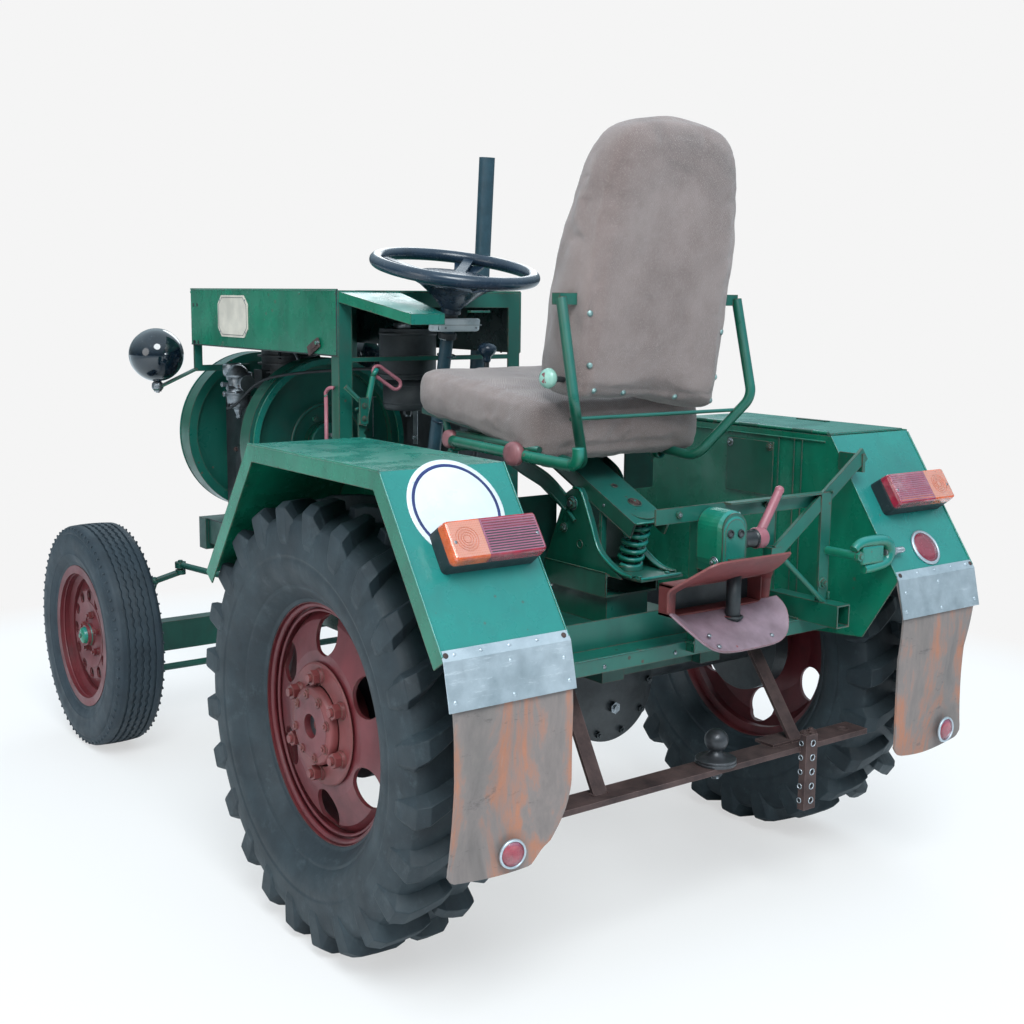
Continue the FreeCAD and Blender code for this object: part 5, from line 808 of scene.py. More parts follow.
def front_tyre(name, body, side):
    """A worn road tyre with ribs, zigzag grooves, shoulder sipes and sidewall rings."""
    node = "front_tyre_" + name
    centre = middle(node)
    low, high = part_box(node)
    reach = (high[2] - low[2]) / 2
    half_width = (high[0] - low[0]) / 2
    piece = Build("road_tyre_" + name)
    rows = []
    sides, sipes, drawn_half = 288, 72, 0.075
    rim = [(0.204, 0.050), (0.205, 0.056), (0.214, 0.0615), (0.219, 0.0618), (0.222, 0.0648),
           (0.238, 0.071), (0.241, 0.0715), (0.2425, 0.0728), (0.2455, 0.0728), (0.247, 0.0722),
           (0.262, 0.0748), (0.276, 0.0752), (0.292, 0.0735), (0.3, 0.0715), (0.3015, 0.0695),
           (0.304, 0.0692), (0.3065, 0.0700), (0.316, 0.066), (0.322, 0.0605), (0.3252, 0.0555)]
    for radius, across in rim:
        rows.append([(radius, across * half_width / drawn_half, 0.0)] * sides)
    for across, depth, zigzag in (
            (0.0525, 0, 0), (0.042, 0, 0), (0.0405, 1, 0.4), (0.0355, 1, 0.4), (0.034, 0, 0.4),
            (0.0235, 0, 0.8), (0.022, 1, 0.8), (0.0165, 1, 0.8), (0.015, 0, 0.8), (0.0045, 0, 0.8),
            (0.003, 1, 0.8), (-0.003, 1, 0.8), (-0.0045, 0, 0.8)):
        ring = []
        for k in range(sides):
            shift = zigzag * 0.0022 * (1 if k % 4 < 2 else -1)
            top = reach - 0.0018 * (across / 0.05) ** 2 * 1.2
            ring.append((top - 0.0055 * depth, across, shift))
        rows.append(ring)
    rows += [[(radius, -across, shift) for radius, across, shift in ring]
             for ring in reversed(rows[:-4])]
    before = len(piece.mesh.faces)
    made = []
    for ring in rows:
        made.append([piece.mesh.verts.new(
            centre + Vector((side * (across + shift), radius * cos(TAU * k / sides),
                             radius * sin(TAU * k / sides))))
            for k, (radius, across, shift) in enumerate(ring)])
    stitch(piece.mesh, made + made[:1])
    piece.tag(before, FRONT_RUBBER, True)
    for row in (1, -1):
        for out in around(Vector(), 1, sipes):
            turn = Matrix((LEFT, LEFT.cross(out), out)).transposed().to_4x4()
            head = centre + LEFT * row * 0.0665 + out * 0.314
            piece.block(head, (0.005, 0.0055, 0.014), FRONT_RUBBER, turn, bevel=0.0012)
    tyre = piece.done(body, replace=(node,))
    sharp = tyre.modifiers.new("flat_grooves", "EDGE_SPLIT")
    sharp.split_angle = radians(40)


for NAME, SIDE in SIDES:
    rear_tyre(NAME, "rear_wheel_" + NAME, SIDE)
    front_tyre(NAME, "front_wheel_" + NAME, SIDE)


# ------------------------------------------------------------------------------ the seat

VOXEL = 0.009
SWELL_PRESSURE = 2.5


def pad(name, outline, rear, front, place, inset):
    """A closed upholstered form: an outline in the plane of the pad, with two crowned faces."""
    count = len(outline)
    centre = Vector((sum(x for x, _ in outline) / count, sum(h for _, h in outline) / count))
    builder = bmesh.new()
    rows = []
    steps = ((0.0, 0), (0.35, 0), (0.62, 0), (0.8, 0), (0.91, 0), (0.965, 0.035), (0.99, 0.14),
             (1.0, 0.34), (1.0, 0.66), (0.99, 0.86), (0.965, 0.965), (0.91, 1), (0.8, 1), (0.62, 1),
             (0.35, 1), (0.0, 1))
    for share, level in steps:
        ring = []
        for x, h in outline:
            offset = Vector((x, h)) - centre
            offset *= 1 - inset / max(offset.length, 0.05)
            spot = centre + offset * (0.02 + 0.98 * share)
            low, high = rear(spot.x, spot.y, share), front(spot.x, spot.y, share)
            depth = low + inset + (high - low - 2 * inset) * level
            ring.append(builder.verts.new(place @ Vector((spot.x, spot.y, depth))))
        rows.append(ring)
    stitch(builder, rows, ends=True)
    bmesh.ops.recalc_face_normals(builder, faces=builder.faces)
    return stand(builder, name)


def applied(piece):
    """Bakes a piece's modifiers into its mesh."""
    graph = bpy.context.evaluated_depsgraph_get()
    data = bpy.data.meshes.new_from_object(piece.evaluated_get(graph))
    piece.modifiers.clear()
    piece.data = data
    return data


def inflate(piece, cap):
    """Remeshes a pad evenly and lets its cloth swell under pressure, no further than cap."""
    remesh = piece.modifiers.new("remesh", "REMESH")
    remesh.mode = "VOXEL"
    remesh.voxel_size = VOXEL
    data = applied(piece)
    rest = [vert.co.copy() for vert in data.vertices]
    cloth = piece.modifiers.new("cloth", "CLOTH")
    settings = cloth.settings
    settings.quality = 2
    settings.mass = 0.25
    settings.tension_stiffness = settings.compression_stiffness = 18
    settings.shear_stiffness = 8
    settings.bending_stiffness = 0.6
    settings.use_pressure = True
    settings.uniform_pressure_force = SWELL_PRESSURE
    settings.effector_weights.gravity = 0
    cloth.collision_settings.use_collision = False
    for frame_number in range(1, 21):
        bpy.context.scene.frame_set(frame_number)
    data = applied(piece)
    bpy.context.scene.frame_set(1)
    for vert, start in zip(data.vertices, rest):
        move = vert.co - start
        if move.length > cap:
            vert.co = start + move * (cap / move.length)
    for polygon in data.polygons:
        polygon.use_smooth = True
    data.materials.append(FABRIC)
    smooth = piece.modifiers.new("subdivide", "SUBSURF")
    smooth.levels = smooth.render_levels = 1


class Skin:
    """Finds points on a finished pad's surface by looking at it from outside."""

    def __init__(self, piece):
        self.body = piece.evaluated_get(bpy.context.evaluated_depsgraph_get())

    def hit(self, origin, direction):
        direction = Vector(direction).normalized()
        found, spot, normal, _ = self.body.ray_cast(Vector(origin) - direction * 0.3, direction)
        return (spot, normal) if found else (Vector(origin), -direction)


def press(piece, lines, width, depth):
    """Sinks sewn lines into a pad: each line is a list of points near its surface."""
    spots = [point for line in lines for point in line]
    tree = KDTree(len(spots))
    for index, point in enumerate(spots):
        tree.insert(point, index)
    tree.balance()
    data = piece.data
    for vert in data.vertices:
        _, _, away = tree.find(vert.co)
        if away < 2.5 * width:
            vert.co -= vert.normal * depth * exp(-(away / width) ** 2)


def rumple(piece, size, height, seed):
    """Gives a cover slack, shallow folds of seeded noise."""
    for vert in piece.data.vertices:
        swell = noise.noise(vert.co * size + Vector((seed, 2 * seed, -seed)))
        vert.co += vert.normal * height * swell


def closed_outline(left, right):
    """One smooth loop in X and Y: up the left line and down the right one."""
    loop = smooth_curve(left, 7)[:-1] + list(reversed(smooth_curve(right, 7)))[:-1]
    return [(point.x, point.y) for point in loop]


def upholster(piece, node):
    """Makes a finished pad stand for its CAD node."""
    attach(piece, CHASSIS)
    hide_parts(node)


def backrest():
    """The tall backrest: a sewn cover over padding, with a studded rear panel."""
    lean = radians(8.6)
    up = Vector((0, sin(lean), cos(lean)))
    back = Vector((0, cos(lean), -sin(lean)))
    foot = P(0, 242, 1120)
    place = Matrix.Translation(foot) @ Matrix((LEFT, up, back)).transposed().to_4x4()
    half = [(0.0, -0.006), (0.1, -0.008), (0.178, -0.007), (0.2, 0.002), (0.207, 0.03),
            (0.21, 0.1), (0.211, 0.2), (0.208, 0.3), (0.199, 0.39), (0.186, 0.46), (0.166, 0.515),
            (0.134, 0.553), (0.08, 0.57), (0.0, 0.575)]
    right = [Vector((-x, h - 0.03 * max(0, 1 - h / 0.1) * (x / 0.2), 0)) for x, h in half]
    left = [Vector((x, h + 0.004 * max(0, 1 - h / 0.1) * (x / 0.2), 0)) for x, h in half]

    def rear(x, h, share):
        return -0.004 * (1 - share) - 0.004 * share ** 4

    def front(x, h, share):
        thick = -0.135 + (0.05 * min(max((h - 0.19) / 0.37, 0), 1))
        return thick - 0.008 - 0.004 * (1 - share ** 2)

    piece = pad("backrest_cover", closed_outline(left, right), front, rear, place, inset=-0.001)
    inflate(piece, 0.007)
    skin = Skin(piece)

    def on_rear(x, h):
        return skin.hit(place @ Vector((x, h, 0)), -back)

    def on_side(side, h, depth):
        return skin.hit(place @ Vector((side * 0.22, h, depth)), LEFT * -side)

    hem = []
    for k in range(91):
        x = -0.19 + 0.38 * k / 90
        hem.append(on_rear(x, 0.03 - 0.028 * (1 - (0.19 + x) / 0.38))[0])
    slit = [on_rear(0.186 + 0.004 * sin(k / 12), 0.012 + 0.26 * k / 60)[0] for k in range(61)]
    crown = [[on_side(side, 0.03 + 0.42 * k / 90, -0.02 - 0.004 * sin(k / 9))[0]
              for k in range(91)] for side in (1, -1)]
    rumple(piece, 9, 0.0035, 1.3)
    rumple(piece, 26, 0.0012, 4.1)
    press(piece, [hem], 0.005, 0.0032)
    press(piece, crown, 0.006, 0.0022)
    press(piece, [slit], 0.005, 0.006)
    upholster(piece, "seat_backrest")

    studs = Build("cover_studs")
    for x, h in ((0.188, 0.18), (0.178, 0.075), (0.158, 0.022), (0.074, 0.014), (-0.075, 0.0),
                 (-0.186, -0.013), (-0.186, 0.14), (-0.19, 0.04)):
        spot, normal = on_rear(x, h)
        studs.rod(spot - normal * 0.003, spot + normal * 0.0018, 0.0062, SEAT_SNAP, sides=20)
        studs.dome(spot + normal * 0.0015, normal, 0.0045, 0.0024, SEAT_SNAP)
    studs.done(CHASSIS)


def cushion():
    """The seat cushion: a boxed cover over foam, deeper at its back, on the sheet-metal pan."""
    tilt = radians(6.0)
    along = Vector((0, cos(tilt), -sin(tilt)))
    up = Vector((0, sin(tilt), cos(tilt)))
    place = (Matrix.Translation(middle("seat_cushion"))
             @ Matrix((LEFT, along, up)).transposed().to_4x4())
    half = [(0.0, -0.246), (0.12, -0.246), (0.19, -0.245), (0.222, -0.24), (0.237, -0.225),
            (0.241, -0.19), (0.242, -0.05), (0.242, 0.08), (0.241, 0.19), (0.235, 0.226),
            (0.214, 0.241), (0.12, 0.245), (0.0, 0.246)]
    left = [Vector((x, y, 0)) for x, y in half]
    right = [Vector((-x, y, 0)) for x, y in half]

    def under(x, y, share):
        sag = 0.03 * min(max((y + 0.05) / 0.29, 0), 1) ** 1.3
        return -0.045 - sag * min(1, share * 1.15)

    def over(x, y, share):
        return 0.044 + 0.008 * (1 - share ** 2) - 0.004 * (y / 0.24)

    piece = pad("cushion_cover", closed_outline(left, right), under, over, place, inset=0.0)
    inflate(piece, 0.008)
    skin = Skin(piece)
    seam = []
    for k in range(240):
        angle = TAU * k / 240
        dip = 0.016 * max(0, sin(angle))
        origin = place @ Vector((0.3 * cos(angle), 0.3 * sin(angle), -0.03 - dip))
        target = place @ Vector((0, 0, -0.028))
        seam.append(skin.hit(origin, target - origin)[0])
    rumple(piece, 8, 0.0045, 2.7)
    rumple(piece, 24, 0.0014, 5.9)
    press(piece, [seam], 0.005, 0.003)
    upholster(piece, "seat_cushion")


backrest()
cushion()


# ------------------------------------------------------------------------------ wheels

def rear_wheel_fittings(name, body, side):
    """Rolled rim edges, the hub's bolted cap and its ring of wheel nuts."""
    node = "rear_rim_" + name
    low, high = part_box(node)
    centre = middle(node)
    out = LEFT * side
    centre.x = middle("rear_tyre_" + name).x
    reach = (high[2] - low[2]) / 2
    flange = 0.045
    hub = max(abs(low[0]), abs(high[0])) - abs(centre.x)
    rim = Build("rear_wheel_rim_" + name)
    rim.lathe([(reach - 0.012, flange - 0.004), (reach - 0.004, flange + 0.0005),
               (reach + 0.0005, flange - 0.003), (reach + 0.0005, flange - 0.007),
               (reach - 0.006, flange - 0.008)], centre, out, RED, 96, closed=True)
    rim.torus(centre + out * (flange - 0.012), out, 0.2445, 0.0065, RED, 96, 12)
    rim.torus(centre + out * (flange - 0.02), out, 0.232, 0.004, RED, 96, 10)
    rim.lathe([(0.262, flange - 0.004), (0.252, flange - 0.012), (0.247, flange - 0.013),
               (0.247, flange - 0.016), (0.263, flange - 0.009)], centre, out, RED, 96, closed=True)
    rim.done(body)
    cap = Build("rear_hub_cap_" + name)
    cap.lathe([(0.0, hub - 0.020), (0.03, hub - 0.02), (0.042, hub - 0.0185), (0.047, hub - 0.008),
               (0.052, hub - 0.0008), (0.066, hub - 0.0004), (0.078, hub - 0.004),
               (0.0815, hub - 0.009), (0.0815, hub - 0.02), (0.074, hub - 0.026), (0.074, 0.042),
               (0.0, 0.042)], centre, out, BRIGHT_RED, 72)
    cap.ball(centre + out * (hub - 0.02), 0.02, BRIGHT_RED, scale=(0.35, 1, 1))
    for spot in around(centre, 0.0645, 8, 0.3):
        cap.nut(spot + out * (hub - 0.003), out, 0.0098, 0.0062, BRIGHT_RED, 0.45, washer=0.0115)
    cap.lathe([(0.086, 0.041), (0.112, 0.041), (0.124, 0.044), (0.128, 0.0475), (0.124, 0.0505),
               (0.1, 0.0505), (0.086, 0.055)], centre, out, BRIGHT_RED, 72, closed=True)
    for spot in around(centre, 0.1, 6, 0.5):
        cap.rod(spot + out * 0.045, spot + out * 0.0575, 0.0205, BRIGHT_RED, 0.017)
        cap.nut(spot + out * 0.057, out, 0.0165, 0.0155, BRIGHT_RED, 0.55)
    cap.done(body, bevel=0.0009)


def front_wheel_fittings(name, body, side):
    """Rolled rim edge, wheel nuts, hub and its small green cap."""
    node = "front_rim_" + name
    low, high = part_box(node)
    centre = middle(node)
    out = LEFT * side
    reach = (high[2] - low[2]) / 2
    flange = (high[0] - low[0]) / 2
    rim = Build("front_wheel_rim_" + name)
    rim.torus(centre + out * (flange - 0.004), out, reach - 0.0035, 0.004, RED, 96, 10)
    rim.torus(centre + out * (flange - 0.014), out, reach - 0.021, 0.0045, RED, 96, 10)
    rim.lathe([(0.066, 0.024), (0.094, 0.033), (0.1, 0.0335), (0.1, 0.031), (0.066, 0.021)], centre,
              out, RED, 72, closed=True)
    for spot in around(centre, 0.057, 5, 0.25):
        rim.rod(spot + out * 0.016, spot + out * 0.028, 0.013, BRIGHT_RED, 0.0105)
        rim.nut(spot + out * 0.026, out, 0.0105, 0.012, BRIGHT_RED)
    for spot in around(centre, 0.118, 12, 0.5):
        rim.torus(spot + out * 0.0285, out, 0.0175, 0.0016, RED, 24, 6)
    rim.done(body, bevel=0.0007)
    cap = Build("front_hub_cap_" + name)
    cap.lathe([(0.0, 0.062), (0.014, 0.061), (0.022, 0.0575), (0.025, 0.05), (0.0255, 0.042),
               (0.031, 0.041), (0.0325, 0.038), (0.0325, 0.03), (0.0, 0.03)],
              centre, out, GREEN, 48)
    cap.rod(centre + out * 0.058, centre + out * 0.066, 0.0065, GREEN, sides=6, smooth=False)
    cap.done(body, bevel=0.0006)


for NAME, SIDE in SIDES:
    rear_wheel_fittings(NAME, "rear_wheel_" + NAME, SIDE)
    front_wheel_fittings(NAME, "front_wheel_" + NAME, SIDE)


# ------------------------------------------------------------------------------ fenders

SLOPE_DOWN = Vector((0, 0.5675, -0.8237))
SLOPE_OUT = Vector((0, 0.8237, 0.5675))


def on_slope(x, down, out=0.0):
    """A point on a fender's rear slope: across, down from its bend and out of its face, in mm."""
    return P(x, 342, 1026) + (SLOPE_DOWN * down + SLOPE_OUT * out) / 1000


def speed_disc():
    """A plain white disc with a thin blue ring, painted on sheet metal and riveted on."""
    centre = on_slope(597, 86, 0.2)
    disc = Build("speed_disc")
    disc.lathe([(0.0, 0.0014), (0.097, 0.0014), (0.0995, 0.001), (0.1, 0.0), (0.0, 0.0)], centre,
               SLOPE_OUT, WHITE_PAINT, 96)
    disc.lathe([(0.0842, 0.00145), (0.0846, 0.0017), (0.0902, 0.0017), (0.0906, 0.00145)], centre,
               SLOPE_OUT, RING_BLUE, 96, closed=True)
    for angle in (40, 140, 220, 320):
        spot = centre + (Vector((cos(radians(angle)), 0, 0))
                         - SLOPE_DOWN * sin(radians(angle))) * 0.0935
        disc.dome(spot + SLOPE_OUT * 0.0014, SLOPE_OUT, 0.0028, 0.0012, WHITE_PAINT)
    disc.done(CHASSIS)


def tail_lamp(name, side, centre_x):
    """A two-colour lamp: black housing, red and orange ribbed lenses, and their two screws."""
    lamp = Build("tail_lamp_" + name)
    centre = on_slope(centre_x, 168, 0)

    def spot(across, down, out):
        return centre + (Vector((side * across, 0, 0)) + SLOPE_DOWN * down + SLOPE_OUT * out) / 1000

    def shell(across_0, across_1, half, out_0, out_1, draft, material):
        before = len(lamp.mesh.faces)
        rings = []
        for out, grow in ((out_0, 0), (out_1 - 6, draft * 0.8), (out_1 - 1.5, draft + 1.2),
                          (out_1, draft + 4)):
            ring = []
            left_cut = grow if across_0 < -90 else 0
            right_cut = grow if across_1 > 90 else 0
            x0, x1, h = across_0 + left_cut, across_1 - right_cut, half - grow
            radius = 9 - min(grow, 5)
            for cx, cy, start in ((x1, h, 0), (x0, h, 90), (x0, -h, 180), (x1, -h, 270)):
                soft = (cx == x0 and across_0 < -90) or (cx == x1 and across_1 > 90)
                corner = radius if soft else 0.01
                for k in range(5):
                    a = radians(start + 22.5 * k)
                    px = cx - copysign(corner, cx - (x0 + x1) / 2) + corner * cos(a)
                    py = cy - copysign(corner, cy) + corner * sin(a)
                    ring.append(lamp.mesh.verts.new(spot(px, py, out)))
            rings.append(ring)
        stitch(lamp.mesh, rings)
        lamp.mesh.faces.new(rings[-1])
        lamp.mesh.faces.new(rings[0][::-1])
        lamp.tag(before, material, False)

    shell(-100, 100, 40, 0.5, 34, 1, LAMP_HOUSING)
    shell(-100.0, 26, 39.5, 33, 54.5, 2, RED_LENS)
    shell(26.3, 100.0, 39.5, 33, 54.5, 2, ORANGE_LENS)
    for k in range(13):
        y = -30 + 5 * k
        lamp.rod(spot(-91, y, 54.2), spot(22, y, 54.2), 0.0011, RED_LENS, sides=6)
    for radius in (0.0075, 0.0125, 0.0175, 0.0225):
        lamp.torus(spot(62, 0, 54.3), SLOPE_OUT, radius, 0.0011, ORANGE_LENS, 40, 6)
    for across in (-88, 88):
        lamp.rod(spot(across, 4, 50), spot(across, 4, 54.2), 0.0048, IRON, sides=20)
        lamp.dome(spot(across, 4, 54), SLOPE_OUT, 0.0036, 0.0014, STEEL)
    lamp.done(CHASSIS, replace=("tail_lamps",) if side > 0 else (), bevel=0.0008)


def reflector(piece, centre, out, radius, lens_material):
    """A round reflector in a pressed aluminium ring."""
    piece.lathe([(0.0, 0.0045), (radius * 0.5, 0.0042), (radius * 0.84, 0.003),
                 (radius * 0.86, 0.0)], centre, out, lens_material, 48)
    piece.lathe([(radius * 0.84, 0.0), (radius * 0.85, 0.0042), (radius * 0.92, 0.0058),
                 (radius, 0.0035), (radius * 1.02, 0.0)], centre, out, ALUMINIUM, 48, closed=True)


def mudflap(name, side):
    """A hanging flap of old belt rubber, curled at its sides and foot."""
    count_u, count_v = 28, 40
    top, hang, thick = 0.726, 0.401, 0.005
    outer, inner = 0.725, (0.46 if side > 0 else 0.459)
    sheets = []
    for layer in (0, 1):
        rows = []
        for j in range(count_v + 1):
            v = j / count_v
            z = top - hang * v
            row = []
            for i in range(count_u + 1):
                u = i / count_u
                foot_cut = 0.072 * max(0, (v - 0.62) / 0.38) ** 1.6 if side > 0 else 0.006 * v
                waist = 0.010 * sin(pi * v) * (1 if side < 0 else 0.45)
                x_in = inner + foot_cut + waist
                x_out = outer - 0.004 - waist * 0.7 - 0.004 * v
                x = x_in + (x_out - x_in) * u
                dip = 0.014 * sin(pi * u) * (1 if side < 0 else 0.5)
                foot = z - (dip - 0.006) * max(0, v - 0.8) / 0.2
                corner = 0.018 * max(0, 1 - u / 0.1) ** 2 + 0.012 * max(0, 1 - (1 - u) / 0.07) ** 2
                foot += corner * max(0, (v - 0.9) / 0.1)
                y_plate = 0.5455 + 0.0175 * min(v / 0.2, 1)
                bow = 0.011 * sin(pi * min(1, v * 1.05)) * cos(TAU * (u - 0.45)) * (
                    -1 if side > 0 else 1)
                curl = -0.012 * max(0, (v - 0.25) / 0.75) + 0.006 * sin(3.1 * u + 2 * v) * v
                y = y_plate + (bow + curl) * min(1, max(0, (v - 0.2) / 0.25))
                y = min(y, 0.566)
                row.append(P(side * x * 1000, (y - (0 if layer else thick)) * 1000, foot * 1000))
            rows.append(row)
        sheets.append(rows)
    flap = Build("mudflap_" + name)
    before = len(flap.mesh.faces)
    front, back = [[[flap.mesh.verts.new(p) for p in row] for row in rows] for rows in sheets]
    stitch(flap.mesh, front, closed=False)
    stitch(flap.mesh, back, closed=False)
    for edge in (0, -1):
        stitch(flap.mesh, [front[edge], back[edge]], closed=False)
    for edge in (0, -1):
        stitch(flap.mesh, [[row[edge] for row in rows] for rows in (front, back)], closed=False)
    flap.tag(before, FLAP, True)
    piece = flap.done(CHASSIS, replace=("mudflaps",) if side > 0 else ())
    sharp = piece.modifiers.new("cut_edges", "EDGE_SPLIT")
    sharp.split_angle = radians(50)
    trim = Build("flap_reflector_" + name)
    if side > 0:
        reflector(trim, P(592, 561, 364), Vector((0.1, 1, 0)), 0.027, RED_LENS)
    else:
        reflector(trim, P(-635, 564, 364), Vector((-0.05, 1, 0)), 0.029, RED_LENS)
    trim.done(CHASSIS)


def plate_rivets():
    """Rivets and bolts along the hems and feet of the two aluminium plates."""
    rivets = Build("plate_rivets")
    for side in (1, -1):
        for across in (470, 530, 590, 650, 705, 722):
            size = 0.0052 if across in (470, 722) else 0.0036
            rivets.dome(on_slope(side * across, 352, 2.2), SLOPE_OUT, size, size * 0.5,
                        RUST if across in (470, 722) else ALUMINIUM)
        out = Vector((0, 0.975, 0.22))
        for across, up in ((472, 660), (594, 655), (716, 660), (594, 712), (478, 700)):
            spot = P(side * across, 549.5 + (727 - up) * 0.2275, up)
            rivets.dome(spot, out, 0.0042, 0.0022, ALUMINIUM)
    rivets.done(CHASSIS)


speed_disc()
tail_lamp("left", 1, 574)
tail_lamp("right", -1, -612)
for NAME, SIDE in SIDES:
    mudflap(NAME, SIDE)
plate_rivets()
FENDER_REFLECTOR = Build("fender_reflector")
reflector(FENDER_REFLECTOR, on_slope(-596, 297, 0.4), SLOPE_OUT, 0.042, plastic(
    "dull_red_reflector", (0.22, 0.03, 0.05), 0.3, 0.3, 0.4))
FENDER_REFLECTOR.done(CHASSIS)


# ------------------------------------------------------------------------- steering wheel

def steering_wheel_hub():
    """A deep moulded cone that spreads into four broad spokes under the ring."""
    rake = radians(11.5)
    axis = Vector((0, sin(rake), cos(rake)))
    centre = middle("steering_wheel")
    across = LEFT
    fore = axis.cross(across)
    wheel = Build("steering_wheel_hub")
    profile = ((0.024, -0.092), (0.034, -0.08), (0.05, -0.064), (0.07, -0.046), (0.088, -0.032),
               (0.1, -0.026), (0.115, -0.021), (0.14, -0.014), (0.168, -0.008), (0.192, -0.002))
    for number in range(4):
        aim = TAU * (number + 0.5) / 4
        sheets = []
        for lift in (0.0, 0.006):
            rows = []
            for step, (reach, rise) in enumerate(profile):
                share = step / (len(profile) - 1)
                narrow = min(1, max(0, reach - 0.09) / 0.05)
                half = radians(12 + 33.4 * (1 - narrow) ** 1.5)
                row = []
                for k in range(13):
                    angle = aim + half * (k / 6 - 1)
                    crown = 0.0035 * (1 - (k / 6 - 1) ** 2) * share
                    row.append(centre + (across * cos(angle) + fore * sin(angle)) * reach
                               + axis * (rise - crown + lift + 0.004 * (1 - share)))
                rows.append(row)
            sheets.append(rows)
        under, over = sheets
        wheel.grid(under, BLACK_PLASTIC)
        wheel.grid(over, BLACK_PLASTIC, flip=True)
        for column in (0, -1):
            wheel.grid([[row[column] for row in under], [row[column] for row in over]],
                       BLACK_PLASTIC, flip=column == 0)
        wheel.grid([under[-1], over[-1]], BLACK_PLASTIC)
    wheel.lathe([(0.0, -0.004), (0.026, -0.0045), (0.037, -0.0085), (0.041, -0.0165),
                 (0.043, -0.03), (0.05, -0.045), (0.05, -0.05), (0.0, -0.05)], centre, axis,
                BLACK_PLASTIC, 64)
    wheel.torus(centre - axis * 0.0065, axis, 0.0305, 0.0011, BLACK_PLASTIC, 48, 8)
    wheel.lathe([(0.0, -0.1), (0.0235, -0.1), (0.0262, -0.097), (0.0262, -0.084), (0.0235, -0.08),
                 (0.0, -0.08)], centre, axis, BLACK_PLASTIC, 48)
    wheel.done("steering_hand_wheel", weld=True, bevel=0.0008)


def rounded_outline(half_x, half_y, radius, steps=6):
    """A rectangle's outline with round corners."""
    points = []
    for corner_x, corner_y, start in ((1, 1, 0), (-1, 1, 90), (-1, -1, 180), (1, -1, 270)):
        for k in range(steps + 1):
            angle = radians(start + 90 * k / steps)
            points.append((corner_x * (half_x - radius) + radius * cos(angle),
                           corner_y * (half_y - radius) + radius * sin(angle)))
    return points


def loft(build, rings, material, smooth=True):
    """Skins rings of equally many points and closes both ends."""
    build.grid(rings, material, closed=True, smooth=smooth)
    before = len(build.mesh.faces)
    for ring, turned in ((rings[0], True), (rings[-1], False)):
        corners = [build.mesh.verts.new(Vector(p)) for p in ring]
        build.mesh.faces.new(list(reversed(corners)) if turned else corners)
    build.tag(before, material, False)


COLUMN_AXIS = Vector((0, 0.199, 0.98))


def switch_housing():
    """The pale switch housing under the wheel, the column's collar and the wires down it."""
    housing = Build("switch_housing_cover")
    level = P(0, 0, 1258).z
    middle_y = P(0, -529, 0).y
    rings = []
    for rise, shrink in ((-0.0165, 0.004), (-0.0145, 0.0012), (-0.011, 0.0), (0.011, 0.0),
                         (0.0145, 0.0012), (0.0165, 0.004)):
        rings.append([Vector((-0.018 + x, middle_y + y + 0.2 * rise, level + rise)) for x, y in
                      rounded_outline(0.064 - shrink, 0.029 - shrink, 0.012)])
    loft(housing, rings, WHITE_PAINT)
    housing.box(P(-83, -532, 1256.6), P(47, -499.4, 1259.2), SWITCH_GREY)
    for across in (-66, 28):
        housing.dome(P(across, -500, 1251), REAR, 0.0032, 0.0015, STEEL)
    housing.rod(P(0, -521.5, 1292), P(0, -526, 1272), 0.021, IRON)
    housing.lathe([(0.0205, 0), (0.0235, 0.002), (0.0235, 0.016), (0.0205, 0.018)],
                  P(0, -536, 1222), COLUMN_AXIS, IRON, 36, closed=True)
    housing.done(CHASSIS, bevel=0.0008)
    wires = Build("switch_wires")
    for shift in (-4, 4):
        wires.tube(smooth_curve([P(shift - 20, -548, 1246), P(shift - 24, -556, 1205),
                                 P(shift - 12, -566, 1130), P(shift - 18, -582, 1040),
                                 P(shift - 14, -604, 930), P(shift - 16, -628, 800),
                                 P(shift - 14, -640, 728)], 6), 0.0032, BLACK_RUBBER, 10)
    for height, back in ((1180, -562), (1010, -590), (850, -620)):
        wires.torus(P(-8, back + 12, height), COLUMN_AXIS, 0.0235, 0.0018, BLACK_PLASTIC, 32, 8)
    wires.done(CHASSIS)


# ----------------------------------------------------------------------------- hand levers

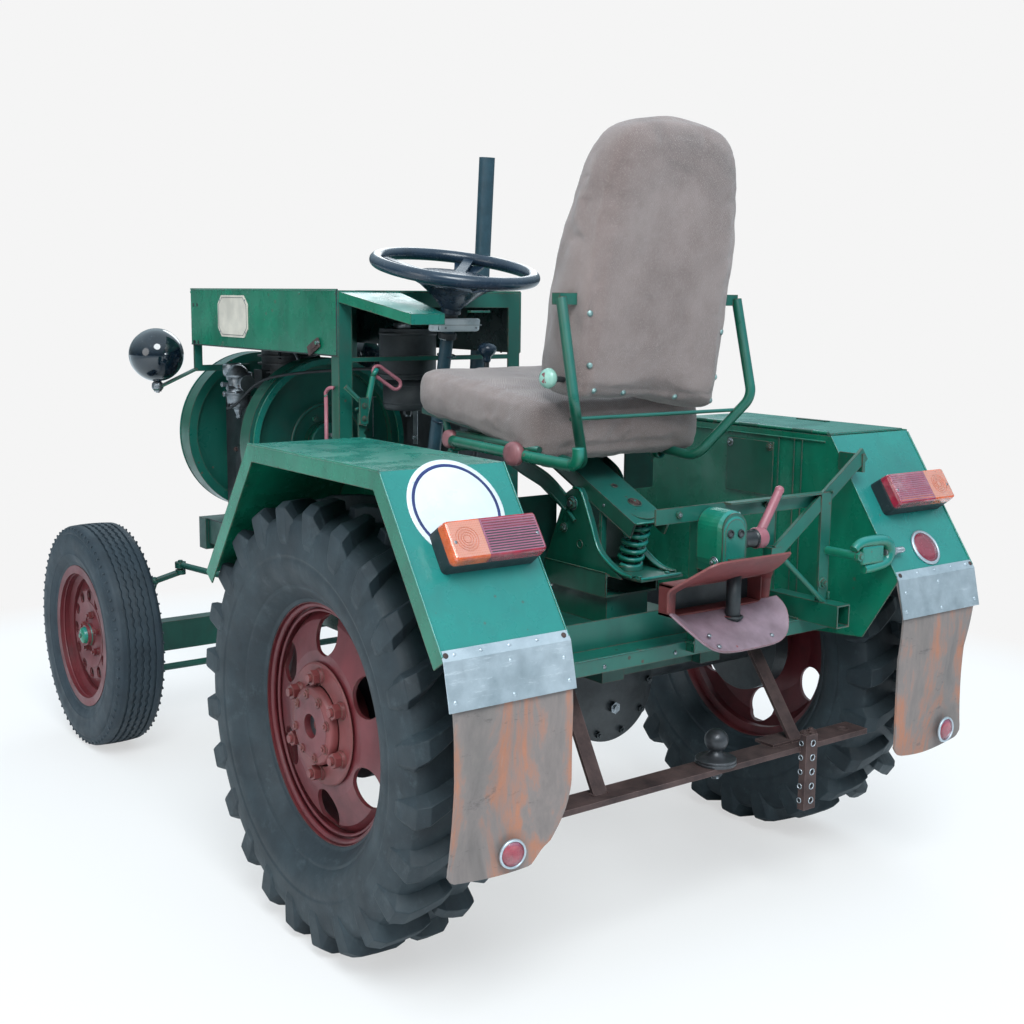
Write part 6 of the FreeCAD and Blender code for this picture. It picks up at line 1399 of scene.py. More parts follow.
def levers():
    """The gear lever and its gaiter, and the toothed hand lever with a long red ring."""
    gear = Build("gear_lever")
    foot = P(-75, -570, 640)
    gear.lathe([(0.0, 0.0), (0.03, 0.0), (0.036, 0.004), (0.034, 0.012), (0.037, 0.017),
                (0.030, 0.025), (0.032, 0.03), (0.023, 0.038), (0.025, 0.043), (0.014, 0.052),
                (0.0, 0.052)], foot - Vector((0, 0, 0.022)), (0, 0.08, 1), BLACK_RUBBER, 40)
    gear.rod(P(-75, -570, 600), P(-75, -570, 630), 0.026, DARK_GREEN)
    lever = smooth_curve([P(-75, -568, 655), P(-77, -555, 760), P(-86, -532, 920),
                          P(-98, -506, 1080), P(-100, -500, 1178)], 8)
    gear.tube(lever, 0.0068, IRON, 14)
    gear.lathe([(0.0, -0.002), (0.0085, -0.002), (0.0105, 0.004), (0.011, 0.012), (0.019, 0.0185),
                (0.0245, 0.028), (0.0235, 0.0375), (0.016, 0.0445), (0.007, 0.047), (0.0, 0.0475)],
               P(-100, -500, 1165), (0, 0.04, 1), BLACK_PLASTIC, 48)
    gear.done(CHASSIS, replace=("hand_levers",))
    hand = Build("toothed_hand_lever")
    low, joint, grip = P(240, -552, 655), P(238, -556, 1040), P(211, -550, 1132)
    up = (joint - low).normalized()
    outline = [(0.011, 0.0), (0.011, 0.385), (-0.004, 0.385)]
    height, last, pitch = 0.378, 0.16, 0.0215  # the teeth of its edge
    while height > last:
        outline += [(-0.004, height), (-0.0105, height - 0.004), (-0.0105, height - 0.0115),
                    (-0.004, height - 0.0175)]
        height -= pitch
    outline += [(-0.008, 0.15), (-0.009, 0.0)]
    place = Matrix((LEFT, up, LEFT.cross(up))).transposed().to_4x4()
    place.translation = low
    hand.plate(outline, 0.0055, place, SHADE_GREEN)
    hand.box(P(226, -574, 622), P(254, -532, 662), SHADE_GREEN, bevel=0.002)
    hand.rod(joint - up * 0.03 + Vector((0, 0.004, 0)), grip, 0.0082, GREEN, 0.0072, sides=16)
    hand.rod(P(246, -556, 1072), P(281, -566, 1108), 0.0062, GREEN, sides=14)
    hand.plate([(-0.012, -0.032), (0.012, -0.032), (0.012, 0.034), (-0.012, 0.034)], 0.006,
               Matrix.Translation(P(241, -548, 1046)) @ facing(REAR), GREEN)
    for rise in (-18, 14):
        hand.nut(P(240, -545, 1046 + rise), REAR, 0.0068, 0.005, SHADE_GREEN)
    hand.rod(P(218, -560, 1062), P(256, -560, 1050), 0.0035, SHADE_GREEN, sides=10)
    hand.done(CHASSIS, bevel=0.0007)
    ring = Build("hand_lever_ring")
    centre, lean = P(169, -553, 1127), radians(37)
    points = []
    for k in range(48):
        angle = TAU * k / 48
        flat = 0.0135 * sin(angle)
        long_way = 0.026 * copysign(1, cos(angle)) * (abs(cos(angle)) > 1e-6)
        along = long_way + 0.0135 * cos(angle)
        points.append(centre + Vector((-along * cos(lean), 0.25 * along, -along * sin(lean)))
                      + Vector((flat * sin(-lean), 0, flat * cos(lean))))
    ring.tube(points, 0.0046, PINK_PAINT, 12, closed=True)
    ring.rod(grip, P(199, -551, 1150), 0.0068, GREEN, 0.0058, sides=14)
    ring.done(CHASSIS)


# --------------------------------------------------------------------------- seat's springing

def seat_spring():
    """The coil spring between its pressed cup and the swing arm, with a stay beside it."""
    foot, head = P(0, 184, 757), P(0, 218, 868)
    axis = (head - foot).normalized()
    across = LEFT
    fore = axis.cross(across)
    length = (head - foot).length
    turns, steps, coil = 6.6, 30, 0.0245
    spring = Build("seat_coil_spring")
    points = []
    for k in range(int(turns * steps) + 1):
        turn = k / steps
        share = turn / turns
        rise = min(1, max(0, (share - 0.09) / 0.82)) * 0.86 + 0.07 * min(1, share / 0.09)
        rise += 0.07 * max(0, (share - 0.91) / 0.09)
        angle = TAU * turn
        points.append(foot + axis * length * rise + (across * cos(angle)
                                                     + fore * sin(angle)) * coil)
    spring.tube(points, 0.0054, GREEN, 12)
    spring.lathe([(0.0, 0.0), (0.033, 0.0), (0.033, 0.003), (0.0315, 0.010), (0.0185, 0.010),
                  (0.0165, 0.018), (0.0, 0.019)], P(0, 182, 744), UP, SHADE_GREEN, 48)
    spring.lathe([(0.0, 0.0), (0.0165, 0.0), (0.0165, 0.02), (0.031, 0.021), (0.031, 0.025),
                  (0.0, 0.025)], head - axis * 0.018, axis, SHADE_GREEN, 48)
    spring.rod(foot - axis * 0.008, head, 0.0075, IRON)
    spring.done(CHASSIS, replace=("seat_spring",), bevel=0.0007)


def seat_frame_details():
    """Flanges, pivots, holes and bolts of the seat's swing arm, brackets and tray."""
    trim = Build("seat_base_details")
    for side in (1, -1):
        edge = [P(side * 62.5, back, up) for back, up in
                ((62, 913), (84, 912), (100, 890), (125, 840), (150, 790), (186, 764), (226, 748),
                 (262, 745))]
        inner = [p + Vector((-side * 0.012, -0.002, 0)) for p in edge]
        curve_out, curve_in = smooth_curve(edge, 5), smooth_curve(inner, 5)
        lift = Vector((0, 0.003, 0.0025))
        trim.grid([curve_out, curve_in], SHADE_GREEN)
        trim.grid([[p + lift for p in curve_out], [p + lift for p in curve_in]], SHADE_GREEN,
                  flip=True)
        trim.tube([p + lift * 0.5 + Vector((side * 0.001, 0, 0)) for p in curve_out], 0.0032,
                  GREEN, 10)
        trim.tube([p + lift * 0.5 for p in curve_in], 0.0022, SHADE_GREEN, 8)
        out = LEFT * side
        trim.nut(P(side * 65, 66, 880), out, 0.0125, 0.009, GREEN, 0.55, washer=0.016)
        trim.nut(P(side * 65, 36, 822), out, 0.0085, 0.007, STEEL, washer=0.0115)
        trim.rod(P(side * 69, 78, 842), P(side * 69, 52, 862), 0.0045, GREEN, sides=12)
        trim.torus(P(side * 65.4, 92, 792), out, 0.009, 0.0013, SHADE_GREEN, 24, 6)
        trim.rod(P(side * 62, 60, 884), P(side * 38, 60, 884), 0.011, SHADE_GREEN)
        trim.rod(P(side * 48, 56, 848), P(side * 54, -222, 998), 0.0115, SHADE_GREEN)
        trim.tube([P(side * 76, -20, 745), P(side * 76, 194, 745)], 0.0014, STEEL, 8)
        trim.tube([P(side * 76, 194, 745), P(side * 76, 195, 691)], 0.0012, STEEL, 8)
        trim.dome(P(side * 40, 262, 745), UP, 0.006, 0.003, GREEN)
        trim.box(P(side * 34, 138, 744), P(side * 50, 146, 868), SHADE_GREEN)
    trim.tube(smooth_curve([P(-58, 286, 745), P(-30, 291, 746), P(0, 292, 746.5), P(30, 291, 746),
                            P(58, 286, 745)], 5), 0.0032, GREEN, 10)
    trim.done(CHASSIS, bevel=0.0006)
    arm = Build("swing_arm_details")
    slope = radians(24.6)
    down = Vector((0, cos(slope), -sin(slope)))
    out = Vector((0, sin(slope), cos(slope)))
    end = P(0, 256, 858)
    for back, radius, centre_x in ((-0.148, 0.0075, -0.006), (-0.078, 0.0155, -0.010)):
        spot = end + down * back + Vector((centre_x, 0, 0)) + out * 0.0004
        arm.lathe([(0.0, 0.0), (radius, 0.0), (radius, 0.0006), (0.0, 0.0006)], spot, out,
                  BLACK_RUBBER, 32)
        arm.torus(spot + out * 0.0006, out, radius, 0.0012, SHADE_GREEN, 32, 8)
    bolt = end + down * -0.078 + Vector((-0.009, 0, 0))
    arm.torus(bolt + out * 0.0012, out, 0.0098, 0.0022, RUST, 28, 8)
    arm.nut(bolt + out * 0.0008, out, 0.007, 0.0036, RUST)
    for side in (1, -1):
        wall = Vector((side * 0.0502, 0, 0))
        arm.tube([end + wall - out * 0.035 + down * -0.33, end + wall - out * 0.035,
                  end + wall - out * 0.004], 0.0017, SHADE_GREEN, 8)
        arm.dome(end + wall - out * 0.018 + down * -0.105, LEFT * side, 0.004, 0.0018, STEEL)
    arm.tube([end + Vector((-0.047, 0, 0)), end + Vector((0.047, 0, 0))], 0.002, GREEN, 10)
    arm.done(CHASSIS)


def seat_knobs():
    """The weight and height knobs, the arm's clamps and the seat's runners."""
    knobs = Build("seat_knobs")
    for place, out, colour, size in ((P(214, -203, 1007), Vector((1, 0.1, 0.05)), KNOB_RED, 0.021),
                                     (P(246, 86, 1003), Vector((1, 0.15, 0.05)), KNOB_RED, 0.026)):
        out = out.normalized()
        knobs.lathe([(0.0, 0.012), (size * 0.6, 0.0115), (size * 0.93, 0.008), (size, 0.002),
                     (size, -0.006), (size * 0.9, -0.010), (size * 0.4, -0.012),
                     (size * 0.32, -0.02), (0.0, -0.02)], place, out, colour, 48)
        knobs.rod(place - out * 0.016, place - out * 0.07, 0.0065, IRON, sides=20)
    out = Vector((1, 0.25, 0.1)).normalized()
    centre = P(254, 212, 1169)
    knobs.lathe([(0.0, 0.013), (0.011, 0.012), (0.0185, 0.007), (0.021, 0.0), (0.0185, -0.006),
                 (0.011, -0.010), (0.0, -0.011)], centre, out, KNOB_GREEN, 48)
    knobs.rod(centre, centre - out * 0.05, 0.006, IRON, sides=20)
    knobs.done(CHASSIS)
    runner = Build("seat_runners")
    for side in (1, -1):
        runner.box(P(side * 150, -246, 1009), P(side * 170, 120, 1022), SHADE_GREEN, bevel=0.002)
        runner.box(P(side * 144, -236, 1000), P(side * 176, 96, 1007), SHADE_GREEN, bevel=0.0015)
        for back in (-220, 70):
            runner.nut(P(side * 160, back, 1000), -UP, 0.008, 0.006, STEEL)
        runner.rod(P(side * 160, -210, 1000), P(side * 205, -205, 985), 0.0075, GREEN, sides=16)
    runner.rod(P(-204, -205, 985), P(204, -205, 985), 0.0085, GREEN, sides=18)
    runner.rod(P(198, -212, 972), P(206, -236, 1060), 0.008, GREEN, sides=16)
    runner.ball(P(199, -212, 975), 0.013, GREEN, rings=10)
    runner.tube(smooth_curve([P(232, -165, 1007), P(232, 60, 1001), P(232, 240, 996),
                              P(233, 272, 999), P(234, 286, 1014), P(235, 288, 1034)], 6), 0.0125,
                GREEN, 20)
    runner.rod(P(226, 150, 1016), P(226, -150, 1021), 0.0075, SHADE_GREEN, sides=16)
    for low, high in (((-172, -42, 690), (-22, -38, 916)), ((28, -42, 690), (178, -38, 886)),
                      ((-266, -43, 880), (-176, -37, 1000)), ((-112, -44, 900), (-60, -36, 1004))):
        runner.box(P(*low), P(*high), DARK_GREEN, bevel=0.0015)
    runner.rod(P(-160, -222, 1003), P(160, -222, 1003), 0.009, SHADE_GREEN, sides=18)
    runner.box(P(-150, -226, 1022), P(150, 104, 1036), DARK_GREEN, bevel=0.003)
    for side in (1, -1):
        link = smooth_curve([P(side * 112, -196, 1012), P(side * 112, -80, 962),
                             P(side * 100, 20, 925), P(side * 84, 66, 884)], 5)
        flat = [[p + Vector((0, 0, rise)) for p in link] for rise in (-0.017, 0.017)]
        runner.grid(flat, DARK_GREEN)
        runner.grid([[p + Vector((side * 0.005, 0, 0)) for p in row] for row in flat], DARK_GREEN)
        for rise, paint in ((0.017, SHADE_GREEN), (-0.017, DARK_GREEN)):
            runner.tube([p + Vector((side * 0.0025, 0, rise)) for p in link], 0.0034, paint, 8)
        for along in (-18, 92):
            runner.lathe([(0.0112, -0.011), (0.0145, -0.010), (0.0145, 0.010), (0.0112, 0.011)],
                         P(side * 160, along, 984), REAR, GREEN, 32, closed=True)
    runner.done(CHASSIS)


steering_wheel_hub()
switch_housing()
levers()
seat_spring()
seat_frame_details()
seat_knobs()


# ---------------------------------------------------------------------------- hood and lamps

def hood_fittings():
    """The blank plate, the clasp, bolts and rolled edges on the hood, and its strap and rod."""
    plate = Build("hood_plate")
    cut = 0.024
    half_y, half_z = 0.0965, 0.0585
    eight = [(half_y - cut, -half_z), (half_y, -half_z + cut), (half_y, half_z - cut),
             (half_y - cut, half_z), (-half_y + cut, half_z), (-half_y, half_z - cut),
             (-half_y, -half_z + cut), (-half_y + cut, -half_z)]
    centre = P(0, -1197, 1268)
    centre.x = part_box("hood")[1][0]
    place = Matrix((REAR, UP, LEFT)).transposed().to_4x4()
    place.translation = centre
    plate.plate(eight, 0.0022, place, PLATE_CREAM)
    plate.tube([centre + Vector((0.0022, y * 0.93, z * 0.89)) for y, z in eight], 0.0009, IRON, 6,
               closed=True)
    for y, z in ((-0.082, -0.045), (0.082, -0.045), (0.082, 0.045), (-0.082, 0.045)):
        plate.dome(centre + Vector((0.002, y, z)), LEFT, 0.0032, 0.0014, STEEL)
    plate.done(CHASSIS, bevel=0.0005)
    trim = Build("hood_trim")
    face, front, rear = 282, -1484, -602
    for sign in (1, -1):
        out = Vector((sign, 0, 0))
        for back, up in ((-1468, 1297), (-1441, 1297), (-1462, 1188), (-1438, 1188), (-1470, 1188)):
            trim.lathe([(0.0, 0.0007), (0.0052, 0.0007), (0.0056, 0.0), (0.0, 0.0)],
                       P(sign * face, back, up), out, BLACK_RUBBER, 20)
        for back in (front, -1100, -800, -612):
            trim.dome(P(sign * face, back, 1334), out, 0.0042, 0.002, GREEN)
        clasp = P(sign * 283, -716, 1200)
        tilt = Matrix.Rotation(radians(24 * sign), 4, "X")
        trim.block(clasp + Vector((sign * 0.0035, 0, 0)), (0.006, 0.062, 0.026), RUST, tilt, 0.0015)
        trim.block(clasp + Vector((sign * 0.0075, 0.006, 0.003)), (0.005, 0.03, 0.015), RUST, tilt,
                   0.0012)
        trim.rod(clasp + Vector((sign * 0.005, 0.028, 0.011)),
                 clasp + Vector((sign * 0.014, 0.028, 0.011)), 0.005, STEEL, sides=14)
        for shift, start, end, thick, paint in (
                (-1, (front - 2, 1343), (rear, 1343), 0.0026, GREEN),
                (0.5, (rear, 1342), (rear, 1182), 0.0022, GREEN),
                (0.5, (front, 1181), (rear, 1181), 0.0019, SHADE_GREEN)):
            trim.tube([P(sign * (face + shift), *start), P(sign * (face + shift), *end)], thick,
                      paint, 10)
    trim.done(CHASSIS, bevel=0.0005)
    strap = Build("column_bracket_and_rod")
    strap.box(P(-76, -470, 1290), P(-16, -452, 1295), GREEN, bevel=0.001)
    strap.rod(P(294, -640, 1078), P(294, -640, 800), 0.0048, PINK_PAINT, sides=14)
    strap.tube(smooth_curve([P(294, -640, 1078), P(294, -640, 1090), P(290, -630, 1100),
                             P(284, -618, 1101)], 5), 0.0048, PINK_PAINT, 12)
    strap.done(CHASSIS)


def headlamp_fittings():
    """Glass, chromed bezel and stem bracket of each headlamp."""
    for name, side in SIDES:
        lamp = Build("headlamp_" + name)
        centre = P(side * 375, -1530, 1148)
        ahead = -REAR
        lamp.lathe([(0.0, 0.052), (0.03, 0.0505), (0.055, 0.047), (0.063, 0.044), (0.063, 0.04),
                    (0.0, 0.04)], centre, ahead, GLASS, 64)
        lamp.lathe([(0.061, 0.046), (0.0665, 0.047), (0.071, 0.041), (0.0705, 0.03), (0.0665, 0.03),
                    (0.061, 0.042)], centre, ahead, STEEL, 64, closed=True)
        lamp.lathe([(0.0, -0.0835), (0.006, -0.083), (0.011, -0.0795), (0.012, -0.074),
                    (0.0, -0.074)], centre, ahead, LAMP_BLACK, 32)
        lamp.lathe([(0.0, 0.0), (0.016, 0.0), (0.0175, 0.005), (0.0165, 0.016), (0.0115, 0.022),
                    (0.0, 0.024)], centre - Vector((0, 0, 0.101)), UP, STEEL, 32)
        lamp.nut(centre - Vector((0, 0, 0.101)), -UP, 0.0115, 0.008, STEEL)
        lamp.done(CHASSIS, bevel=0.0006)


# ----------------------------------------------------------------------------------- engine

ENGINE_Y, CRANK_Z, CARB_X = -1416, 897, 168


def engine_details():
    """Head, nuts, rocker box, pushrods, covers, carburettor casting and pipes of the engine."""
    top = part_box("engine_cylinder")[1][2]
    middle_y = P(0, ENGINE_Y, 0).y
    head = Build("engine_head")
    head.block((0, middle_y, top - 0.012), (0.13, 0.15, 0.02), IRON, bevel=0.004)
    head.block((0, middle_y - 0.01, top + 0.006), (0.066, 0.12, 0.032), IRON, bevel=0.01)
    for x, y in ((-56, -58), (56, -58), (56, 58), (-56, 58), (-58, 0), (58, 0)):
        head.nut((x / 1000, middle_y + y / 1000, top - 0.003), UP, 0.0105, 0.011,
                 RUST, washer=0.014)
    for x in (-34, 34):
        head.tube(smooth_curve([P(x, -1300, 1158), P(x, -1282, 1140), P(x * 0.9, -1276, 1090),
                                P(x * 0.8, -1276, 1012)], 5), 0.0065, STEEL, 12)
    head.done(CHASSIS, bevel=0.0008)
    case = Build("engine_case_details")
    bolt_ring = 86
    for end, out in ((-1588, -REAR), (-1244, REAR)):
        case.lathe([(0.098, 0.0), (0.098, 0.004), (0.09, 0.0065), (0.05, 0.0075), (0.045, 0.012),
                    (0.03, 0.012), (0.03, 0.0)], P(0, end, CRANK_Z), out, IRON, 64, closed=True)
        for number in range(8):
            angle = TAU * (number + 0.5) / 8
            spot = P(bolt_ring * cos(angle), end, CRANK_Z + bolt_ring * sin(angle))
            case.nut(spot, out, 0.0075, 0.008, IRON)
    for side in (1, -1):
        out = LEFT * side
        case.block(P(side * 133, ENGINE_Y, 790), (0.009, 0.19, 0.15), IRON, bevel=0.004)
        for back, up in ((-1500, 855), (-1332, 855), (-1500, 725), (-1332, 725), (ENGINE_Y, 858),
                         (ENGINE_Y, 722)):
            case.nut(P(side * 137, back, up), out, 0.0075, 0.007, RUST)
        case.block(P(side * 122, ENGINE_Y, 634), (0.07, 0.30, 0.022), IRON, bevel=0.004)
        for back in (-1540, -1292):
            case.nut(P(side * 146, back, 644), UP, 0.0115, 0.011, RUST, 0.55, washer=0.016)
    case.rod(P(130, -1340, 930), P(158, -1340, 930), 0.016, IRON)
    case.nut(P(158, -1340, 930), LEFT, 0.0145, 0.012, STEEL)
    case.tube(smooth_curve([P(165, -1340, 930), P(182, -1336, 928), P(186, -1300, 912),
                            P(182, -1262, 876), P(150, -1240, 846)], 6), 0.007, STEEL, 12)
    case.done(CHASSIS, bevel=0.0008)
    body = Build("carburettor_casting")
    centre = P(CARB_X, ENGINE_Y, 0)

    def at(z):
        return Vector((centre.x, centre.y, z / 1000))

    body.lathe([(0.0, 0.0), (0.006, 0.0), (0.0075, 0.004), (0.012, 0.012), (0.014, 0.02),
                (0.0265, 0.028), (0.0335, 0.04), (0.0345, 0.052), (0.0345, 0.064), (0.0375, 0.066),
                (0.0375, 0.0705), (0.0345, 0.073), (0.0335, 0.079), (0.027, 0.088), (0.024, 0.092),
                (0.0, 0.092)], at(966), UP, STEEL, 48)
    body.lathe([(0.0, 0.0), (0.027, 0.0), (0.029, 0.006), (0.029, 0.03), (0.027, 0.034),
                (0.035, 0.037), (0.036, 0.043), (0.032, 0.049), (0.026, 0.062), (0.015, 0.072),
                (0.0, 0.075)], at(1046), UP, STEEL, 48)
    for number in range(4):
        angle = TAU * (number + 0.5) / 4
        body.dome(at(1091) + Vector((0.0315 * cos(angle), 0.0315 * sin(angle), 0)),
                  UP, 0.0036, 0.0024, STEEL)
    body.lathe([(0.0, 0.0), (0.02, 0.0), (0.021, 0.01), (0.026, 0.014), (0.029, 0.02),
                (0.029, 0.045), (0.026, 0.049), (0.0, 0.05)], P(CARB_X, -1448, 1072),
               (0, -0.15, 1), STEEL, 40)
    body.rod(P(CARB_X, -1380, 1066), P(CARB_X, -1354, 1066), 0.0195, STEEL)
    body.rod(P(CARB_X, -1354, 1066), P(CARB_X, -1349, 1066), 0.025, RUST)
    body.block(P(137, ENGINE_Y, 1075), (0.008, 0.072, 0.046), STEEL, bevel=0.003)
    for back in (-1444, -1388):
        body.nut(P(141, back, 1075), LEFT, 0.0068, 0.007, STEEL)
    for back, up in ((-1436, 1058), (-1398, 1050), (-1424, 1030)):
        body.rod(P(CARB_X, back, up), P(206, back - 4, up + 2), 0.0065, STEEL, sides=14)
        body.nut(P(204, back - 4, up + 2), LEFT, 0.0085, 0.006, RUST)
    body.rod(P(150, -1392, 1044), P(196, -1375, 1040), 0.0032, RUST, sides=10)
    body.nut(at(968), -UP, 0.0085, 0.008, STEEL)
    body.tube(smooth_curve([P(196, -1414, 1004), P(214, -1390, 992), P(214, -1330, 1010),
                            P(190, -1180, 1090), P(120, -900, 1128), P(60, -762, 1136)], 8), 0.0042,
              BLACK_RUBBER, 10)
    body.done(CHASSIS, replace=("carburettor",), bevel=0.0007)


def flywheel_details():
    """Hub bosses, key, bolt ring and machined rings on the two flywheels."""
    wheel = Build("flywheel_details")
    for face, out in ((-1145, 1), (-1672, -1)):
        axis = Vector((0, out, 0))
        centre = P(0, face, CRANK_Z)
        wheel.lathe([(0.232, -0.001), (0.2505, -0.001), (0.2512, -0.003), (0.2512, -0.006),
                     (0.232, -0.006)], centre, axis, GREEN, 96, closed=True)
        wheel.lathe([(0.11, -0.0235), (0.114, -0.0205), (0.1185, -0.0205), (0.122, -0.0235)],
                    centre, axis, SHADE_GREEN, 72, closed=True)
        wheel.lathe([(0.0, 0.006), (0.02, 0.006), (0.0245, 0.003), (0.0245, -0.006),
                     (0.058, -0.006), (0.062, -0.009), (0.062, -0.02), (0.0, -0.02)], centre,
                    axis, SHADE_GREEN, 64)
        wheel.block(centre + Vector((0, out * 0.001, 0.0265)), (0.011, 0.012, 0.01), STEEL, None,
                    0.001)
        for number in range(6):
            angle = TAU * number / 6
            spot = centre + Vector((cos(angle) * 0.085, -out * 0.022, sin(angle) * 0.085))
            wheel.nut(spot, axis, 0.0095, 0.008, SHADE_GREEN)
    wheel.done("crankshaft", bevel=0.0008)


def tank_details():
    """Bands, cap and outlet of the dark tank, and the battery box's lid straps and leads."""
    centre = P(15, -700, 0)
    tank = Build("tank_details")

    def at(z):
        return Vector((centre.x, centre.y, z / 1000))

    for height in (1124, 1232):
        tank.lathe([(0.0745, -0.004), (0.0768, -0.003), (0.0768, 0.003), (0.0745, 0.004)],
                   at(height), UP, IRON, 64, closed=True)
    tank.lathe([(0.0, 0.0), (0.021, 0.0), (0.023, 0.003), (0.023, 0.015), (0.0, 0.017)],
               at(1244) + Vector((0.03, 0.02, 0)), UP, STEEL, 32)
    tank.lathe([(0.0, 0.0), (0.058, 0.0), (0.064, 0.004), (0.066, 0.012), (0.066, 0.082),
                (0.0, 0.082)], at(1031), UP, IRON, 56)
    for height in (1048, 1098):
        tank.torus(at(height), UP, 0.066, 0.0016, IRON, 56, 8)
    tank.rod(at(1032), at(1012), 0.008, STEEL, sides=18)
    tank.nut(at(1026), -UP, 0.0125, 0.009, STEEL)
    tank.done(CHASSIS)
    low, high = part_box("battery_box")
    case = Build("battery_box_details")
    mid_x = (low[0] + high[0]) / 2
    for share in (0.22, 0.78):
        y = low[1] + (high[1] - low[1]) * share
        case.box((low[0] + 0.003, y - 0.012, high[2]),
                 (high[0] - 0.003, y + 0.012, high[2] + 0.002), STEEL, bevel=0.0006)
        for x in (high[0], low[0] + 0.002):
            case.box((x - 0.002, y - 0.012, high[2] - 0.12),
                     (x, y + 0.012, high[2] + 0.002), STEEL, bevel=0.0006)
            case.nut((x, y, high[2] - 0.1), (1 if x > mid_x else -1, 0, 0), 0.0075, 0.006,
                     STEEL)
    for k in range(3):
        z = low[2] + 0.19 + 0.06 * k
        case.tube([Vector((high[0] - 0.0035, low[1] + 0.03, z)),
                   Vector((high[0] - 0.0035, high[1] - 0.03, z))], 0.003, IRON, 8)
    case.done(CHASSIS)


# ---------------------------------------------------------------------------------- towing

def coupling_details():
    """The coupling's cast housing with bolts, side shaft and lever."""
    part = Build("coupling_housing_cover")
    rings = []
    for back, grow, drop in ((430, 0.004, 0.0), (466, 0.005, 0.0), (486, 0.004, 0.0),
                             (496, 0.0, 0.002), (500.5, -0.006, 0.006)):
        ring = []
        half = 0.034 + grow
        middle_point = P(0, back, 876 - drop * 1000)
        for k in range(17):
            angle = pi * k / 16
            ring.append(middle_point + Vector((half * cos(angle), 0, half * sin(angle))))
        for x, z in ((-half, 0.03), (-half * 0.97, 0.06), (-half * 0.78, 0.083),
                     (half * 0.78, 0.083), (half * 0.97, 0.06), (half, 0.03)):
            ring.append(middle_point + Vector((x, 0, -z - min(grow, 0))))
        rings.append(ring)
    loft(part, rings, GREEN, smooth=False)
    for x, z in ((-14, 868), (15, 870)):
        part.lathe([(0.0, 0.001), (0.005, 0.001), (0.005, 0.004), (0.0085, 0.004), (0.0085, 0.0),
                    (0.0, 0.0)], P(x, 500, z), REAR, IRON, 24)
    part.nut(P(39, 482, 812), LEFT, 0.0085, 0.007, STEEL, washer=0.012)
    part.nut(P(-34, 470, 898), (-0.8, 0, 0.6), 0.007, 0.006, STEEL)
    part.done(CHASSIS, bevel=0.002)
    shaft = Build("coupling_shaft_and_lever")
    shaft_y = 463
    shaft.lathe([(0.0, 0.0), (0.022, 0.0), (0.0235, 0.004), (0.0225, 0.014), (0.019, 0.018),
                 (0.0175, 0.03), (0.0175, 0.055), (0.02, 0.058), (0.02, 0.066), (0.0, 0.066)],
                P(-32, shaft_y, 845), -LEFT, IRON, 40)
    shaft.lathe([(0.0, 0.0), (0.0205, 0.0), (0.022, 0.003), (0.022, 0.022), (0.02, 0.026),
                 (0.0, 0.026)], P(-92, shaft_y, 845), -LEFT, PINK_PAINT, 40)
    lever = smooth_curve([P(-102, shaft_y, 836), P(-112, 462, 858), P(-138, 460, 894),
                          P(-168, 458, 938)], 6)
    shaft.tube(lever, [0.0105 - 0.0012 * k / (len(lever) - 1) for k in range(len(lever))],
               PINK_PAINT, 16)
    shaft.ball(P(-168, 458, 938), 0.0102, PINK_PAINT, rings=12)
    shaft.done(CHASSIS, bevel=0.0006)


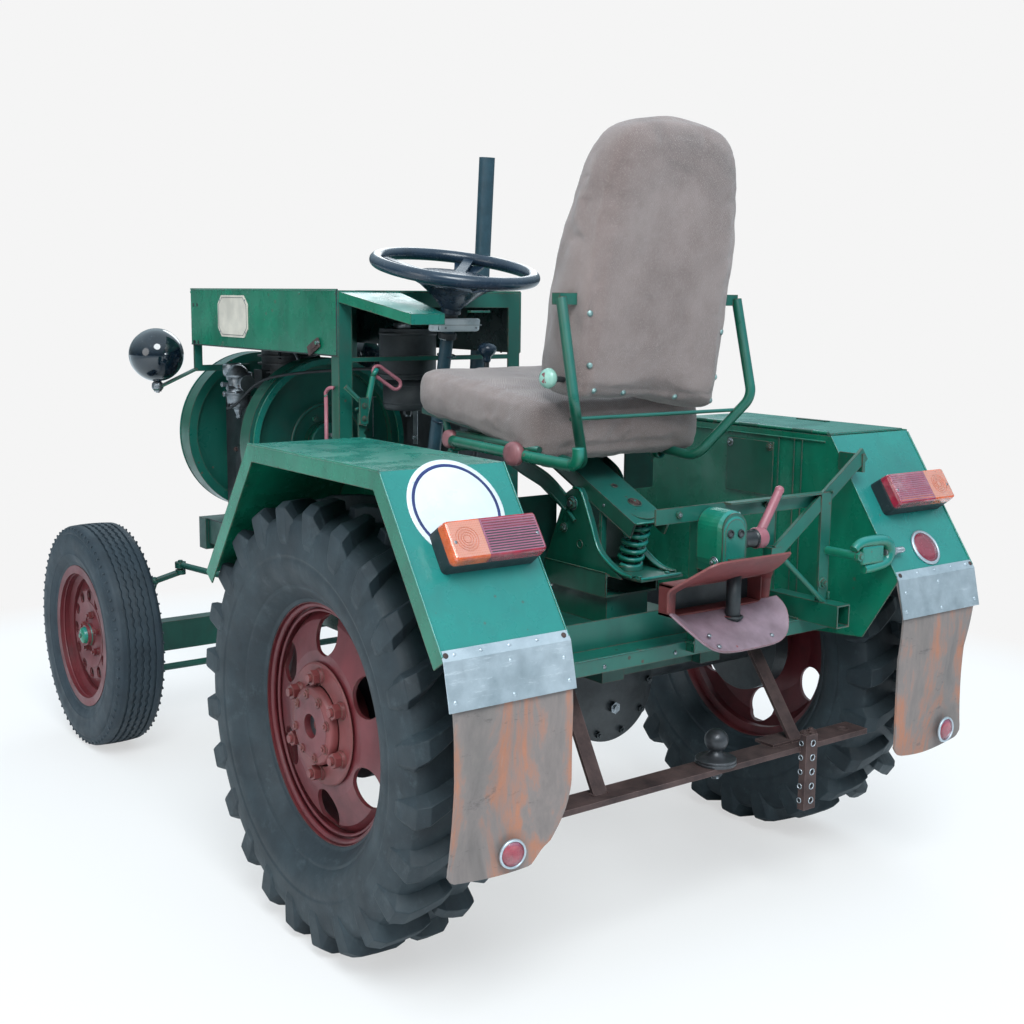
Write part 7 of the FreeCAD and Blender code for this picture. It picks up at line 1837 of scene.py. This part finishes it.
def coupling_jaw():
    """The jaw in sheet metal: a bent upper lip, one ear, and a scoured, round-cornered tongue."""
    neck = ((0.127, 0.772), (0.137, 0.762), (0.137, 0.718), (0.127, 0.708), (-0.105, 0.708),
            (-0.115, 0.718), (-0.115, 0.762), (-0.105, 0.772))
    rim = ((0.134, 0.582, 0.836), (0.19, 0.512, 0.777), (0.19, 0.512, 0.734), (0.104, 0.565, 0.648),
           (-0.093, 0.565, 0.648), (-0.16, 0.512, 0.734), (-0.16, 0.512, 0.777),
           (-0.073, 0.582, 0.836))

    def corner(number, share):
        spread = share ** 1.5
        (neck_x, neck_z), (rim_x, rim_y, rim_z) = neck[number], rim[number]
        return P(1000 * (neck_x * (1 - spread) + rim_x * spread),
                 470 + 1000 * (rim_y - 0.47) * share,
                 1000 * (neck_z * (1 - spread) + rim_z * spread))

    def sheet(numbers, steps, soften_by, limit, material):
        rows = []
        for row in range(15):
            line = []
            for first, second in zip(numbers, numbers[1:]):
                for k in range(steps):
                    line.append((first, second, k / steps))
            line.append((numbers[-2], numbers[-1], 1.0))
            points = []
            for index, (first, second, part) in enumerate(line):
                share = row / 14 * limit(index / (len(line) - 1))
                points.append(corner(first, share).lerp(corner(second, share), part))
            for _ in range(soften_by):
                points = ([points[0]] + [(p + 2 * q + r) / 4 for p, q, r in
                                         zip(points, points[1:], points[2:])] + [points[-1]])
            rows.append(points)
        jaw.grid(rows, material)

    jaw = Build("jaw_sheet")
    sheet((7, 0, 1, 2), 12, 3, lambda along: 1.0, BRIGHT_RED)

    def tongue_limit(along):
        reach = 1.0
        for corner_at, width in ((0.0, 0.12), (1.0, 0.2)):
            near = max(0, 1 - abs(along - corner_at) / width)
            reach -= (0.1 if corner_at == 0.0 else 0.45) * near ** 2
        return reach

    sheet((2, 3, 4, 5), 12, 10, tongue_limit, TONGUE_PINK)
    sheet((5, 6, 7), 8, 1, lambda along: 0.3 + 0.12 * along, BRIGHT_RED)
    piece = jaw.done(CHASSIS, replace=("coupling_jaw",), weld=True)
    thick = piece.modifiers.new("sheet", "SOLIDIFY")
    thick.thickness = 0.005
    thick.offset = 0
    soften(piece, 0.0012, angle=50)
    box = Build("jaw_neck")
    left, right, foot, top, wall = -115, 137, 708, 772, 6
    for x0, x1, z0, z1 in ((left, right, foot, foot + wall), (left, right, top - wall, top),
                           (left, left + wall, foot, top), (right - wall, right, foot, top)):
        box.box(P(x0, 428, z0), P(x1, 471, z1), BRIGHT_RED, bevel=0.001)
    box.box(P(-110, 429, 713), P(132, 433, 767), IRON)
    box.rod(P(0, 500, 652), P(0, 500, 800), 0.0149, IRON, sides=36)
    box.torus(P(0, 500, 700), UP, 0.0185, 0.003, IRON, 32, 8)
    for x, back, up in ((104, 540, 684), (-60, 552, 664), (92, 556, 664)):
        box.dome(P(x, back, up), (0, 0.5, 0.86), 0.005, 0.003, STEEL)
    box.done(CHASSIS)


def clamp_details():
    """The cast C clamp with its screw and tommy bar, on the carrier's upright."""
    clamp = Build("cast_clamp")
    back, level = 526, 790
    spine = smooth_curve([P(-332, back, 806), P(-352, back, 818), P(-392, back, 820),
                          P(-432, back, 816), P(-449, back, 800), P(-450, back, 784),
                          P(-436, back, 768), P(-400, back, 762), P(-366, back, 760)], 6)
    thick = [0.0095 + 0.0035 * sin(pi * k / (len(spine) - 1)) for k in range(len(spine))]
    clamp.tube(spine, thick, GREEN, 14)
    clamp.box(P(-424, back - 9, 770), P(-352, back + 9, 812), GREEN, bevel=0.006)
    clamp.rod(P(-436, back, level), P(-498, back, level), 0.0062, STEEL, sides=20)
    for k in range(14):
        clamp.torus(P(-442 - 4 * k, back, level), LEFT, 0.0062, 0.0011, STEEL, 20, 6)
    clamp.nut(P(-452, back, level), -LEFT, 0.0125, 0.011, STEEL, 0.4)
    clamp.rod(P(-366, back, level), P(-338, back, level), 0.0068, STEEL, sides=18)
    clamp.rod(P(-350, back, level), P(-344, back, level), 0.0125, GREEN)
    clamp.rod(P(-340, 446, 792), P(-340, 530, 792), 0.0095, GREEN)
    clamp.nut(P(-340, 532, 792), REAR, 0.011, 0.008, GREEN)
    clamp.done(CHASSIS, replace=("screw_clamp",), bevel=0.0008)


def carrier_details():
    """Weld beads and bolts on the carrier, its angles and the cross channel."""
    weld = Build("carrier_welds")
    for start, end in (((-348, 440, 683), (-316, 440, 683)), ((-348, 448, 683), (-348, 448, 700)),
                       ((-351, 312, 633), (-351, 400, 633)), ((-309, 312, 633), (-309, 400, 633)),
                       ((-29, 401, 634), (29, 401, 634)), ((-31, 401, 634), (-31, 424, 634)),
                       ((31, 401, 634), (31, 424, 634)), ((-347, 432, 920), (-347, 452, 920))):
        start, end = P(*start), P(*end)
        steps = max(3, int((end - start).length / 0.004))
        line = [start.lerp(end, k / steps) for k in range(steps + 1)]
        thick = [0.0035 * (1 + 0.22 * sin(2.4 * k)) for k in range(len(line))]
        weld.tube(line, thick, SHADE_GREEN, 8)
    for x in (-400, -200, 60, 250, 400):
        weld.dome(P(x, 400.5, 612), REAR, 0.0045, 0.002, STEEL)
    for x in (-420, 420):
        for back in (270, 370):
            weld.nut(P(x, back, 632), UP, 0.0095, 0.007, SHADE_GREEN, washer=0.0125)
    for x, z in ((-334, 905), (-160, 905), (90, 905)):
        weld.nut(P(x, 428.5, z), REAR, 0.0075, 0.006, SHADE_GREEN)
    weld.nut(P(-330, 446, 720), REAR, 0.0095, 0.008, STEEL, washer=0.013)
    weld.tube([P(-458, 401, 631), P(458, 401, 631)], 0.0016, GREEN, 8)
    weld.done(CHASSIS, bevel=0.0005)


def tow_details():
    """The stepped tow ball, hole rims, bolts and welds of the tow bar."""
    ball = Build("tow_ball_turned")
    deck = 367  # the bar's upper face
    seat = middle("tow_ball")
    seat.z = deck / 1000
    ball.lathe([(0.0, 0.0), (0.043, 0.0), (0.0438, 0.0015), (0.0438, 0.0048), (0.0428, 0.0058),
                (0.0415, 0.0062), (0.0428, 0.0068), (0.0434, 0.008), (0.0434, 0.0112),
                (0.042, 0.0126), (0.028, 0.0145), (0.018, 0.019), (0.0135, 0.025), (0.0125, 0.0285)]
               + [(0.025 * cos(a), 0.05 + 0.025 * sin(a)) for a in
                  [radians(-60 + 150 * k / 20) for k in range(21)]] + [(0.0, 0.075)],
               seat, UP, BALL_STEEL, 64)
    ball.nut(seat - UP * 0.012, -UP, 0.0155, 0.014, STEEL, 0.58, washer=0.021)
    ball.done(CHASSIS, replace=("tow_ball",), bevel=0.0004)
    bar = Build("tow_bar_details")
    bar.torus(P(-438, 433, deck), UP, 0.0125, 0.0016, RUST, 32, 8)
    for k in range(5):
        height = 245 + k * 32.5
        bar.torus(P(-283.6, 480.3, height), REAR, 0.0068, 0.0013, STEEL, 24, 6)
        bar.torus(P(-261.5, 466, height), LEFT, 0.0055, 0.0012, STEEL, 24, 6)
        bar.lathe([(0.0, 0.0004), (0.0052, 0.0004), (0.0052, 0.0), (0.0, 0.0)],
                  P(-261.8, 466, height), LEFT, BLACK_RUBBER, 20)
    for side in (1, -1):
        for shift in (-18, 18):
            bar.tube([P(side * 283 + shift, 424, deck + 0.5),
                      P(side * 283 + shift, 440, deck + 0.5)], 0.0032, RUST, 8)
    for x, back in ((-316, 424), (-345, 420)):
        bar.nut(P(x, back, 373), UP, 0.009, 0.007, RUST, washer=0.013)
    bar.done(CHASSIS, bevel=0.0004)


# ------------------------------------------------------------------------- fender details

def fender_details():
    """The skirt's cover plate, seams, the lid's hinge and handle, and bolts along the edges."""
    trim = Build("skirt_cover")
    wall = -455  # the right fender's inner skirt, on the side of the seat
    trim.box(P(wall, 24, 869), P(wall + 3.5, 176, 998), SHADE_GREEN, bevel=0.001)
    for back in (36, 164):
        trim.nut(P(wall + 3.5, back, 986), LEFT, 0.0068, 0.005, STEEL, washer=0.0095)
    for back in (190, 238, 262):
        trim.tube([P(wall, back, 640), P(wall, back, 1010)], 0.0017, SHADE_GREEN, 8)
    trim.tube([P(wall, -300, 1012), P(wall, 330, 1012)], 0.0022, GREEN, 8)
    for back in (-150, 0, 150, 300):
        trim.dome(P(470, back, 1026), UP, 0.0045, 0.002, GREEN)
    outer, inner = 729, 459
    for side in (1, -1):
        trim.tube([P(side * outer, -180, 1026.5), P(side * outer, 342, 1026.5)], 0.0024, GREEN, 10)
        trim.tube([on_slope(side * outer, 4, 0.5), on_slope(side * outer, 355, 0.5)], 0.0024,
                  GREEN, 10)
        trim.tube([P(side * inner, 342, 1026.5), on_slope(side * inner, 355, 0.5)], 0.002,
                  GREEN, 10)
    trim.done(CHASSIS, bevel=0.0006)
    lid = Build("lid_hinge_and_handle")
    low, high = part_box("box_lid")
    hinge_x, hinge_z, leaf_top = -0.466, 1.031, 1.0328  # the barrels lie on the joint's axis
    for share in (0.16, 0.5, 0.84):
        y = low[1] + (high[1] - low[1]) * share
        lid.rod((hinge_x, y - 0.03, hinge_z), (hinge_x, y + 0.03, hinge_z), 0.0047, STEEL, sides=20)
        lid.box((-0.494, y - 0.026, 1.0308), (-0.469, y + 0.026, leaf_top), SHADE_GREEN,
                bevel=0.0005)
        for shift in (-0.016, 0.016):
            lid.dome((-0.484, y + shift, leaf_top), UP, 0.003, 0.0015, STEEL)
    mid_y = (low[1] + high[1]) / 2
    lid.box((low[0] + 0.02, mid_y - 0.05, hinge_z), (low[0] + 0.034, mid_y + 0.05, 1.0335),
            SHADE_GREEN, bevel=0.0008)
    lid.done("fender_box_lid", bevel=0.0004)


def running_gear():
    """Nuts, boots, cover bolts and brackets on the axles and the frame."""
    gear = Build("axle_fittings")
    axle_z, bolt_ring = 465, 112
    gear.lathe([(0.0, 0.014), (0.05, 0.013), (0.085, 0.009), (0.1, 0.004), (0.124, 0.003),
                (0.128, 0.0), (0.128, -0.014), (0.122, -0.018), (0.0, -0.018)],
               P(0, 127, axle_z), REAR, IRON, 72)
    for number in range(10):
        angle = TAU * number / 10
        spot = P(bolt_ring * cos(angle), 130, axle_z + bolt_ring * sin(angle))
        gear.nut(spot, REAR, 0.0088, 0.008, IRON)
    gear.nut(P(0, 140, 420), REAR, 0.014, 0.01, STEEL)
    for side in (1, -1):
        for back in (-40, 40):
            gear.tube(smooth_curve([P(side * 140, back, 545), P(side * 140, back - 2, 470),
                                    P(side * 140, back * 0.7, 425), P(side * 140, 0, 416)], 4),
                      0.0075, STEEL, 10)
        gear.box(P(side * 112, -58, 508), P(side * 168, 58, 520), DARK_GREEN, bevel=0.002)
        for back in (-1380, -1240, -700, -560, -300, 120, 260):
            gear.nut(P(side * 170, back, 580), LEFT * side, 0.0095, 0.007, SHADE_GREEN,
                     washer=0.013)
        gear.tube([P(side * 171, -1690, 619), P(side * 171, 290, 619)], 0.0015, SHADE_GREEN, 8)
    gear.done(CHASSIS, bevel=0.0006)
    for name, side in SIDES:
        knuckle = Build("kingpin_caps_" + name)
        knuckle.lathe([(0.0, 0.0), (0.02, 0.0), (0.021, 0.003), (0.019, 0.011), (0.006, 0.015),
                       (0.0045, 0.023), (0.0, 0.024)], P(side * 525, -1520, 350), UP, STEEL, 32)
        knuckle.done("steering_knuckle_" + name)


hood_fittings()
headlamp_fittings()
engine_details()
flywheel_details()
tank_details()
coupling_details()
coupling_jaw()
clamp_details()
carrier_details()
tow_details()
fender_details()
running_gear()
